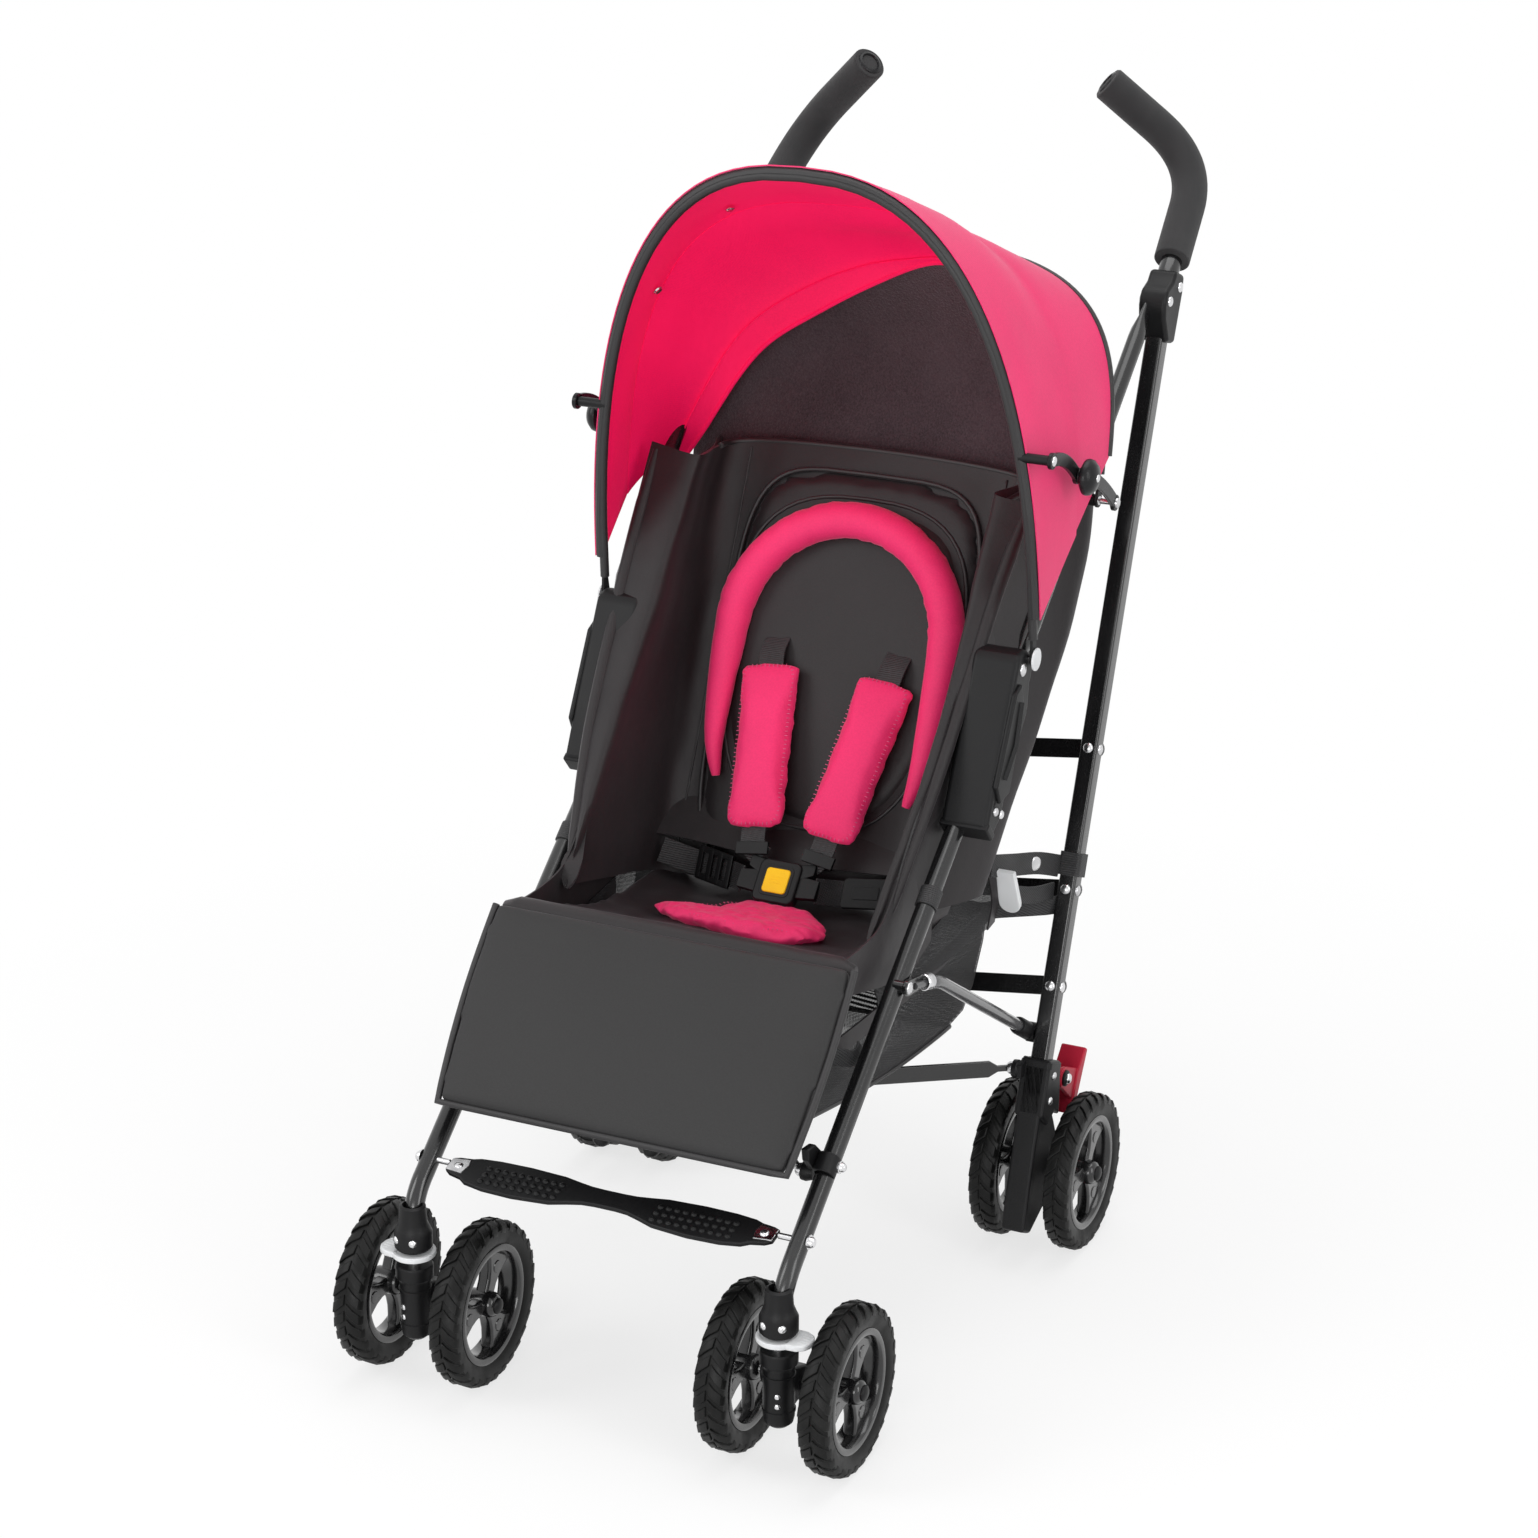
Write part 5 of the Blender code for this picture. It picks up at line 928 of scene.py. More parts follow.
def rear_bracket(side, word):
    x = UPRIGHT_X
    outline = [tuple(on_upright(h, a).yz)
               for h, a in ((0.018, 0.0145), (0.018, -0.0145), (-0.03, -0.019), (-0.04, -0.03))]
    outline += arc((WHEELBASE, WHEEL_RADIUS), 0.016, 60, -70, 9)
    outline += [tuple(on_upright(h, a).yz) for h, a in ((-0.148, -0.012), (-0.146, 0.008), (-0.036, 0.0145))]
    upper = [p for p in outline if p[1] > 0.13] + [(0.4415, 0.13), (0.47, 0.13)]
    centre = Vector((sum(p[0] for p in upper) / len(upper), sum(p[1] for p in upper) / len(upper), 0))
    upper.sort(key=lambda p: atan2(p[1] - centre.y, p[0] - centre.x))
    sleeve = plate(upper, x - 0.0145, x + 0.0145, 0.0028, 3)
    leg = plate(outline, x - 0.0117, x + 0.0117, 0.003, 3)
    band = tube([on_upright(0.01), on_upright(0.016)], rounded(0.031, 0.031, 0.004))
    reach = REAR_TWIN + HUB_HALF + 0.0006
    axle = rod((x - reach, WHEELBASE, WHEEL_RADIUS), (x + reach, WHEELBASE, WHEEL_RADIUS), AXLE)
    caps = [dome((x + s * (reach - 0.0002), WHEELBASE, WHEEL_RADIUS), X_DIR * s, 0.0072, 0.0034)
            for s in (1, -1)]
    boss = turned([(0, -0.0215), (0.0088, -0.0215), (0.0097, -0.0205), (0.0097, 0.0205), (0.0088, 0.0215),
                   (0, 0.0215)], (x, WHEELBASE, WHEEL_RADIUS), X_DIR)
    brake_pin = rod((x - 0.0165, *BRAKE_PIVOT), (x + 0.0165, *BRAKE_PIVOT), 0.0035)
    pin_heads = [dome((x + s * 0.0145, *BRAKE_PIVOT), X_DIR * s, 0.005, 0.0024) for s in (1, -1)]
    ear = plate([(0.452, 0.134), (0.486, 0.142), *arc(BRAKE_PIVOT, 0.0085, -60, 120, 6), (0.4612, 0.166)],
                x - 0.0045, x + 0.0045, 0.001)
    bolts = [dome((x + 0.0145, *on_upright(h, 0).yz), X_DIR, 0.004, 0.0022) for h in (0.004, -0.02)]
    cup = turned([(0.0062, 0.0018), (0.0084, 0.0018), (0.0088, 0.0062), (0.0065, 0.0085), (0, 0.009)],
                 BRACE_REAR, X_DIR, 24)
    by, bz = BRACE_REAR.y, BRACE_REAR.z
    horn = plate([(by - 0.0065, bz - 0.0065), (by + 0.016, bz - 0.01), (by + 0.013, bz + 0.009),
                  (by - 0.0065, bz + 0.0065)], x - 0.0145, x - 0.0095, 0.0012)
    shapes = all_in(PLASTIC, sleeve, leg, band, boss, ear, horn, cup, *caps)
    shapes += all_in(STEEL, axle, brake_pin, *pin_heads, *bolts)
    piece("rear_leg_end_" + word, shapes, "upright_" + word, ["rear_bracket_" + word], side)


def brake_pedal(side, word):
    x, (y, z) = UPRIGHT_X, BRAKE_PIVOT
    cheek = arc((y, z), 0.0105, 60, 250, 8) + [(y + 0.022, z - 0.032), (y + 0.034, z - 0.004)]
    cheeks = [plate(cheek, x + low, x + high, 0.0012) for low, high in ((0.0053, 0.0105), (-0.0105, -0.0053))]
    tread = plate([(y + 0.014, z - 0.044), (y + 0.022, z - 0.046), (y + 0.055, z + 0.008),
                   (y + 0.049, z + 0.012), (y + 0.03, z - 0.006)], x - 0.0125, x + 0.0125, 0.0016, 3)
    start, end = Vector((x, y + 0.025, z - 0.04)), Vector((x, y + 0.0525, z + 0.0055))
    outward = Vector((0, end.z - start.z, start.y - end.y)).normalized()
    rib = tube([(0, -0.011, 0), (0, -0.0105, 0.0004), (0, 0.0105, 0.0004), (0, 0.011, 0)], circle(0.0014, 8),
               hint=Z_DIR)
    ribs = row_of([start, end], [outward, outward], rib, RED, 0.0066)
    disc = turned([(0, 0.0105), (0.0078, 0.0105), (0.0078, 0.0125), (0.006, 0.0134), (0, 0.0134)], (x, y, z),
                  X_DIR, 28)
    shapes = all_in(RED, *cheeks, tread, ribs) + [(disc, PLASTIC)]
    piece("foot_pedal_" + word, shapes, "brake_pedal_" + word, ["brake_pedal_" + word], side)


both_sides(rear_bracket, brake_pedal)


# %% Crossbars
def crossbar(side, word, level):
    droop, thick, half = radians(7), 0.0035, 0.009
    behind = -0.0095 - 0.0003 - thick / 2
    layer = behind if side == LEFT else behind - thick - 0.0003
    pivot = on_upright(CROSSBAR_HEIGHTS[level], layer)
    inward = -X_DIR * cos(droop) - UP * sin(droop)
    across, length = FORE.cross(inward), UPRIGHT_X / cos(droop)

    def spot(a, b, depth):
        return pivot + inward * a + across * b + FORE * depth

    outline = arc((0, 0), half, 90, 270, 10) + arc((length, 0), half, -90, 90, 10)
    body = soften(loft([[spot(a, b, d) for a, b in outline] for d in (-thick / 2, thick / 2)]), 0.0007)
    groove = loft([[spot(a, b, -thick / 2 - 0.0004) for a, b in arc((0.03, 0), 0.0022, 90, 270, 6)
                    + arc((length - 0.03, 0), 0.0022, -90, 90, 6)],
                   [spot(a, b, -thick / 2 + 0.0004) for a, b in arc((0.03, 0), 0.0036, 90, 270, 6)
                    + arc((length - 0.03, 0), 0.0036, -90, 90, 6)]])
    face = 1 if side == LEFT else -1
    heads = [dome(spot(0, 0, -thick / 2), -FORE, 0.005, 0.0034),
             dome(spot(length, 0, face * thick / 2), FORE * face, 0.0052, 0.0024)]
    shapes = [(body, PAINT), (groove, PAINT)] + all_in(STEEL, *heads)
    if side == RIGHT:
        shapes.append((turned([(0, 0), (0.007, 0), (0.007, thick), (0, thick)], spot(0, 0, thick / 2), FORE,
                              24), PLASTIC))
    node = f"crossbar_{level}_{word}"
    piece("bar_" + level + "_" + word, shapes, node, [node], side)


for side, word in SIDES:
    for level in CROSSBAR_HEIGHTS:
        crossbar(side, word, level)
print("rear frame made")

# %% [markdown]
# ## Side rails and brace
#
# Under the seat a bent rail runs from each front leg to its upright, and four flat arms meet in the
# middle. Together they stop the frame from folding until the middle is pulled up.


# %% Rails, arms and hub
def side_rail(side, word):
    front, rear = Vector((0.1928, *RAIL_FRONT)), Vector((RAIL_X, *RAIL_REAR))
    knee = Vector((RAIL_X - 0.001, 0.244, 0.352))
    path = bend_path([front + Vector((0.0015, 0.012, -0.003)), knee, rear + (knee - rear).normalized() * 0.02],
                     0.018)
    sizes = [0.62 + 0.55 * min(1, i / 6) for i in range(len(path))]
    body = tube(path, circle(0.005, 20), scales=sizes)
    eye = plate([(front.y + a, front.z + b)
                 for a, b in [*arc((0, 0), 0.0075, 90, 270, 10), (0.022, -0.01), (0.026, 0.002)]], 0.1908,
                0.1948, 0.0008)
    head = dome((0.1945, *RAIL_FRONT), X_DIR, 0.0058, 0.0024)
    clip = turned([(0.0068, -0.006), (0.0076, -0.005), (0.0076, 0.005), (0.0068, 0.006)],
                  front + Vector((0.003, 0.034, -0.0068)), knee - front, ring=True)
    along = (knee - rear).normalized()
    socket = turned([(0, -0.004), (0.008, -0.004), (0.0086, -0.002), (0.0086, 0.03), (0.0078, 0.034),
                     (0, 0.034)], rear, along)
    lug = turned([(0, 0), (0.009, 0), (0.0095, 0.0006), (0.0095, 0.0087), (0, 0.0087)],
                 (RAIL_X - 0.0005, *RAIL_REAR), X_DIR)
    shapes = [(body, RAIL_STEEL), (eye, PAINT), (socket, PLASTIC), (lug, PLASTIC), (head, STEEL), (clip, STEEL)]
    piece("seat_rail_" + word, shapes, "side_rail_" + word, ["side_rail_" + word], side)


RAIL_STEEL = gloss_paint("dark_steel_rail", (0.075, 0.075, 0.078), 0.16, 200, 0.5)
HUB = BRACE_REAR.lerp(BRACE_FRONT, 0.1965 / 0.351)
HUB.x = 0.0


def brace_arm(side, word, which):
    start = (BRACE_REAR if which == "rear" else BRACE_FRONT).copy()
    along = (HUB - start).normalized()
    length = (HUB - start).length - (0.0225 if which == "rear" else 0.0172)
    across = (Z_DIR - along * Z_DIR.dot(along)).normalized()
    normal = along.cross(across)
    half, neck = 0.008, 0.0028
    outline = [(0.003, neck), (0.003, -neck), (0.015, -neck), (0.024, -half), (length - 0.016, -half),
               (length, -half * 0.4), (length, half * 0.4), (length - 0.016, half), (0.024, half),
               (0.015, neck)]
    body = soften(loft([[start + along * a + across * b + normal * d for a, b in outline]
                        for d in (-0.002, 0.002)]), 0.0008)
    heads = [dome(start + along * (length - 0.01) + normal * 0.0019 * s, normal * s, 0.0042, 0.0022)
             for s in (1, -1)]
    shapes = [(body, PAINT), (ball(start, 0.0062), STEEL)] + all_in(STEEL, *heads)
    piece(f"flat_arm_{which}_{word}", shapes, f"brace_arm_{which}_{word}",
          [f"brace_arm_{which}_{word}"], side)


for side, word in SIDES:
    side_rail(side, word)
    for which in ("rear", "front"):
        brace_arm(side, word, which)
hub_body = turned([(0, -0.01), (0.014, -0.01), (0.0163, -0.0085), (0.0165, -0.007), (0.0165, 0.007),
                   (0.0155, 0.009), (0.012, 0.0102), (0.0075, 0.012), (0.006, 0.0135), (0, 0.0138)], HUB, Z_DIR)
piece("brace_centre", [(hub_body, PLASTIC)], "brace_hub", ["brace_hub"])
print("rails and brace made")

# %% [markdown]
# ## Footrest
#
# The footrest is one moulded strip with two wide treads. Rows of small round bumps keep the feet from
# slipping. The grid tree sets them, so that the number of rows is one value.

# %% Footrest
foot_half = LEG_X - 0.021
stations = [(-foot_half, 0.01), (-foot_half + 0.006, 0.0145), (-foot_half + 0.018, 0.0175), (-0.134, 0.0225),
            (-0.115, 0.0262), (-0.085, 0.0272), (-0.05, 0.024), (-0.034, 0.0185), (-0.022, 0.015),
            (-0.01, 0.014)]
stations += [(-x, w) for x, w in reversed(stations)]
strip = slab([(x, 0.004 - w) for x, w in stations] + [(x, 0.004 + w * 0.55) for x, w in stations[::-1]],
             0.2015, 0.206, 0.0014, 3)
bump = turned([(0.0031, -0.0006), (0.0031, 0.0002), (0.0024, 0.0013), (0.001, 0.0019), (0, 0.002)], (0, 0, 0),
              Z_DIR, 10)
bumps = []
for s in (1, -1):
    field = repeated(GRID, bump.copy(), PLASTIC, Columns=10, Rows=3, Width=0.072, Depth=0.0176)
    field.transform(Matrix.Translation((s * 0.084, -0.0045, 0.206)))
    bumps.append(field)
bump.free()
ends = [slab([(s * (foot_half - a), b + 0.002)
              for a, b in ((0.0008, -0.009), (0.0175, -0.011), (0.0195, 0.0), (0.0175, 0.008),
                           (0.0008, 0.006))], 0.2052, 0.2068, 0.0006) for s in (1, -1)]
end_rivets = [dome((s * (foot_half - 0.0105), 0.0, 0.2066), Z_DIR, 0.0042, 0.0022) for s in (1, -1)]
tilt = Matrix.Translation((0, 0.004, 0.204)) @ Matrix.Rotation(radians(12), 4,
                                                               "X") @ Matrix.Translation((0, -0.004, -0.204))
for bm in (strip, *bumps, *ends, *end_rivets):
    bm.transform(tilt)
foot_shapes = all_in(PLASTIC, strip, *bumps) + all_in(STEEL, *ends, *end_rivets)
foot_piece = piece("foot_strip", foot_shapes, "footrest", ["footrest"])
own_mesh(foot_piece)
print("footrest", len(foot_piece.data.polygons), "faces")

# %% [markdown]
# ## Cloth finishes
#
# The hood is a smooth dyed canvas, the seat a satin twill, the wall behind the head a fuzzy knit and the
# basket an open mesh. Each has its own weave, a slow change of tone and soft wrinkles. The weave reads
# the object's own coordinates, so it needs no unwrapping.


# %% Canvas, twill, knit, mesh and webbing
def woven(name, colour, rough, thread, wrinkle, sheen, tint, depth=0.0016, gloss=0.5, painted_glow=0.0):
    f = Finish(name)
    where = f.place()
    across, up = where.part(0), where.part(1) * 0.55 + where.part(2)
    warp, weft = (across * thread).sine(), (up * thread).sine()
    weave = warp * weft
    tone = f.remap(f.clouds(7, 3), 0.3, 0.7)
    fine = f.remap(f.clouds(600, 2), 0.35, 0.65)
    dark = shade(*[c * 0.84 for c in colour])
    light = shade(*[min(0.95, c * 1.14 + 0.004) for c in colour])
    colour_now = f.mix(tone * 0.6 + fine * 0.25 + weave * 0.1, dark, light)
    soft = f.bump(f.clouds(wrinkle, 3, rough=0.45), depth, 0.7)
    # The emission in the cloth's own colour is painted light: a glow that brightens the cloth where it lies in
    # shade.
    return f.paint(Base_Color=colour_now, Roughness=tone * 0.1 + rough,
                   Normal=f.bump(weave * 0.5 + fine * 0.5, 0.0002, 0.35, soft),
                   Sheen_Weight=sheen, Sheen_Roughness=0.4, Sheen_Tint=shade(*tint), Specular_IOR_Level=gloss,
                   Emission_Color=shade(*colour), Emission_Strength=painted_glow)


def fuzzy_knit():
    f = Finish("fuzzy_knit")
    tuft = f.clouds(520, 4, rough=0.7)
    loops = f.cells(420)
    tone = f.remap(f.clouds(16, 3), 0.3, 0.7)
    colour = f.mix(f.remap(tuft, 0.35, 0.65) * 0.7 + tone * 0.3, shade(0.016, 0.011, 0.014),
                   shade(0.062, 0.046, 0.054))
    return f.paint(Base_Color=colour, Roughness=0.95, Normal=f.bump(tuft + loops * 0.4, 0.0012, 0.8),
                   Sheen_Weight=0.35, Sheen_Roughness=0.5)


def open_mesh():
    f = Finish("open_mesh")
    where = f.place()
    across, up = where.part(0) + where.part(1), where.part(2) * 1.15 - where.part(1) * 0.5
    hole = (across * 1900.0).sine() * (up * 1900.0).sine()
    tone = f.remap(f.clouds(12, 3), 0.3, 0.7)
    return f.paint(Base_Color=f.mix(tone, shade(0.012, 0.012, 0.013), shade(0.03, 0.029, 0.031)),
                   Roughness=tone * 0.15 + 0.6, Normal=f.bump(hole, 0.0003, 0.5),
                   Alpha=f.remap(hole.absolute(), 0.42, 0.52, 1.0, 0.25))


def webbing():
    f = Finish("ribbed_webbing")
    where = f.place()
    ribs = ((where.part(1) + where.part(2)) * 2300.0).sine()
    tone = f.remap(f.clouds(40, 3), 0.3, 0.7)
    return f.paint(Base_Color=f.mix(tone * 0.6 + ribs * 0.15, shade(0.014, 0.014, 0.015),
                                    shade(0.04, 0.04, 0.042)), Roughness=0.6, Normal=f.bump(ribs, 0.0004, 0.6))


CANVAS = woven("pink_canvas", (0.82, 0.024, 0.15), 0.55, 4200.0, 11, 0.28, (1.0, 0.78, 0.88), 0.0016, 0.4)
# The lining and pad cloth get a faint glow in their own colour, which is painted light that lifts the shade
# inside the hood.
LINING = woven("pink_lining", (0.8, 0.004, 0.09), 0.58, 4200.0, 9, 0.05, (1.0, 0.6, 0.75), 0.0016, 0.25, 0.27)
PAD_CLOTH = woven("pink_pad_cloth", (0.86, 0.026, 0.15), 0.58, 4800.0, 30, 0.22, (1.0, 0.75, 0.85), 0.001, 0.35,
                  0.09)
TWILL = woven("black_twill", (0.013, 0.0105, 0.0115), 0.46, 5000.0, 14, 0.12, (0.9, 0.85, 0.9), 0.0028, 0.34)
LEG_TWILL = woven("leg_rest_twill", (0.016, 0.0155, 0.0158), 0.5, 5000.0, 8, 0.12, (0.9, 0.9, 0.95), 0.0008,
                  0.34)
TAPE = woven("black_tape", (0.012, 0.011, 0.012), 0.42, 5200.0, 60, 0.1, (0.8, 0.8, 0.8), 0.0004)
THREAD = woven("pink_thread", (0.7, 0.1, 0.24), 0.6, 6000.0, 80, 0.2, (1.0, 0.8, 0.9), 0.0002)
FUZZ, MESH, WEBBING = fuzzy_knit(), open_mesh(), webbing()
print("cloth finishes ready")

# %% [markdown]
# ## Sheets and pads
#
# A sheet of cloth is a smooth grid with a little thickness and a rounded edge. A pad starts
# flat, and the cloth simulation blows it up like air in a cushion, no further than a cap. Where a seam is
# given, its points stay in place and the cloth swells between them.


def through(points, count):
    """A smooth line through the given points, as `count` points."""
    points = [Vector(p) for p in points]
    last, line = len(points) - 1, []
    for i in range(count):
        spot = i * last / (count - 1)
        a = min(int(spot), last - 1)
        t = spot - a
        p0, p1, p2, p3 = points[max(a - 1, 0)], points[a], points[a + 1], points[min(a + 2, last)]
        line.append(0.5 * (2 * p1 + (p2 - p0) * t + (2 * p0 - 5 * p1 + 4 * p2 - p3) * t * t
                           + (3 * p1 - p0 - 3 * p2 + p3) * t ** 3))
    return line


def finer(grid, rows, columns):
    across = [through(line, columns) for line in grid]
    down = [through([line[j] for line in across], rows) for j in range(columns)]
    return [[down[j][i] for j in range(columns)] for i in range(rows)]


def normal_at(grid, i, j):
    rows, columns = len(grid), len(grid[0])
    du = grid[min(i + 1, rows - 1)][j] - grid[max(i - 1, 0)][j]
    dv = grid[i][min(j + 1, columns - 1)] - grid[i][max(j - 1, 0)]
    return du.cross(dv).normalized()


def wrinkled(grid, amount, scale, stretch=(1, 1, 1), seed=0.0):
    """Push the points along the surface's normal by soft noise, less towards the edges."""
    rows, columns = len(grid), len(grid[0])
    pushed = []
    for i in range(rows):
        line = []
        for j in range(columns):
            p = grid[i][j]
            where = Vector((p.x * stretch[0], p.y * stretch[1], p.z * stretch[2])) * scale
            edge = min(1, min(i, rows - 1 - i, j, columns - 1 - j) / 3)
            push = noise.noise(where + Vector((seed, seed, seed))) + 0.4 * noise.noise(where * 2.3)
            line.append(p + normal_at(grid, i, j) * (push * amount * edge))
        pushed.append(line)
    return pushed


def sheet_of(grid, thickness, rim=0.0):
    """A closed sheet; the grid is its inner face, and `rim` rows taper to a rounded edge."""
    rows, columns = len(grid), len(grid[0])
    bm = bmesh.new()
    faces_of = []
    for side_share in (0, 1):
        level = []
        for i in range(rows):
            line = []
            for j in range(columns):
                full = 1.0
                if rim:
                    near = min(i, rows - 1 - i, j, columns - 1 - j) / rim
                    full = 0.3 + 0.7 * sin(min(1, near) * pi / 2)
                out = normal_at(grid, i, j) * (thickness * full * side_share)
                line.append(bm.verts.new(grid[i][j] + out))
            level.append(line)
        faces_of.append(level)
    for level in faces_of:
        for i in range(rows - 1):
            for j in range(columns - 1):
                bm.faces.new((level[i][j], level[i + 1][j], level[i + 1][j + 1], level[i][j + 1]))
    edge = [(i, 0) for i in range(rows)] + [(rows - 1, j) for j in range(1, columns)]
    edge += [(i, columns - 1) for i in range(rows - 2, -1, -1)] + [(0, j) for j in range(columns - 2, 0, -1)]
    inner, outer = faces_of
    for (a, b), (c, d) in zip(edge, edge[1:] + edge[:1]):
        bm.faces.new((inner[a][b], inner[c][d], outer[c][d], outer[a][b]))
    return bm


AIR_PRESSURE, AIR_FRAMES = 4.0, 20


def swollen(bm, cap, voxel, seam=None):
    """Blow a closed shape up by cloth simulation; points where seam(point) is true stay."""
    bmesh.ops.recalc_face_normals(bm, faces=bm.faces)
    obj = object_from("swelling", bm, [])
    remesh = obj.modifiers.new("even_mesh", "REMESH")
    remesh.mode, remesh.voxel_size = "VOXEL", voxel
    settle(obj)
    rest = [v.co.copy() for v in obj.data.vertices]
    cloth = obj.modifiers.new("air", "CLOTH")
    cloth.settings.use_pressure = True
    cloth.settings.uniform_pressure_force = AIR_PRESSURE
    cloth.settings.effector_weights.gravity = 0
    cloth.settings.quality = 4
    if seam:
        held = obj.vertex_groups.new(name="seam")
        held.add([i for i, p in enumerate(rest) if seam(p)], 1.0, "REPLACE")
        cloth.settings.vertex_group_mass = "seam"
    for frame_number in range(1, AIR_FRAMES + 1):
        bpy.context.scene.frame_set(frame_number)
    ready = obj.evaluated_get(bpy.context.evaluated_depsgraph_get())
    moved = [v.co.copy() for v in ready.data.vertices]
    obj.modifiers.clear()
    for vertex, start, now in zip(obj.data.vertices, rest, moved):
        step = now - start
        if step.length > cap:
            step *= cap / step.length
        vertex.co = start + step
    obj.vertex_groups.clear()
    bpy.context.scene.frame_set(1)
    smoother = obj.modifiers.new("even_out", "SMOOTH")
    smoother.factor, smoother.iterations = 0.5, 7
    fine = obj.modifiers.new("finer", "SUBSURF")
    fine.levels = fine.render_levels = 1
    settle(obj)
    done = bmesh.new()
    done.from_mesh(obj.data)
    bpy.data.objects.remove(obj)
    return done


def stitches(points, ups, finish, spacing=0.0042):
    stitch = tube([(0, -0.0013, 0.0001), (0, -0.0007, 0.0004), (0, 0.0007, 0.0004), (0, 0.0013, 0.0001)],
                  circle(0.0004, 5), hint=Z_DIR)
    return row_of(points, ups, stitch, finish, spacing)


def strap(points, width, hint=X_DIR, count=14):
    thick = 0.0018
    section = [(-thick / 2, -width / 2), (-thick / 2, width / 2), (thick / 2, width / 2),
               (thick / 2, -width / 2)]
    return soften(tube(through(points, count), section, hint=hint), 0.0004, 1)


def snap(centre, axis, radius=0.0048):
    return turned([(0, 0), (radius, 0), (radius, 0.0008), (radius * 0.75, 0.0018), (radius * 0.45, 0.0014),
                   (0, 0.0016)], centre, axis, 24)


# %% [markdown]
# ## Hood
#
# Two sprung bows carry the cloth. The front panel is sewn to the rear panel over a shallow valley. It
# goes with the front bow, so it slides back over the rear panel when the hood folds. Inside hangs a pink
# lining with a hem, and behind the head a dark fuzzy wall closes the hood down to the seat's back.

# %% Bows and hood cloth
BOWS = {"front": (HOOD_PIVOT, radians(-4.6), 0.423, 0.2157, 0.8),
        "rear": (REAR_BOW_FOOT, radians(12), 0.21, 0.2225, 0.56)}
VALLEY = 0.46


def arch_point(foot, angle, height, half_width, power, turn):
    x = half_width * abs(cos(turn)) ** power * (1 if cos(turn) >= 0 else -1)
    rise = height * max(sin(turn), 0.0) ** power
    return Vector((x, foot[0] + rise * sin(angle), foot[1] + rise * cos(angle)))


def eased(share):
    """Turns along an arch, closer together near its feet."""
    u = 2 * share - 1
    return pi * 0.5 * (1 + (abs(u) ** 0.85) * (1 if u > 0 else -1))


def hood_spot(t, turn, out):
    (front_foot, a1, h1, w1, p1), (rear_foot, a2, h2, w2, p2) = BOWS["front"], BOWS["rear"]

    def between(front, rear):
        return front + (rear - front) * t

    high = sin(turn) ** 2
    valley = 0.0095 * high * max(0.0, 1 - abs(t - VALLEY) / 0.16) ** 1.5
    return arch_point((between(front_foot[0], rear_foot[0]), between(front_foot[1], rear_foot[1])),
                      between(a1 + radians(0.4), a2),
                      between(h1, h2) + 0.0044 + out - 0.004 * sin(pi * t) - valley,
                      between(w1, w2) + 0.0044 + out, between(p1, p2), turn)


def hood_turns(count, low=3.0):
    return [radians(low) + (pi - 2 * radians(low)) * (eased(i / (count - 1)) / pi) for i in range(count)]


def hood_grid(start, end, rows, out, columns=61):
    return [[hood_spot(start + (end - start) * i / (rows - 1), turn, out) for turn in hood_turns(columns)]
            for i in range(rows)]


def folds_in(obj):
    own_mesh(obj)
    return obj


def area_of(grid):
    total = 0.0
    for above, below in zip(grid, grid[1:]):
        for a, b, c, d in zip(above, above[1:], below[1:], below):
            total += (b - a).cross(c - a).length / 2 + (c - a).cross(d - a).length / 2
    return total


def declare_sheet(grid):
    """Work out the cut's size, the longest run each way, and its area, the sheet's own; nothing keeps them."""
    wide = max(sum((b - a).length for a, b in zip(line, line[1:])) for line in grid)
    long = max(sum((grid[i + 1][j] - grid[i][j]).length for i in range(len(grid) - 1))
               for j in range(len(grid[0])))
    area = area_of(grid)


def cloth_sheet(name, grid, thickness, finish, body):
    """One panel of the hood: the piece, with a mesh of its own."""
    made = piece(name, [(sheet_of(grid, thickness), finish)], body, ["hood_fabric"])
    declare_sheet(grid)
    return folds_in(made)


def hood_trim(name, shapes, body, nodes=("hood_fabric",)):
    return folds_in(piece(name, shapes, body, nodes))


def seat_pad(name, shapes, body, nodes, side=LEFT, angle=70):
    """One padded piece of the seat: the piece, with a mesh of its own."""
    made = piece(name, shapes, body, nodes, side, angle)
    return folds_in(made)


def cord(points, radius, sides=8, hint=Z_DIR):
    return tube(points, circle(radius, sides), hint=hint)


HOOD_CLOTH = 0.0011


def bow(name, which, radius, nodes, body, extras=()):
    foot, angle, height, half, power = BOWS[which]
    turns = [radians(1.2)] + hood_turns(47)[1:-1] + [pi - radians(1.2)]
    path = [arch_point(foot, angle, height, half, power, turn) for turn in turns]
    rod_shape = tube(path, circle(radius, 16), hint=Vector((0, cos(angle), -sin(angle))))
    shapes = [(rod_shape, TAPE)]
    for s in (1, -1):
        lean = Vector((0, sin(angle), cos(angle)))
        outline = [*arc((0, 0), 0.0065, 180, 360, 10), (0.0038, 0.02), (-0.0038, 0.02)]
        eye = [(foot[0] + a * lean.z + b * lean.y, foot[1] - a * lean.y + b * lean.z) for a, b in outline]
        low, high = sorted((s * (half - 0.0014), s * (half + 0.0014)))
        shapes.append((plate(eye, low, high, 0.0004), PLASTIC))
        shapes.append((dome((s * (half + 0.0012), *foot), X_DIR * s, 0.0044, 0.002), STEEL))
    hood_trim(name, shapes + list(extras), body, nodes)


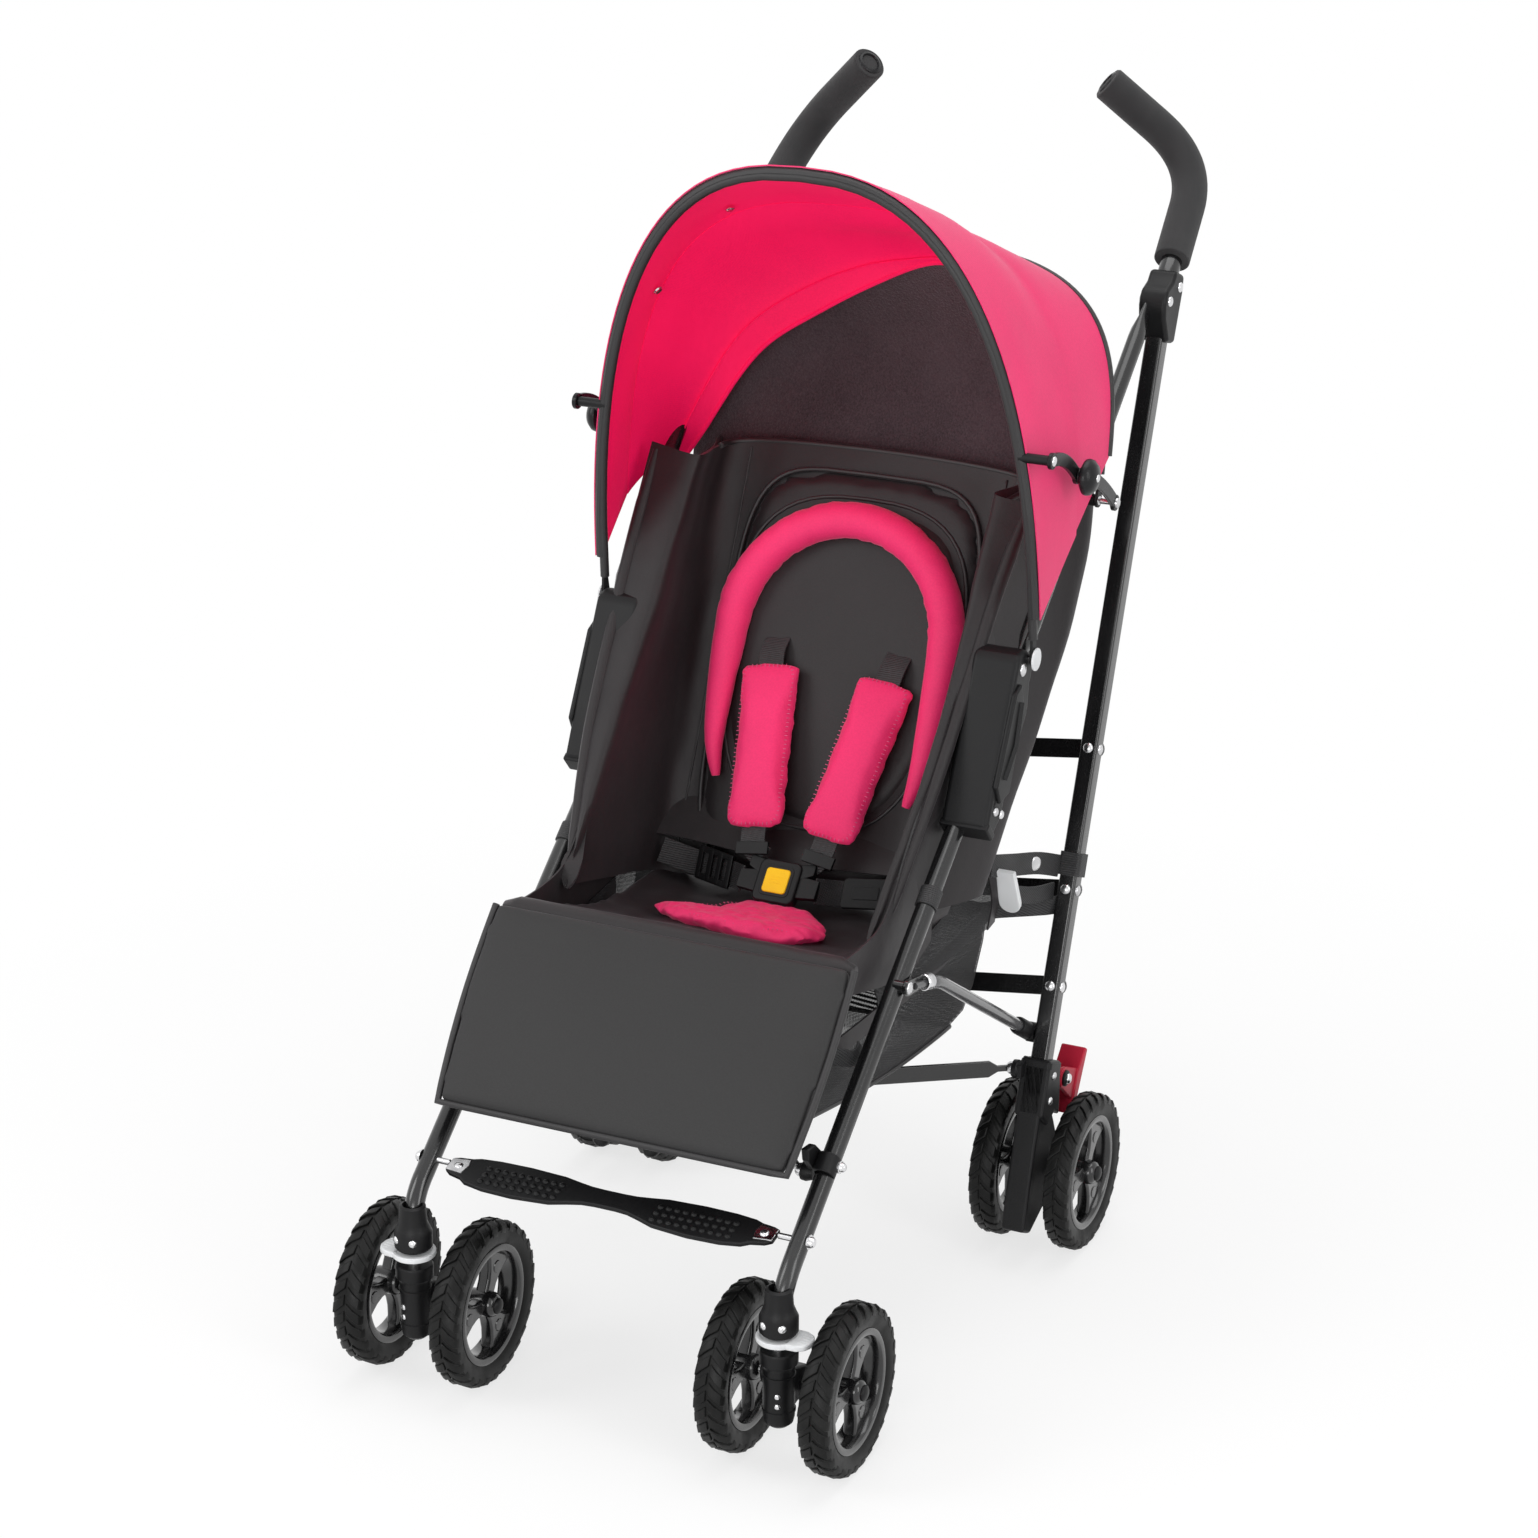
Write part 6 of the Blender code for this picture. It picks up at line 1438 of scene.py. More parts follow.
STAY_X, STAY_KNEE = 0.2345, (0.462, 0.76)
STAY_FRONT = (HOOD_PIVOT[0] + 0.19 * sin(radians(-4.6)), HOOD_PIVOT[1] + 0.19 * cos(radians(-4.6)))
stub_x = 0.2157 * cos(asin((0.19 / 0.423) ** (1 / 0.8))) ** 0.8
stubs = [(rod((s * stub_x, *STAY_FRONT), (s * (STAY_X - 0.0023), *STAY_FRONT), 0.0045), PLASTIC)
         for s in (1, -1)]
bow("front_arch", "front", 0.0042, ["hood_bow_front"], "hood_front", stubs)
bow("rear_arch", "rear", 0.0036, ["hood_bow_rear"], "hood")

front_grid = wrinkled(hood_grid(-0.012, VALLEY + 0.03, 15, 0.003), 0.0016, 14, (1, 1, 0.5))
rear_grid = wrinkled(hood_grid(VALLEY - 0.03, 1.0, 17, 0.0012), 0.0016, 16, (1, 1, 0.5), 3.0)
cloth_sheet("hood_front_panel", front_grid, HOOD_CLOTH, CANVAS, "hood_front")
cloth_sheet("hood_rear_panel", rear_grid, HOOD_CLOTH, CANVAS, "hood")

lining_grid = wrinkled(hood_grid(0.02, 0.4, 13, -0.0034), 0.003, 10, (1.4, 1, 0.6), 7.0)
cloth_sheet("hood_lining", lining_grid, HOOD_CLOTH, LINING, "hood_front")

HEM_POINTS = [(0.214, 0.548, 0.735), (0.206, 0.556, 0.8), (0.182, 0.56, 0.865), (0.13, 0.56, 0.903),
              (0.08, 0.56, 0.914), (0.042, 0.56, 0.912), (-0.012, 0.56, 0.887), (-0.063, 0.56, 0.8575),
              (-0.1145, 0.562, 0.8235), (-0.15, 0.566, 0.785), (-0.187, 0.566, 0.728), (-0.205, 0.56, 0.7)]
HEM_LINE = through(HEM_POINTS, 61)
turns = hood_turns(61)
hem_rows = [[hood_spot(0.38 + 0.36 * i / 12, turn, -0.004 - 0.003 * sin(pi * i / 12)).lerp(HEM_LINE[j],
                                                                                           (i / 12) ** 1.6)
             for j, turn in enumerate(turns)] for i in range(13)]
hem_grid = wrinkled(hem_rows, 0.0034, 9, (1.6, 1, 0.6), 12.0)
cloth_sheet("hood_rear_lining", hem_grid, HOOD_CLOTH, LINING, "hood")

hem_line = [p + Vector((0, 0.001, -0.0006)) for p in HEM_LINE[1:-1]]
fold_line = [hem_grid[-3][j] + Vector((0, -0.0016, -0.0012)) for j in range(2, 59)]
hood_trim("lining_hem", all_in(LINING, cord(hem_line, 0.0024), cord(fold_line, 0.0009, 6)), "hood")

BACK_LEAN = radians(25)
BACK_UP, BACK_FORE = Vector((0, sin(BACK_LEAN), cos(BACK_LEAN))), Vector((0, -cos(BACK_LEAN), sin(BACK_LEAN)))
CREASE = Vector((0, 0.385, 0.345))
BACK_LENGTH, BACK_HALF = 0.414, 0.1509


def seat_point(x, s, off):
    return Vector((x, CREASE.y, CREASE.z)) + BACK_UP * s + BACK_FORE * off


def wall_line(t, turn):
    """From the arch of the lining's hem down to the back's top edge, bellied backwards."""
    top = hood_spot(0.84, turn, -0.006) + Vector((0, -0.01 * sin(turn), -0.01 * sin(turn)))
    share = cos(turn)
    low = Vector((0.2 * share, *seat_point(0, 0.376 + 0.022 * (1 - share * share), -0.01).yz))
    mid = top.lerp(low, t)
    return mid + Vector((0, 0.034 * sin(pi * t) ** 0.8, 0))


wall_turns = hood_turns(49, 8)
wall_grid = wrinkled([[wall_line(i / 16, turn) for turn in wall_turns] for i in range(17)], 0.004, 7, (1, 1, 1),
                     20.0)
cloth_sheet("hood_wall", wall_grid, 0.0024, FUZZ, "hood")

edging = [(cord([hood_spot(1.0, turn, 0.0016) for turn in turns], 0.0032), TAPE),
          (cord([hood_spot(VALLEY, turn, 0.0028) for turn in turns], 0.0008, 6), CANVAS)]
hood_trim("rear_edging", edging, "hood")
front_edging = [(cord([hood_spot(-0.006, turn, -0.002) for turn in turns], 0.0046, 10), TAPE)]
for side_run in (turns[:9], turns[52:]):
    front_edging.append((cord([hood_spot(0.012, turn, -0.0006) for turn in side_run], 0.0014, 6), TAPE))
for j in (14, 24, 36, 46):
    inwards = Vector((-cos(turns[j]), -0.3, -sin(turns[j]))).normalized()
    front_edging.append((snap(hood_spot(0.3, turns[j], -0.006), inwards), STEEL))
hood_trim("front_edging", front_edging, "hood_front", ())
print("hood made")


# %% Hood stays
def link(points, width, low, high):
    a, b, c = [Vector((0, *p)) for p in points]
    spots = [a * (1 - t) ** 2 + b * 2 * t * (1 - t) + c * t * t for t in (i / 14 for i in range(15))]
    upper, lower = [], []
    for i, p in enumerate(spots):
        step = (spots[min(i + 1, 14)] - spots[max(i - 1, 0)]).normalized()
        off = Vector((0, -step.z, step.y)) * width / 2
        upper.append((p.y + off.y, p.z + off.z))
        lower.append((p.y - off.y, p.z - off.z))
    return plate(upper + lower[::-1], low, high, 0.0009, 2)


def stay_arm(side, word, which):
    peg = STAY_FRONT if which == "front" else REAR_BOW_FOOT
    layer = STAY_X if which == "front" else STAY_X + 0.0043
    bulge = ((peg[0] + STAY_KNEE[0]) / 2, (peg[1] + STAY_KNEE[1]) / 2 + 0.014)
    shapes = [(link([peg, bulge, STAY_KNEE], 0.012, layer - 0.002, layer + 0.002), SATIN_PLASTIC)]
    shapes += [(turned([(0, -0.002), (0.007, -0.002), (0.0075, -0.0014), (0.0075, 0.0014), (0.007, 0.002),
                        (0, 0.002)], (layer, *p), X_DIR, 28), SATIN_PLASTIC) for p in (peg, STAY_KNEE)]
    shapes.append((dome((layer + 0.0019, *peg), X_DIR, 0.0046, 0.0024), STEEL))
    if which == "rear":
        knob = turned([(0, 0), (0.0125, 0.0), (0.016, 0.0022), (0.0166, 0.0045), (0.0158, 0.0078),
                       (0.012, 0.0118), (0.006, 0.0138), (0, 0.0141)], (layer + 0.0018, *STAY_KNEE), X_DIR, 44)
        shapes += [(knob, SATIN_PLASTIC), (dome((layer + 0.0155, *STAY_KNEE), X_DIR, 0.0036, 0.0016), STEEL)]
    piece(f"hood_stay_{which}_{word}", shapes, f"stay_{which}_{word}",
          [f"stay_arm_{which}_{word}"], side)


for side, word in SIDES:
    stay_arm(side, word, "front")
    stay_arm(side, word, "rear")
print("stays made")

# %% [markdown]
# ## Seat back with its wings
#
# The back and both side wings are one quilted shell. The wings stand forwards along the frame's tubes,
# and their front edges are rolled. Soft folds run along the corner between back and wing. A thin liner
# pad with a rounded outline lies on the back, and an oval head pad on that.

# %% Seat shell and liner pads
WING_EDGE = ((0.212, 0.392), (0.262, 0.452), (0.318, 0.517), (0.38, 0.59), (0.432, 0.662), (0.478, 0.728))
FLAP = {LEFT: (0.002, 0.005, 0.01, 0.014, 0.022, 0.036), RIGHT: (0.004, 0.016, 0.031, 0.042, 0.048, 0.05)}


def wing_rows():
    rows, last = [], len(WING_EDGE) - 1
    for i, (edge_y, edge_z) in enumerate(WING_EDGE):
        back = seat_point(0, BACK_LENGTH * i / last, 0.004)
        edge = Vector((0, edge_y, edge_z))
        half = BACK_HALF + 0.004 * sin(pi * i / last)
        top = 0.006 * (i == last)
        sides = {}
        for side in (LEFT, RIGHT):
            out = FLAP[side][i]
            raised = Vector((0, 0.005, 0.012)) if i == last and side == RIGHT else Vector()
            sides[side] = [Vector((side * (half + out), 0, 0)) + edge + Vector((0, 0.006 - 0.1 * out, -0.006))
                           + raised, Vector((side * (half - 0.001), 0, 0)) + edge + BACK_FORE * 0.001,
                           Vector((side * half, 0, 0)) + edge.lerp(back, 0.5),
                           Vector((side * BACK_HALF, 0, 0)) + edge.lerp(back, 0.86),
                           Vector((side * (BACK_HALF - 0.02), 0, 0)) + back + BACK_UP * top * 0.4,
                           Vector((side * 0.08, 0, 0)) + back + BACK_UP * top]
        middle = back - BACK_FORE * 0.002 + BACK_UP * top * 1.3
        rows.append([*sides[RIGHT], middle, *reversed(sides[LEFT])])
    return rows


shell_grid = wrinkled(finer(wing_rows(), 45, 73), 0.0032, 13, (1.0, 0.55, 0.55), 31.0)
shell_grid = wrinkled(shell_grid, 0.0012, 42, (1.3, 0.5, 0.5), 5.0)
outer_shell = sheet_of(shell_grid, 0.0085, rim=3)
row_count, column_count = len(shell_grid), len(shell_grid[0])
top_row = shell_grid[-1]
top_piping = cord([p - BACK_FORE * 0.002 + BACK_UP * 0.0008 for p in top_row[14:-14]], 0.003)
roll = 0.0066
edge_rolls = [tube([line[j] - BACK_FORE * 0.002 for line in shell_grid[1:-1]], circle(roll, 12), hint=X_DIR,
                   scales=[0.5 + 0.5 * min(1, i / 5, (row_count - 3 - i) / 5) for i in range(row_count - 2)])
              for j in (1, column_count - 2)]
corner_seams = [tube([line[j] + BACK_FORE * 0.0004 for line in shell_grid[2:-1]], circle(0.0011, 6), hint=X_DIR)
                for j in (24, column_count - 25)]
seat_shell = seat_pad("seat_shell",
                      [(outer_shell, TWILL), (top_piping, TAPE), *[(r, TWILL) for r in edge_rolls],
                       *[(c, TAPE) for c in corner_seams]], "seat_back", ["seat_back"],
                      angle=60)


def pad_outline(half_low, half_high, low, high, corner_power, count=56):
    """A rounded outline on the back panel, as (x, s) pairs."""
    outline, mid, reach = [], (low + high) / 2, (high - low) / 2
    for i in range(count):
        a = 2 * pi * i / count
        c, q = cos(a), sin(a)
        up = reach * (abs(q) ** corner_power) * (1 if q > 0 else -1)
        half = half_low + (half_high - half_low) * (up + reach) / (2 * reach)
        outline.append((half * (abs(c) ** corner_power) * (1 if c > 0 else -1), mid + up))
    return outline


LINER_MIDDLE, HEAD_MIDDLE = 0.203, 0.218


def lying_pad(outline, off, thick):
    """A thin closed pad on the back panel, drawn in towards its edge on both faces."""
    cx = sum(p[0] for p in outline) / len(outline)
    cs = sum(p[1] for p in outline) / len(outline)
    rings = []
    for share, rise in ((0.0, 0.0), (0.5, 0.0), (0.93, 0.0), (1.0, 0.5), (0.93, 1.0), (0.5, 1.0), (0.0, 1.0)):
        share = max(share, 0.01)
        rings.append([seat_point(cx + (x - cx) * share, cs + (s - cs) * share, off + thick * rise)
                      for x, s in outline])
    return loft(rings)


liner_outline = pad_outline(0.118, 0.124, 0.008, 0.398, 0.42)
liner = swollen(lying_pad([(x * 1.028, LINER_MIDDLE + (s - LINER_MIDDLE) * 1.022) for x, s in liner_outline],
                          -0.001, 0.0095), 0.003, 0.0043)
liner_edge = [seat_point(x * 1.003, LINER_MIDDLE + (s - LINER_MIDDLE) * 1.003, 0.0066) for x, s in liner_outline
              + liner_outline[:1]]
head_outline = pad_outline(0.1, 0.128, 0.062, 0.374, 0.72)
head_pad = swollen(lying_pad([(x * 1.015, HEAD_MIDDLE + (s - HEAD_MIDDLE) * 1.015) for x, s in head_outline],
                             0.003, 0.01), 0.003, 0.0042)
head_edge = [seat_point(x * 1.004, HEAD_MIDDLE + (s - HEAD_MIDDLE) * 1.004, 0.011) for x, s in head_outline
             + head_outline[:1]]
liner_pad = seat_pad("seat_liner",
                     [(liner, TWILL), (tube(liner_edge, circle(0.0024, 8), hint=BACK_FORE), TAPE),
                      (head_pad, TWILL), (tube(head_edge, circle(0.0022, 8), hint=BACK_FORE), TAPE)],
                     "seat_back", ["seat_back"], angle=60)
print("seat back", len(seat_shell.data.polygons), len(liner_pad.data.polygons))


# %% Side cloth and rear sling
SLING_FRONT = [(0.226, 0.398), (0.266, 0.452), (0.322, 0.515), (0.356, 0.556), (0.392, 0.602), (0.428, 0.652),
               (0.458, 0.694), (0.478, 0.72)]
SLING_REAR = [(0.372, 0.384), (0.421, 0.43), (0.479, 0.479), (0.526, 0.523), (0.58, 0.573), (0.618, 0.628),
              (0.63, 0.68), (0.628, 0.715)]
sling_rows = []
for (fy, fz), (ry, rz) in zip(SLING_FRONT, SLING_REAR):
    def run(t, x):
        return Vector((x, fy + (ry - fy) * t, fz + (rz - fz) * t))
    side_run = [run(0.0, 0.1575), run(0.35, 0.16), run(0.7, 0.178), run(0.96, 0.188), run(1.04, 0.176)]
    across = [run(1.04, 0.12) + Vector((0, 0.004, 0)), run(1.0, 0.0) + Vector((0, 0.002, -0.004))]
    row = side_run + across
    sling_rows.append(row + [Vector((-p.x, p.y, p.z)) for p in reversed(row[:-1])])
sling_grid = wrinkled(finer(sling_rows, 33, 81), 0.0038, 11, (1, 0.7, 0.7), 60.0)
sling = piece("seat_sling", [(sheet_of([line[::-1] for line in sling_grid], 0.0016), TWILL),
                             (tube([line[0] for line in sling_grid], circle(0.0026, 8), hint=X_DIR), TAPE),
                             (tube([line[-1] for line in sling_grid], circle(0.0026, 8), hint=X_DIR), TAPE),
                             (cord(sling_grid[-1], 0.0028), TAPE)],
              "seat_back", ["seat_back"], angle=60)
declare_sheet(sling_grid)
folds_in(sling)
print("sling", len(sling.data.polygons))

# %% [markdown]
# ## Head roll and shoulder pads
#
# The head roll is a stuffed horseshoe that thins out at both tips, with gathers round the bend. The
# shoulder pads fold over black ribbed webbing and have a stitched border.

# %% Head roll and shoulder pads
ROLL_RADIUS, ROLL_HALF, ROLL_LOW, ROLL_HIGH = 0.0172, 0.108, 0.1, 0.352
roll_off = ROLL_RADIUS + 0.007
roll_path = [seat_point(ROLL_HALF * 0.9, ROLL_LOW - 0.004, roll_off - 0.003),
             seat_point(ROLL_HALF * 0.97, ROLL_LOW + 0.03, roll_off),
             seat_point(ROLL_HALF, ROLL_LOW + 0.085, roll_off)]
for t in range(0, 181, 12):
    a = radians(t)
    roll_path.append(seat_point(ROLL_HALF * cos(a), ROLL_HIGH - ROLL_HALF + ROLL_HALF * sin(a), roll_off))
roll_path += [Vector((-p.x, p.y, p.z)) for p in (roll_path[2], roll_path[1], roll_path[0])]
roll_path = through(roll_path, 90)
rings = []
for i, here in enumerate(roll_path):
    before, after = roll_path[max(i - 1, 0)], roll_path[min(i + 1, 89)]
    u, v = axes_along(after - before, BACK_FORE)
    size = min(1.0, 0.22 + 0.78 * sin(min(1, min(i, 89 - i) / 17) * pi / 2))
    gathers = 0.02 * sin(i * 2.1) + 0.014 * sin(i * 0.9 + 1)
    ring_points = []
    for k in range(28):
        a = 2 * pi * k / 28
        pucker = 1 + gathers * (1 + 0.8 * sin(3 * a + i * 0.35)) * size
        ring_points.append(here + (u * cos(a) + v * sin(a)) * ROLL_RADIUS * size * pucker)
    rings.append(ring_points)
roll_seam = [p - BACK_FORE * ROLL_RADIUS * 0.55
             + (p - seat_point(0, 0.244, roll_off)).normalized() * ROLL_RADIUS * 0.8 for p in roll_path[8:-8]]
seat_pad("head_roll_pad",
         [(loft(rings), PAD_CLOTH), (tube(roll_seam, circle(0.0012, 6), hint=BACK_FORE), PAD_CLOTH)],
         "seat_back", ["head_roll"])
BUCKLE = Vector((0.0, 0.339, 0.3735))


def shoulder_pad(side, word):
    low, high = seat_point(0.036, 0.05, 0.048), seat_point(0.06, 0.21, 0.024)
    along = (high - low).normalized()
    across = (X_DIR - along * X_DIR.dot(along)).normalized()
    front = across.cross(along)
    if front.dot(BACK_FORE) < 0:
        front = -front
    length = (high - low).length

    def spot(a, b, lift=0.0):
        """A point of the pad: `a` along it from 0 to 1, `b` across it in metres."""
        bow_out = 0.007 * sin(pi * a) - 60 * b * b * 0.05
        return low + along * length * a + across * b + front * (bow_out + lift)

    half = 0.0305
    outline = []
    for cx, cy, start in CORNERS:
        r = 0.014 if cy < 0 else 0.009
        outline += [((length / 2 + cy * (length / 2 - r) + r * sin(radians(start + k * 18))) / length,
                     cx * (half - r) + r * cos(radians(start + k * 18))) for k in range(6)]
    rings = [[spot(0.5 + (a - 0.5) * share, b * share, lift) for a, b in outline]
             for share, lift in ((0.02, -0.0046), (0.5, -0.0046), (0.94, -0.0046), (1.0, 0.0), (0.94, 0.0046),
                                 (0.5, 0.0046), (0.02, 0.0046))]

    pad = swollen(loft(rings), 0.004, 0.0038)
    inset = [(0.5 + (a - 0.5) * 0.93, b * 0.8) for a, b in outline]
    border = [spot(a, b, 0.0066) for a, b in inset + inset[:1]]
    run = stitches(border, [front] * len(border), THREAD)
    slot = seat_point(0.062, 0.24, 0.01)
    upper = strap([spot(0.93, 0.0, 0.0), high + along * 0.01 + front * 0.002, slot,
                   seat_point(0.062, 0.25, 0.002)], 0.025, hint=across)
    tongue = BUCKLE + Vector((0.0235, 0.015, 0.0165))
    lower = strap([spot(0.06, 0.0, -0.001), low - along * 0.012, tongue], 0.024, hint=across)
    slider = slab([(-0.016, -0.006), (0.016, -0.006), (0.016, 0.006), (-0.016, 0.006)], -0.0022, 0.0022, 0.001)
    turn = Matrix((across, along, front)).transposed().to_4x4()
    slider.transform(Matrix.Translation(low - along * 0.016 + front * 0.0005) @ turn)
    hardware = piece("shoulder_webbing_" + word, [(upper, WEBBING), (lower, WEBBING), (slider, PLASTIC)],
                     "seat_back", ["shoulder_pad_" + word], side)
    folds_in(hardware)
    seat_pad("shoulder_cushion_" + word, [(pad, PAD_CLOTH), (run, THREAD)], "seat_back",
             ["shoulder_pad_" + word], side)


both_sides(shoulder_pad)
print("head roll and shoulder pads made")

# %% [markdown]
# ## Seat cushion, buckle and straps
#
# The seat cushion sags a little and has a soft front edge. The crotch pad lies crumpled in its middle.
# The buckle has a case with a round-cornered yellow button, and the waist straps come in from both sides
# through a ladder adjuster and a side clip.


# %% Seat cushion, crotch pad and buckle
def seat_height(y):
    t = (0.385 - y) / (0.385 - 0.134)
    return 0.345 + 0.055 * max(t, 0.0) ** 1.6 - 0.008 * sin(pi * t)


cushion_rows = []
for i in range(7):
    y = 0.402 + (0.1426 - 0.402) * i / 6
    half = 0.15 if y > 0.2 else 0.16
    row = [(half, 0.008), (0.125, 0.001), (0.065, -0.002), (0.0, -0.003)]
    row += [(-a, b) for a, b in reversed(row[:-1])]
    cushion_rows.append([Vector((a, y, seat_height(y) - 0.003 + b)) for a, b in row])
cushion_grid = wrinkled(finer(cushion_rows, 25, 33), 0.002, 16, (1, 1, 1), 50.0)
cushion = swollen(sheet_of([line[::-1] for line in cushion_grid], -0.01), 0.0035, 0.0055,
                  lambda p: abs(abs(p.x) - 0.1) < 0.004)
seat_pad("seat_cushion", [(cushion, TWILL)], "harness", ["seat_base"])


def crotch_point(x, y, lift):
    crumple = 0.0026 * noise.noise(Vector((x * 60, y * 75, 3.0)))
    crumple += 0.0016 * noise.noise(Vector((x * 150, y * 130, 9.0)))
    return Vector((x, y, seat_height(y) - 0.002 + lift + crumple))


crotch_outline = through([(-0.104, 0.274, 0), (-0.072, 0.248, 0), (0.0, 0.238, 0), (0.058, 0.246, 0),
                          (0.08, 0.272, 0), (0.07, 0.304, 0), (0.05, 0.33, 0), (0.02, 0.344, 0),
                          (-0.02, 0.346, 0), (-0.044, 0.33, 0), (-0.062, 0.306, 0), (-0.096, 0.292, 0),
                          (-0.104, 0.274, 0)], 49)[:-1]
crotch_rings = []
for share, lift in ((0.02, 0.003), (0.5, 0.003), (0.95, 0.003), (1.0, 0.006), (0.95, 0.0095), (0.5, 0.0105),
                    (0.02, 0.011)):
    crotch_rings.append([crotch_point(-0.005 + (p.x + 0.005) * share, 0.288 + (p.y - 0.288) * share, lift)
                         for p in crotch_outline])
crotch = swollen(loft(crotch_rings), 0.005, 0.0042)
for vertex in crotch.verts:
    fold = noise.noise(Vector((vertex.co.x * 70, vertex.co.y * 110, 4.0)))
    vertex.co.z += 0.003 * (abs(fold) - 0.18)
crotch_seam = [crotch_point(-0.005 + (p.x + 0.005) * 0.78, 0.288 + (p.y - 0.288) * 0.76, 0.0118)
               for p in crotch_outline]
seat_pad("crotch_cushion",
         [(crotch, PAD_CLOTH), (stitches(crotch_seam, [Z_DIR] * len(crotch_seam), THREAD), THREAD)], "harness",
         ["crotch_pad"])

lean = Matrix.Translation(BUCKLE) @ Matrix.Rotation(radians(48), 4, "X")


def rounded_box(half_x, half_y, corner, low, high, width):
    return slab(rounded(2 * half_x, 2 * half_y, corner, 6), low, high, width, 3)


case = rounded_box(0.021, 0.021, 0.007, -0.007, 0.006, 0.0024)
case_rim = rounded_box(0.015, 0.015, 0.005, 0.0052, 0.0066, 0.0006)
shoulders = [slab([(s * 0.017, 0.004), (s * 0.033, 0.012), (s * 0.033, 0.024), (s * 0.012, 0.019)], -0.0045,
                  0.0035, 0.0016) for s in (1, -1)]
side_tongues = [slab([(s * 0.019, -0.012), (s * 0.04, -0.01), (s * 0.04, 0.008), (s * 0.019, 0.01)], -0.0045,
                     0.0028, 0.0014) for s in (1, -1)]
foot_tongue = slab([(-0.014, -0.03), (0.014, -0.03), (0.015, -0.018), (-0.015, -0.018)], -0.004, 0.003, 0.0012)
buckle_parts = (case, case_rim, *shoulders, *side_tongues, foot_tongue)
for bm in buckle_parts:
    bm.transform(lean)
end = lean @ Vector((0, -0.028, -0.0005))
crotch_strap = strap([end, (0, 0.3245, 0.3535), (0, 0.33, seat_height(0.33) - 0.0035)], 0.025)
piece("harness_buckle", [*all_in(PLASTIC, *buckle_parts), (crotch_strap, WEBBING)], "harness",
      ["buckle"])
button = rounded_box(0.0121, 0.0121, 0.0034, 0.0023, 0.0078, 0.0014)
ridges = [slab([(-0.006, y), (0.006, y), (0.006, y + 0.001), (-0.006, y + 0.001)], 0.0074, 0.0081, 0.0003)
          for y in (-0.003, 0.0, 0.003)]
for bm in (button, *ridges):
    bm.transform(lean)
piece("release_button", all_in(YELLOW, button, *ridges), "buckle_button", ["buckle_button"])

waist = []
for s in (1, -1):
    start = lean @ Vector((s * 0.037, -0.001, -0.001))
    spots = [start, Vector((s * 0.06, 0.36, 0.3655)), Vector((s * 0.1, 0.372, 0.365)),
             Vector((s * 0.138, 0.372, 0.372))]
    waist.append((strap(spots, 0.024, hint=BACK_UP, count=18), WEBBING))
    centre = Vector((s * 0.078, 0.3665, 0.366))
    turn = Matrix((Vector((s, 0.35, 0)).normalized(), Vector((0, 0.45, 0.89)),
                   Vector((0, -0.89, 0.45)))).transposed().to_4x4()
    if s < 0:
        parts = [slab([(-0.022, a - 0.003), (0.022, a - 0.003), (0.022, a + 0.003), (-0.022, a + 0.003)],
                      0.0012, 0.0052, 0.001) for a in (-0.013, 0.013)]
        parts += [slab([(b - 0.003, -0.015), (b + 0.003, -0.015), (b + 0.003, 0.015), (b - 0.003, 0.015)],
                       0.001, 0.0056, 0.001) for b in (-0.019, -0.006, 0.006, 0.019)]
    else:
        parts = [rounded_box(0.022, 0.0145, 0.004, 0.001, 0.0068, 0.0016),
                 rounded_box(0.0125, 0.006, 0.002, 0.006, 0.0076, 0.0006)]
    for bm in parts:
        bm.transform(Matrix.Translation(centre) @ turn)
    waist += all_in(PLASTIC, *parts)
waist_piece = piece("waist_straps", waist, "harness")
folds_in(waist_piece)
print("seat cushion and harness made")

# %% [markdown]
# ## Leg rest and basket
#
# The leg rest is a board in cloth with piped edges. It rolls over the seat's front edge at the top, and
# two round ends of its frame show under the lower edge. The basket is an open mesh with cloth hems,
# hung from straps.

# %% Leg rest
LEG_REST_TOP, LEG_REST_LENGTH, LEG_REST_ANGLE = (0.1275, 0.3985), 0.182, radians(48.8)
DOWN = Vector((0, -cos(LEG_REST_ANGLE), -sin(LEG_REST_ANGLE)))
OUT = Vector((0, -sin(LEG_REST_ANGLE), cos(LEG_REST_ANGLE)))


def leg_spot(x, t, lift=0.0):
    crown = 0.006 * sin(pi * min(1, max(0, t))) * (1 - min(1, abs(x) / 0.18) ** 3)
    return Vector((x, *LEG_REST_TOP)) + DOWN * LEG_REST_LENGTH * t + OUT * (crown + lift)


def leg_half(t):
    return 0.171 - 0.006 * t + 0.004 * sin(pi * t)


leg_grid = [[leg_spot((leg_half(i / 16) + 0.003) * (1 - 2 * j / 32), -0.01 + 1.032 * i / 16, -0.001)
             for j in range(33)] for i in range(17)]
leg_core = swollen(sheet_of([line[::-1] for line in leg_grid], 0.0125), 0.002, 0.005)
def leg_border(s, t):
    return leg_spot(s * (leg_half(t) + 0.0035), t * 1.018, 0.0062)


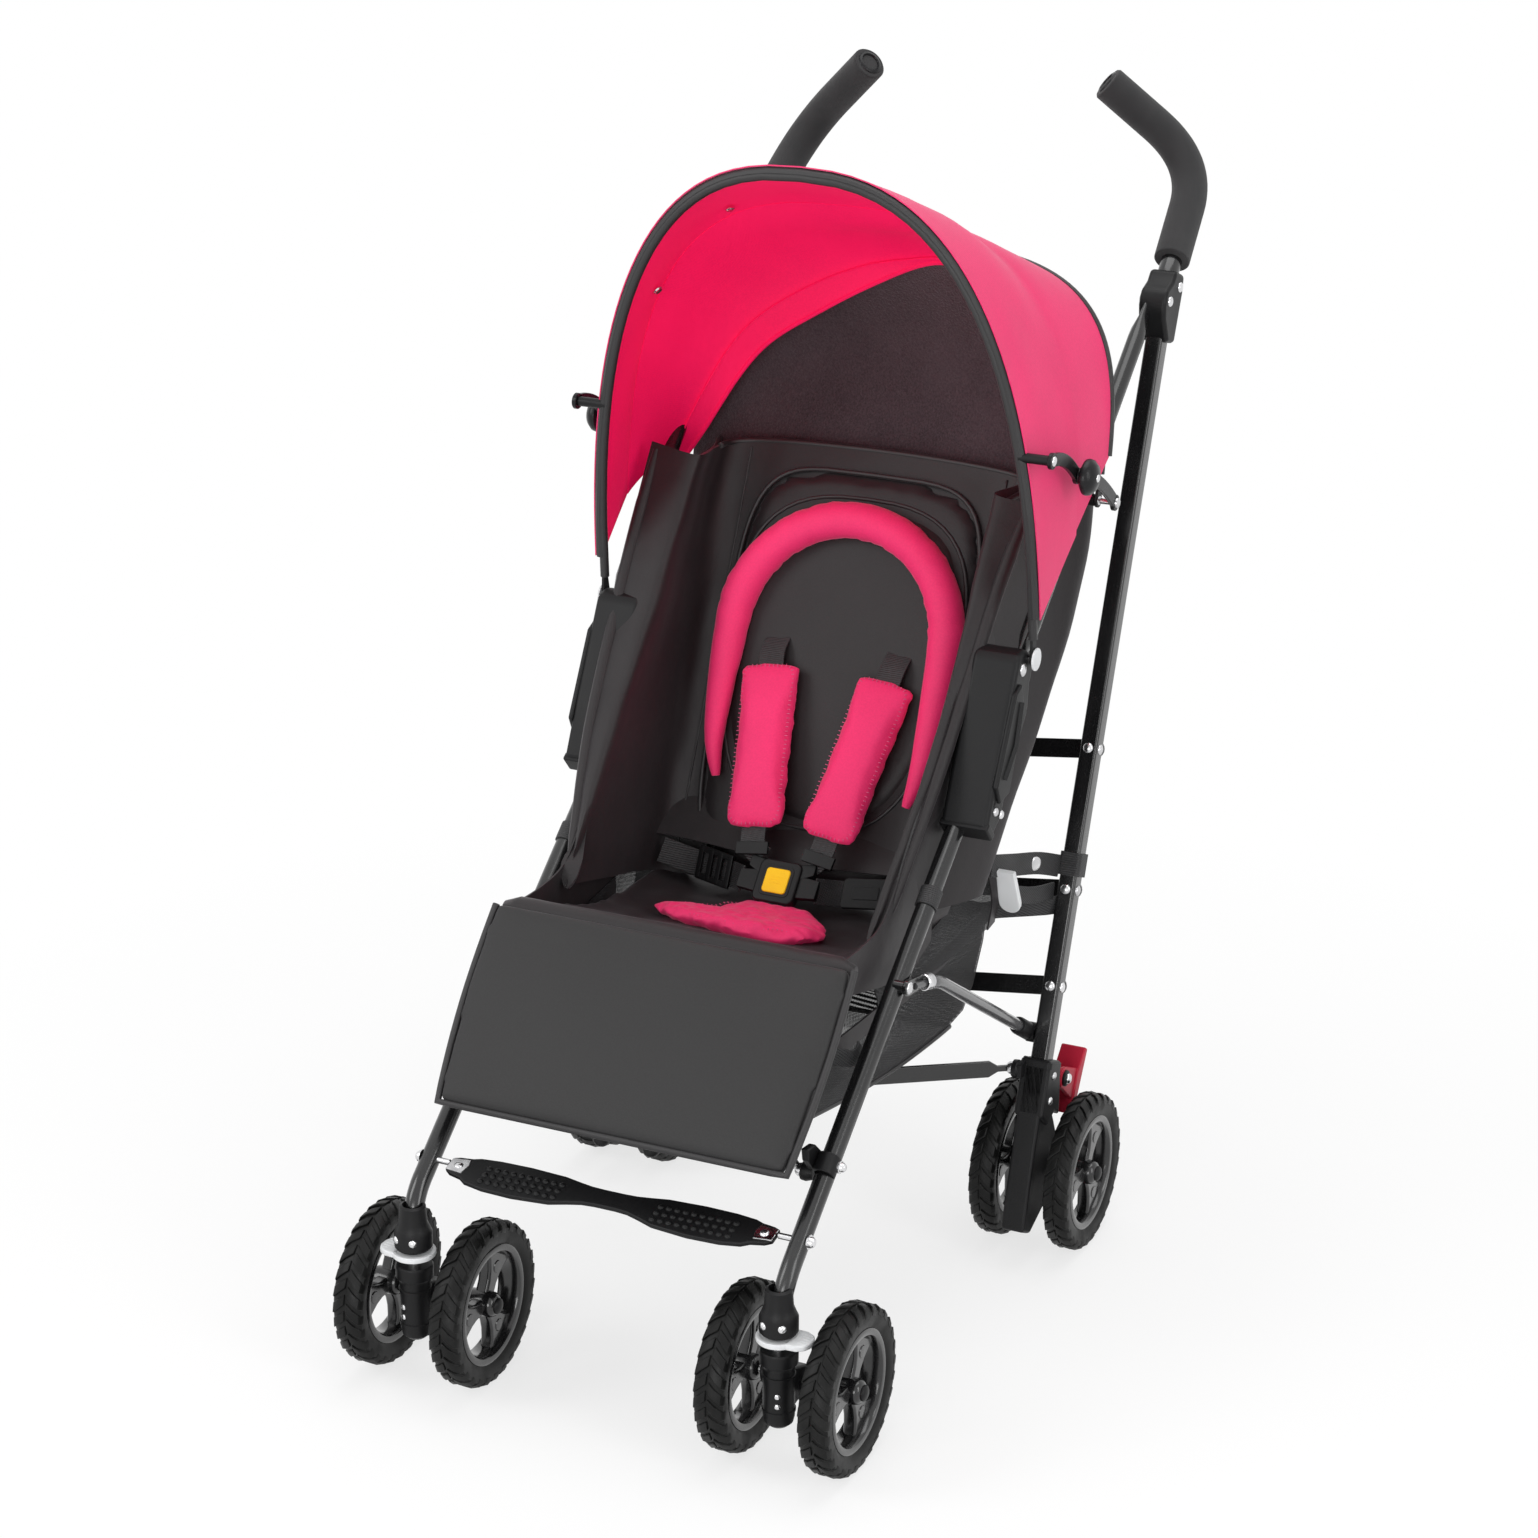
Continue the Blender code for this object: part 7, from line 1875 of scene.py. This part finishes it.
edge_path = [leg_border(1, i / 12) for i in range(13)] + [leg_border(1 - 2 * j / 24, 1.0) for j in range(1, 24)]
edge_path += [leg_border(-1, 1 - i / 12) for i in range(13)]
leg_piping = tube(edge_path, circle(0.0034, 10), hint=OUT)
roll_rings = []
for i in range(25):
    x = 0.171 * (1 - 2 * i / 24)
    centre = leg_spot(x, 0.0, -0.0045) - DOWN * 0.001
    fat = 1.0 - 0.1 * (abs(x) / 0.171) ** 4
    if i in (0, 24):
        fat *= 0.6
    wave = 0.0008 * noise.noise(Vector((x * 30, 1.0, 2.0)))
    roll_rings.append([centre + DOWN * cos(2 * pi * k / 20) * (0.0135 * fat + wave)
                       + OUT * sin(2 * pi * k / 20) * (0.0118 * fat + wave) for k in range(20)])
top_roll = loft(roll_rings)
toes = [ball(leg_spot(s * 0.024 + 0.012, 1.0, -0.006) + DOWN * 0.002, 0.0078) for s in (1, -1)]
leg_piece = seat_pad("leg_rest_panel",
                     [(leg_core, LEG_TWILL), (leg_piping, TAPE), (top_roll, TWILL),
                      *[(t, PLASTIC) for t in toes]], "leg_rest", ["leg_rest"])
print("leg rest", len(leg_piece.data.polygons))


# %% Basket
def basket_ring(half, front, rear, front_z, rear_z, sag=0.0):
    side_steps = 12
    line = [Vector((half + 0.002 * sin(pi * i / side_steps), front + (rear - front) * i / side_steps,
                    front_z + (rear_z - front_z) * i / side_steps - sag * sin(pi * i / side_steps)))
            for i in range(side_steps + 1)]
    across = 10
    line += [Vector((half * (1 - 2 * i / across), rear + 0.004 * sin(pi * i / across),
                     rear_z - sag * 0.6 * sin(pi * i / across))) for i in range(1, across)]
    line += [Vector((-half - 0.002 * sin(pi * i / side_steps), rear + (front - rear) * i / side_steps,
                     rear_z + (front_z - rear_z) * i / side_steps - sag * sin(pi * i / side_steps)))
             for i in range(side_steps + 1)]
    line += [Vector((-half * (1 - 2 * i / across), front - 0.004 * sin(pi * i / across),
                     front_z - sag * 0.6 * sin(pi * i / across))) for i in range(1, across)]
    return line


rims = [basket_ring(0.1545, 0.106, 0.471, 0.332, 0.33, 0.004),
        basket_ring(0.153, 0.102, 0.465, 0.312, 0.296, 0.005),
        basket_ring(0.1495, 0.097, 0.451, 0.29, 0.257, 0.006),
        basket_ring(0.145, 0.101, 0.438, 0.272, 0.234, 0.006),
        basket_ring(0.137, 0.108, 0.424, 0.264, 0.222, 0.005),
        basket_ring(0.09, 0.15, 0.38, 0.258, 0.222, 0.004), basket_ring(0.03, 0.22, 0.31, 0.246, 0.226, 0.002)]
bag = bmesh.new()
levels = [[bag.verts.new(p) for p in line] for line in rims]
inner_levels = [[bag.verts.new(Vector((p.x * 0.992, 0.27 + (p.y - 0.27) * 0.992, p.z + 0.0012))) for p in line]
                for line in rims]
count = len(rims[0])
for group in (levels, inner_levels):
    for above, below in zip(group, group[1:]):
        for i in range(count):
            j = (i + 1) % count
            bag.faces.new((above[i], above[j], below[j], below[i]))
    bag.faces.new(group[-1])
for i in range(count):
    j = (i + 1) % count
    bag.faces.new((levels[0][i], levels[0][j], inner_levels[0][j], inner_levels[0][i]))
hem = loft([[Vector((p.x * g, 0.27 + (p.y - 0.27) * g, p.z + z)) for p in rims[0]]
            for g, z in ((1.006, -0.016), (1.008, -0.008), (1.006, 0.0014), (0.996, 0.0014), (0.99, -0.008),
                         (0.992, -0.016))], caps=False, loop=True)
nets = []
for s in (1, -1):
    band = [[Vector((s * 0.159, y, low)), Vector((s * 0.16, y + 0.002, (low + high) / 2)),
             Vector((s * 0.1575, y + 0.004, high))]
            for y, low, high in ((0.132, 0.372, 0.404), (0.17, 0.362, 0.403), (0.215, 0.35, 0.41),
                                 (0.262, 0.342, 0.448), (0.32, 0.338, 0.47))]
    band_grid = wrinkled(finer(band, 21, 9), 0.0016, 18, (1, 1, 1), 80.0 + s)
    nets.append((sheet_of(band_grid if s > 0 else [line[::-1] for line in band_grid], 0.0016), TWILL))
    net_rows = [[Vector((s * 0.156, 0.205, 0.352)), Vector((s * 0.16, 0.33, 0.362)),
                 Vector((s * 0.164, 0.446, 0.388))],
                [Vector((s * 0.1575, 0.21, 0.34)), Vector((s * 0.162, 0.335, 0.338)),
                 Vector((s * 0.165, 0.462, 0.345))],
                [Vector((s * 0.156, 0.215, 0.326)), Vector((s * 0.16, 0.34, 0.318)),
                 Vector((s * 0.158, 0.47, 0.31))]]
    net_grid = wrinkled(finer(net_rows, 13, 25), 0.002, 14, (1, 1, 1), 70.0 + s)
    if s > 0:
        net_grid = [line[::-1] for line in net_grid]
    nets.append((sheet_of(net_grid, 0.001), MESH))
    ends = [line[0] for line in net_grid] if s > 0 else [line[-1] for line in net_grid]
    nets.append((strap(ends, 0.016, hint=Vector((1, 0, 0)).cross(Z_DIR)), TWILL))
base_hem = tube([p + Vector((0, 0, -0.0008)) for p in rims[4] + rims[4][:1]], circle(0.0026, 8), hint=Z_DIR)
hanging = []
face = UPRIGHT_X - 0.0085 - 0.0002
spot = on_upright((0.327 - 0.174) / cos(LEAN))
for s in (1, -1):
    hanging.append(strap([(s * 0.1535, 0.462, 0.324), (s * 0.158, 0.474, 0.325),
                          (s * (face - 0.0018), spot.y - 0.006, 0.327),
                          (s * (face - 0.0018), spot.y + 0.006, 0.329)], 0.018, hint=Z_DIR))
    hanging.append(strap([(s * 0.152, 0.118, 0.322), (s * 0.167, 0.138, 0.314), (s * 0.1686, 0.15, 0.322)],
                         0.016, hint=Z_DIR))
basket_piece = seat_pad("mesh_basket",
                        [(bag, MESH), (hem, TWILL), (base_hem, TAPE), *nets, *[(h, WEBBING) for h in hanging]],
                        "seat", ["basket"], angle=35)
print("basket", len(basket_piece.data.polygons))


# %% Straps and clips on the frame
def frame_strap(side, word):
    """A strap with a snap round the upright; the grey lever on its webbing, on the left side, is made after
    both.
    """
    centre = on_upright(0.203)
    band = tube([centre - UP * 0.011, centre + UP * 0.011], rounded(0.0235, 0.0215, 0.004))
    tail = strap([centre + Vector((-0.0095, -0.012, 0.001)), Vector((0.202, 0.476, 0.379)),
                  Vector((0.195, 0.432, 0.392)), Vector((0.188, 0.395, 0.403))], 0.021, hint=UP)
    shapes = [(band, WEBBING), (tail, WEBBING),
              (snap(Vector((0.2018, 0.468, 0.3815)), Vector((0.85, -0.5, 0.1)).normalized(), 0.0066), STEEL)]
    piece("frame_strap_" + word, shapes, "upright_" + word, (), side)


def elbow_band(side, word):
    """The seat's fabric loop round the front leg, just under the elbow."""
    path_low, path_high = Vector((LEG_X, 0.262, 0.4105)), Vector((LEG_X, 0.276, 0.4218))
    band = tube([path_low, path_high], circle(0.0102, 24))
    piece("leg_loop_" + word, [(band, WEBBING)], "leg_" + word, (), side)


both_sides(frame_strap, elbow_band)
lever_spot = Vector((0.1985, 0.412, 0.374))
lever_turn = Matrix.Translation(lever_spot) @ Matrix.Rotation(radians(-70), 4, "X")
lever = slab([(-0.009, -0.024), (0.009, -0.024), (0.0105, 0.01), *arc((0, 0.014), 0.0105, 0, 180, 10),
              (-0.0105, 0.01)], -0.003, 0.003, 0.0014, 3)
lever.transform(lever_turn)
lever_strap = strap([on_upright(0.176, 0.01, 0.2065), Vector((0.202, 0.462, 0.352)),
                     Vector((0.1975, 0.416, 0.37))], 0.016, hint=UP)
piece("fold_lever", [(lever, GREY), (lever_strap, WEBBING)], "upright_left")
print("straps made")
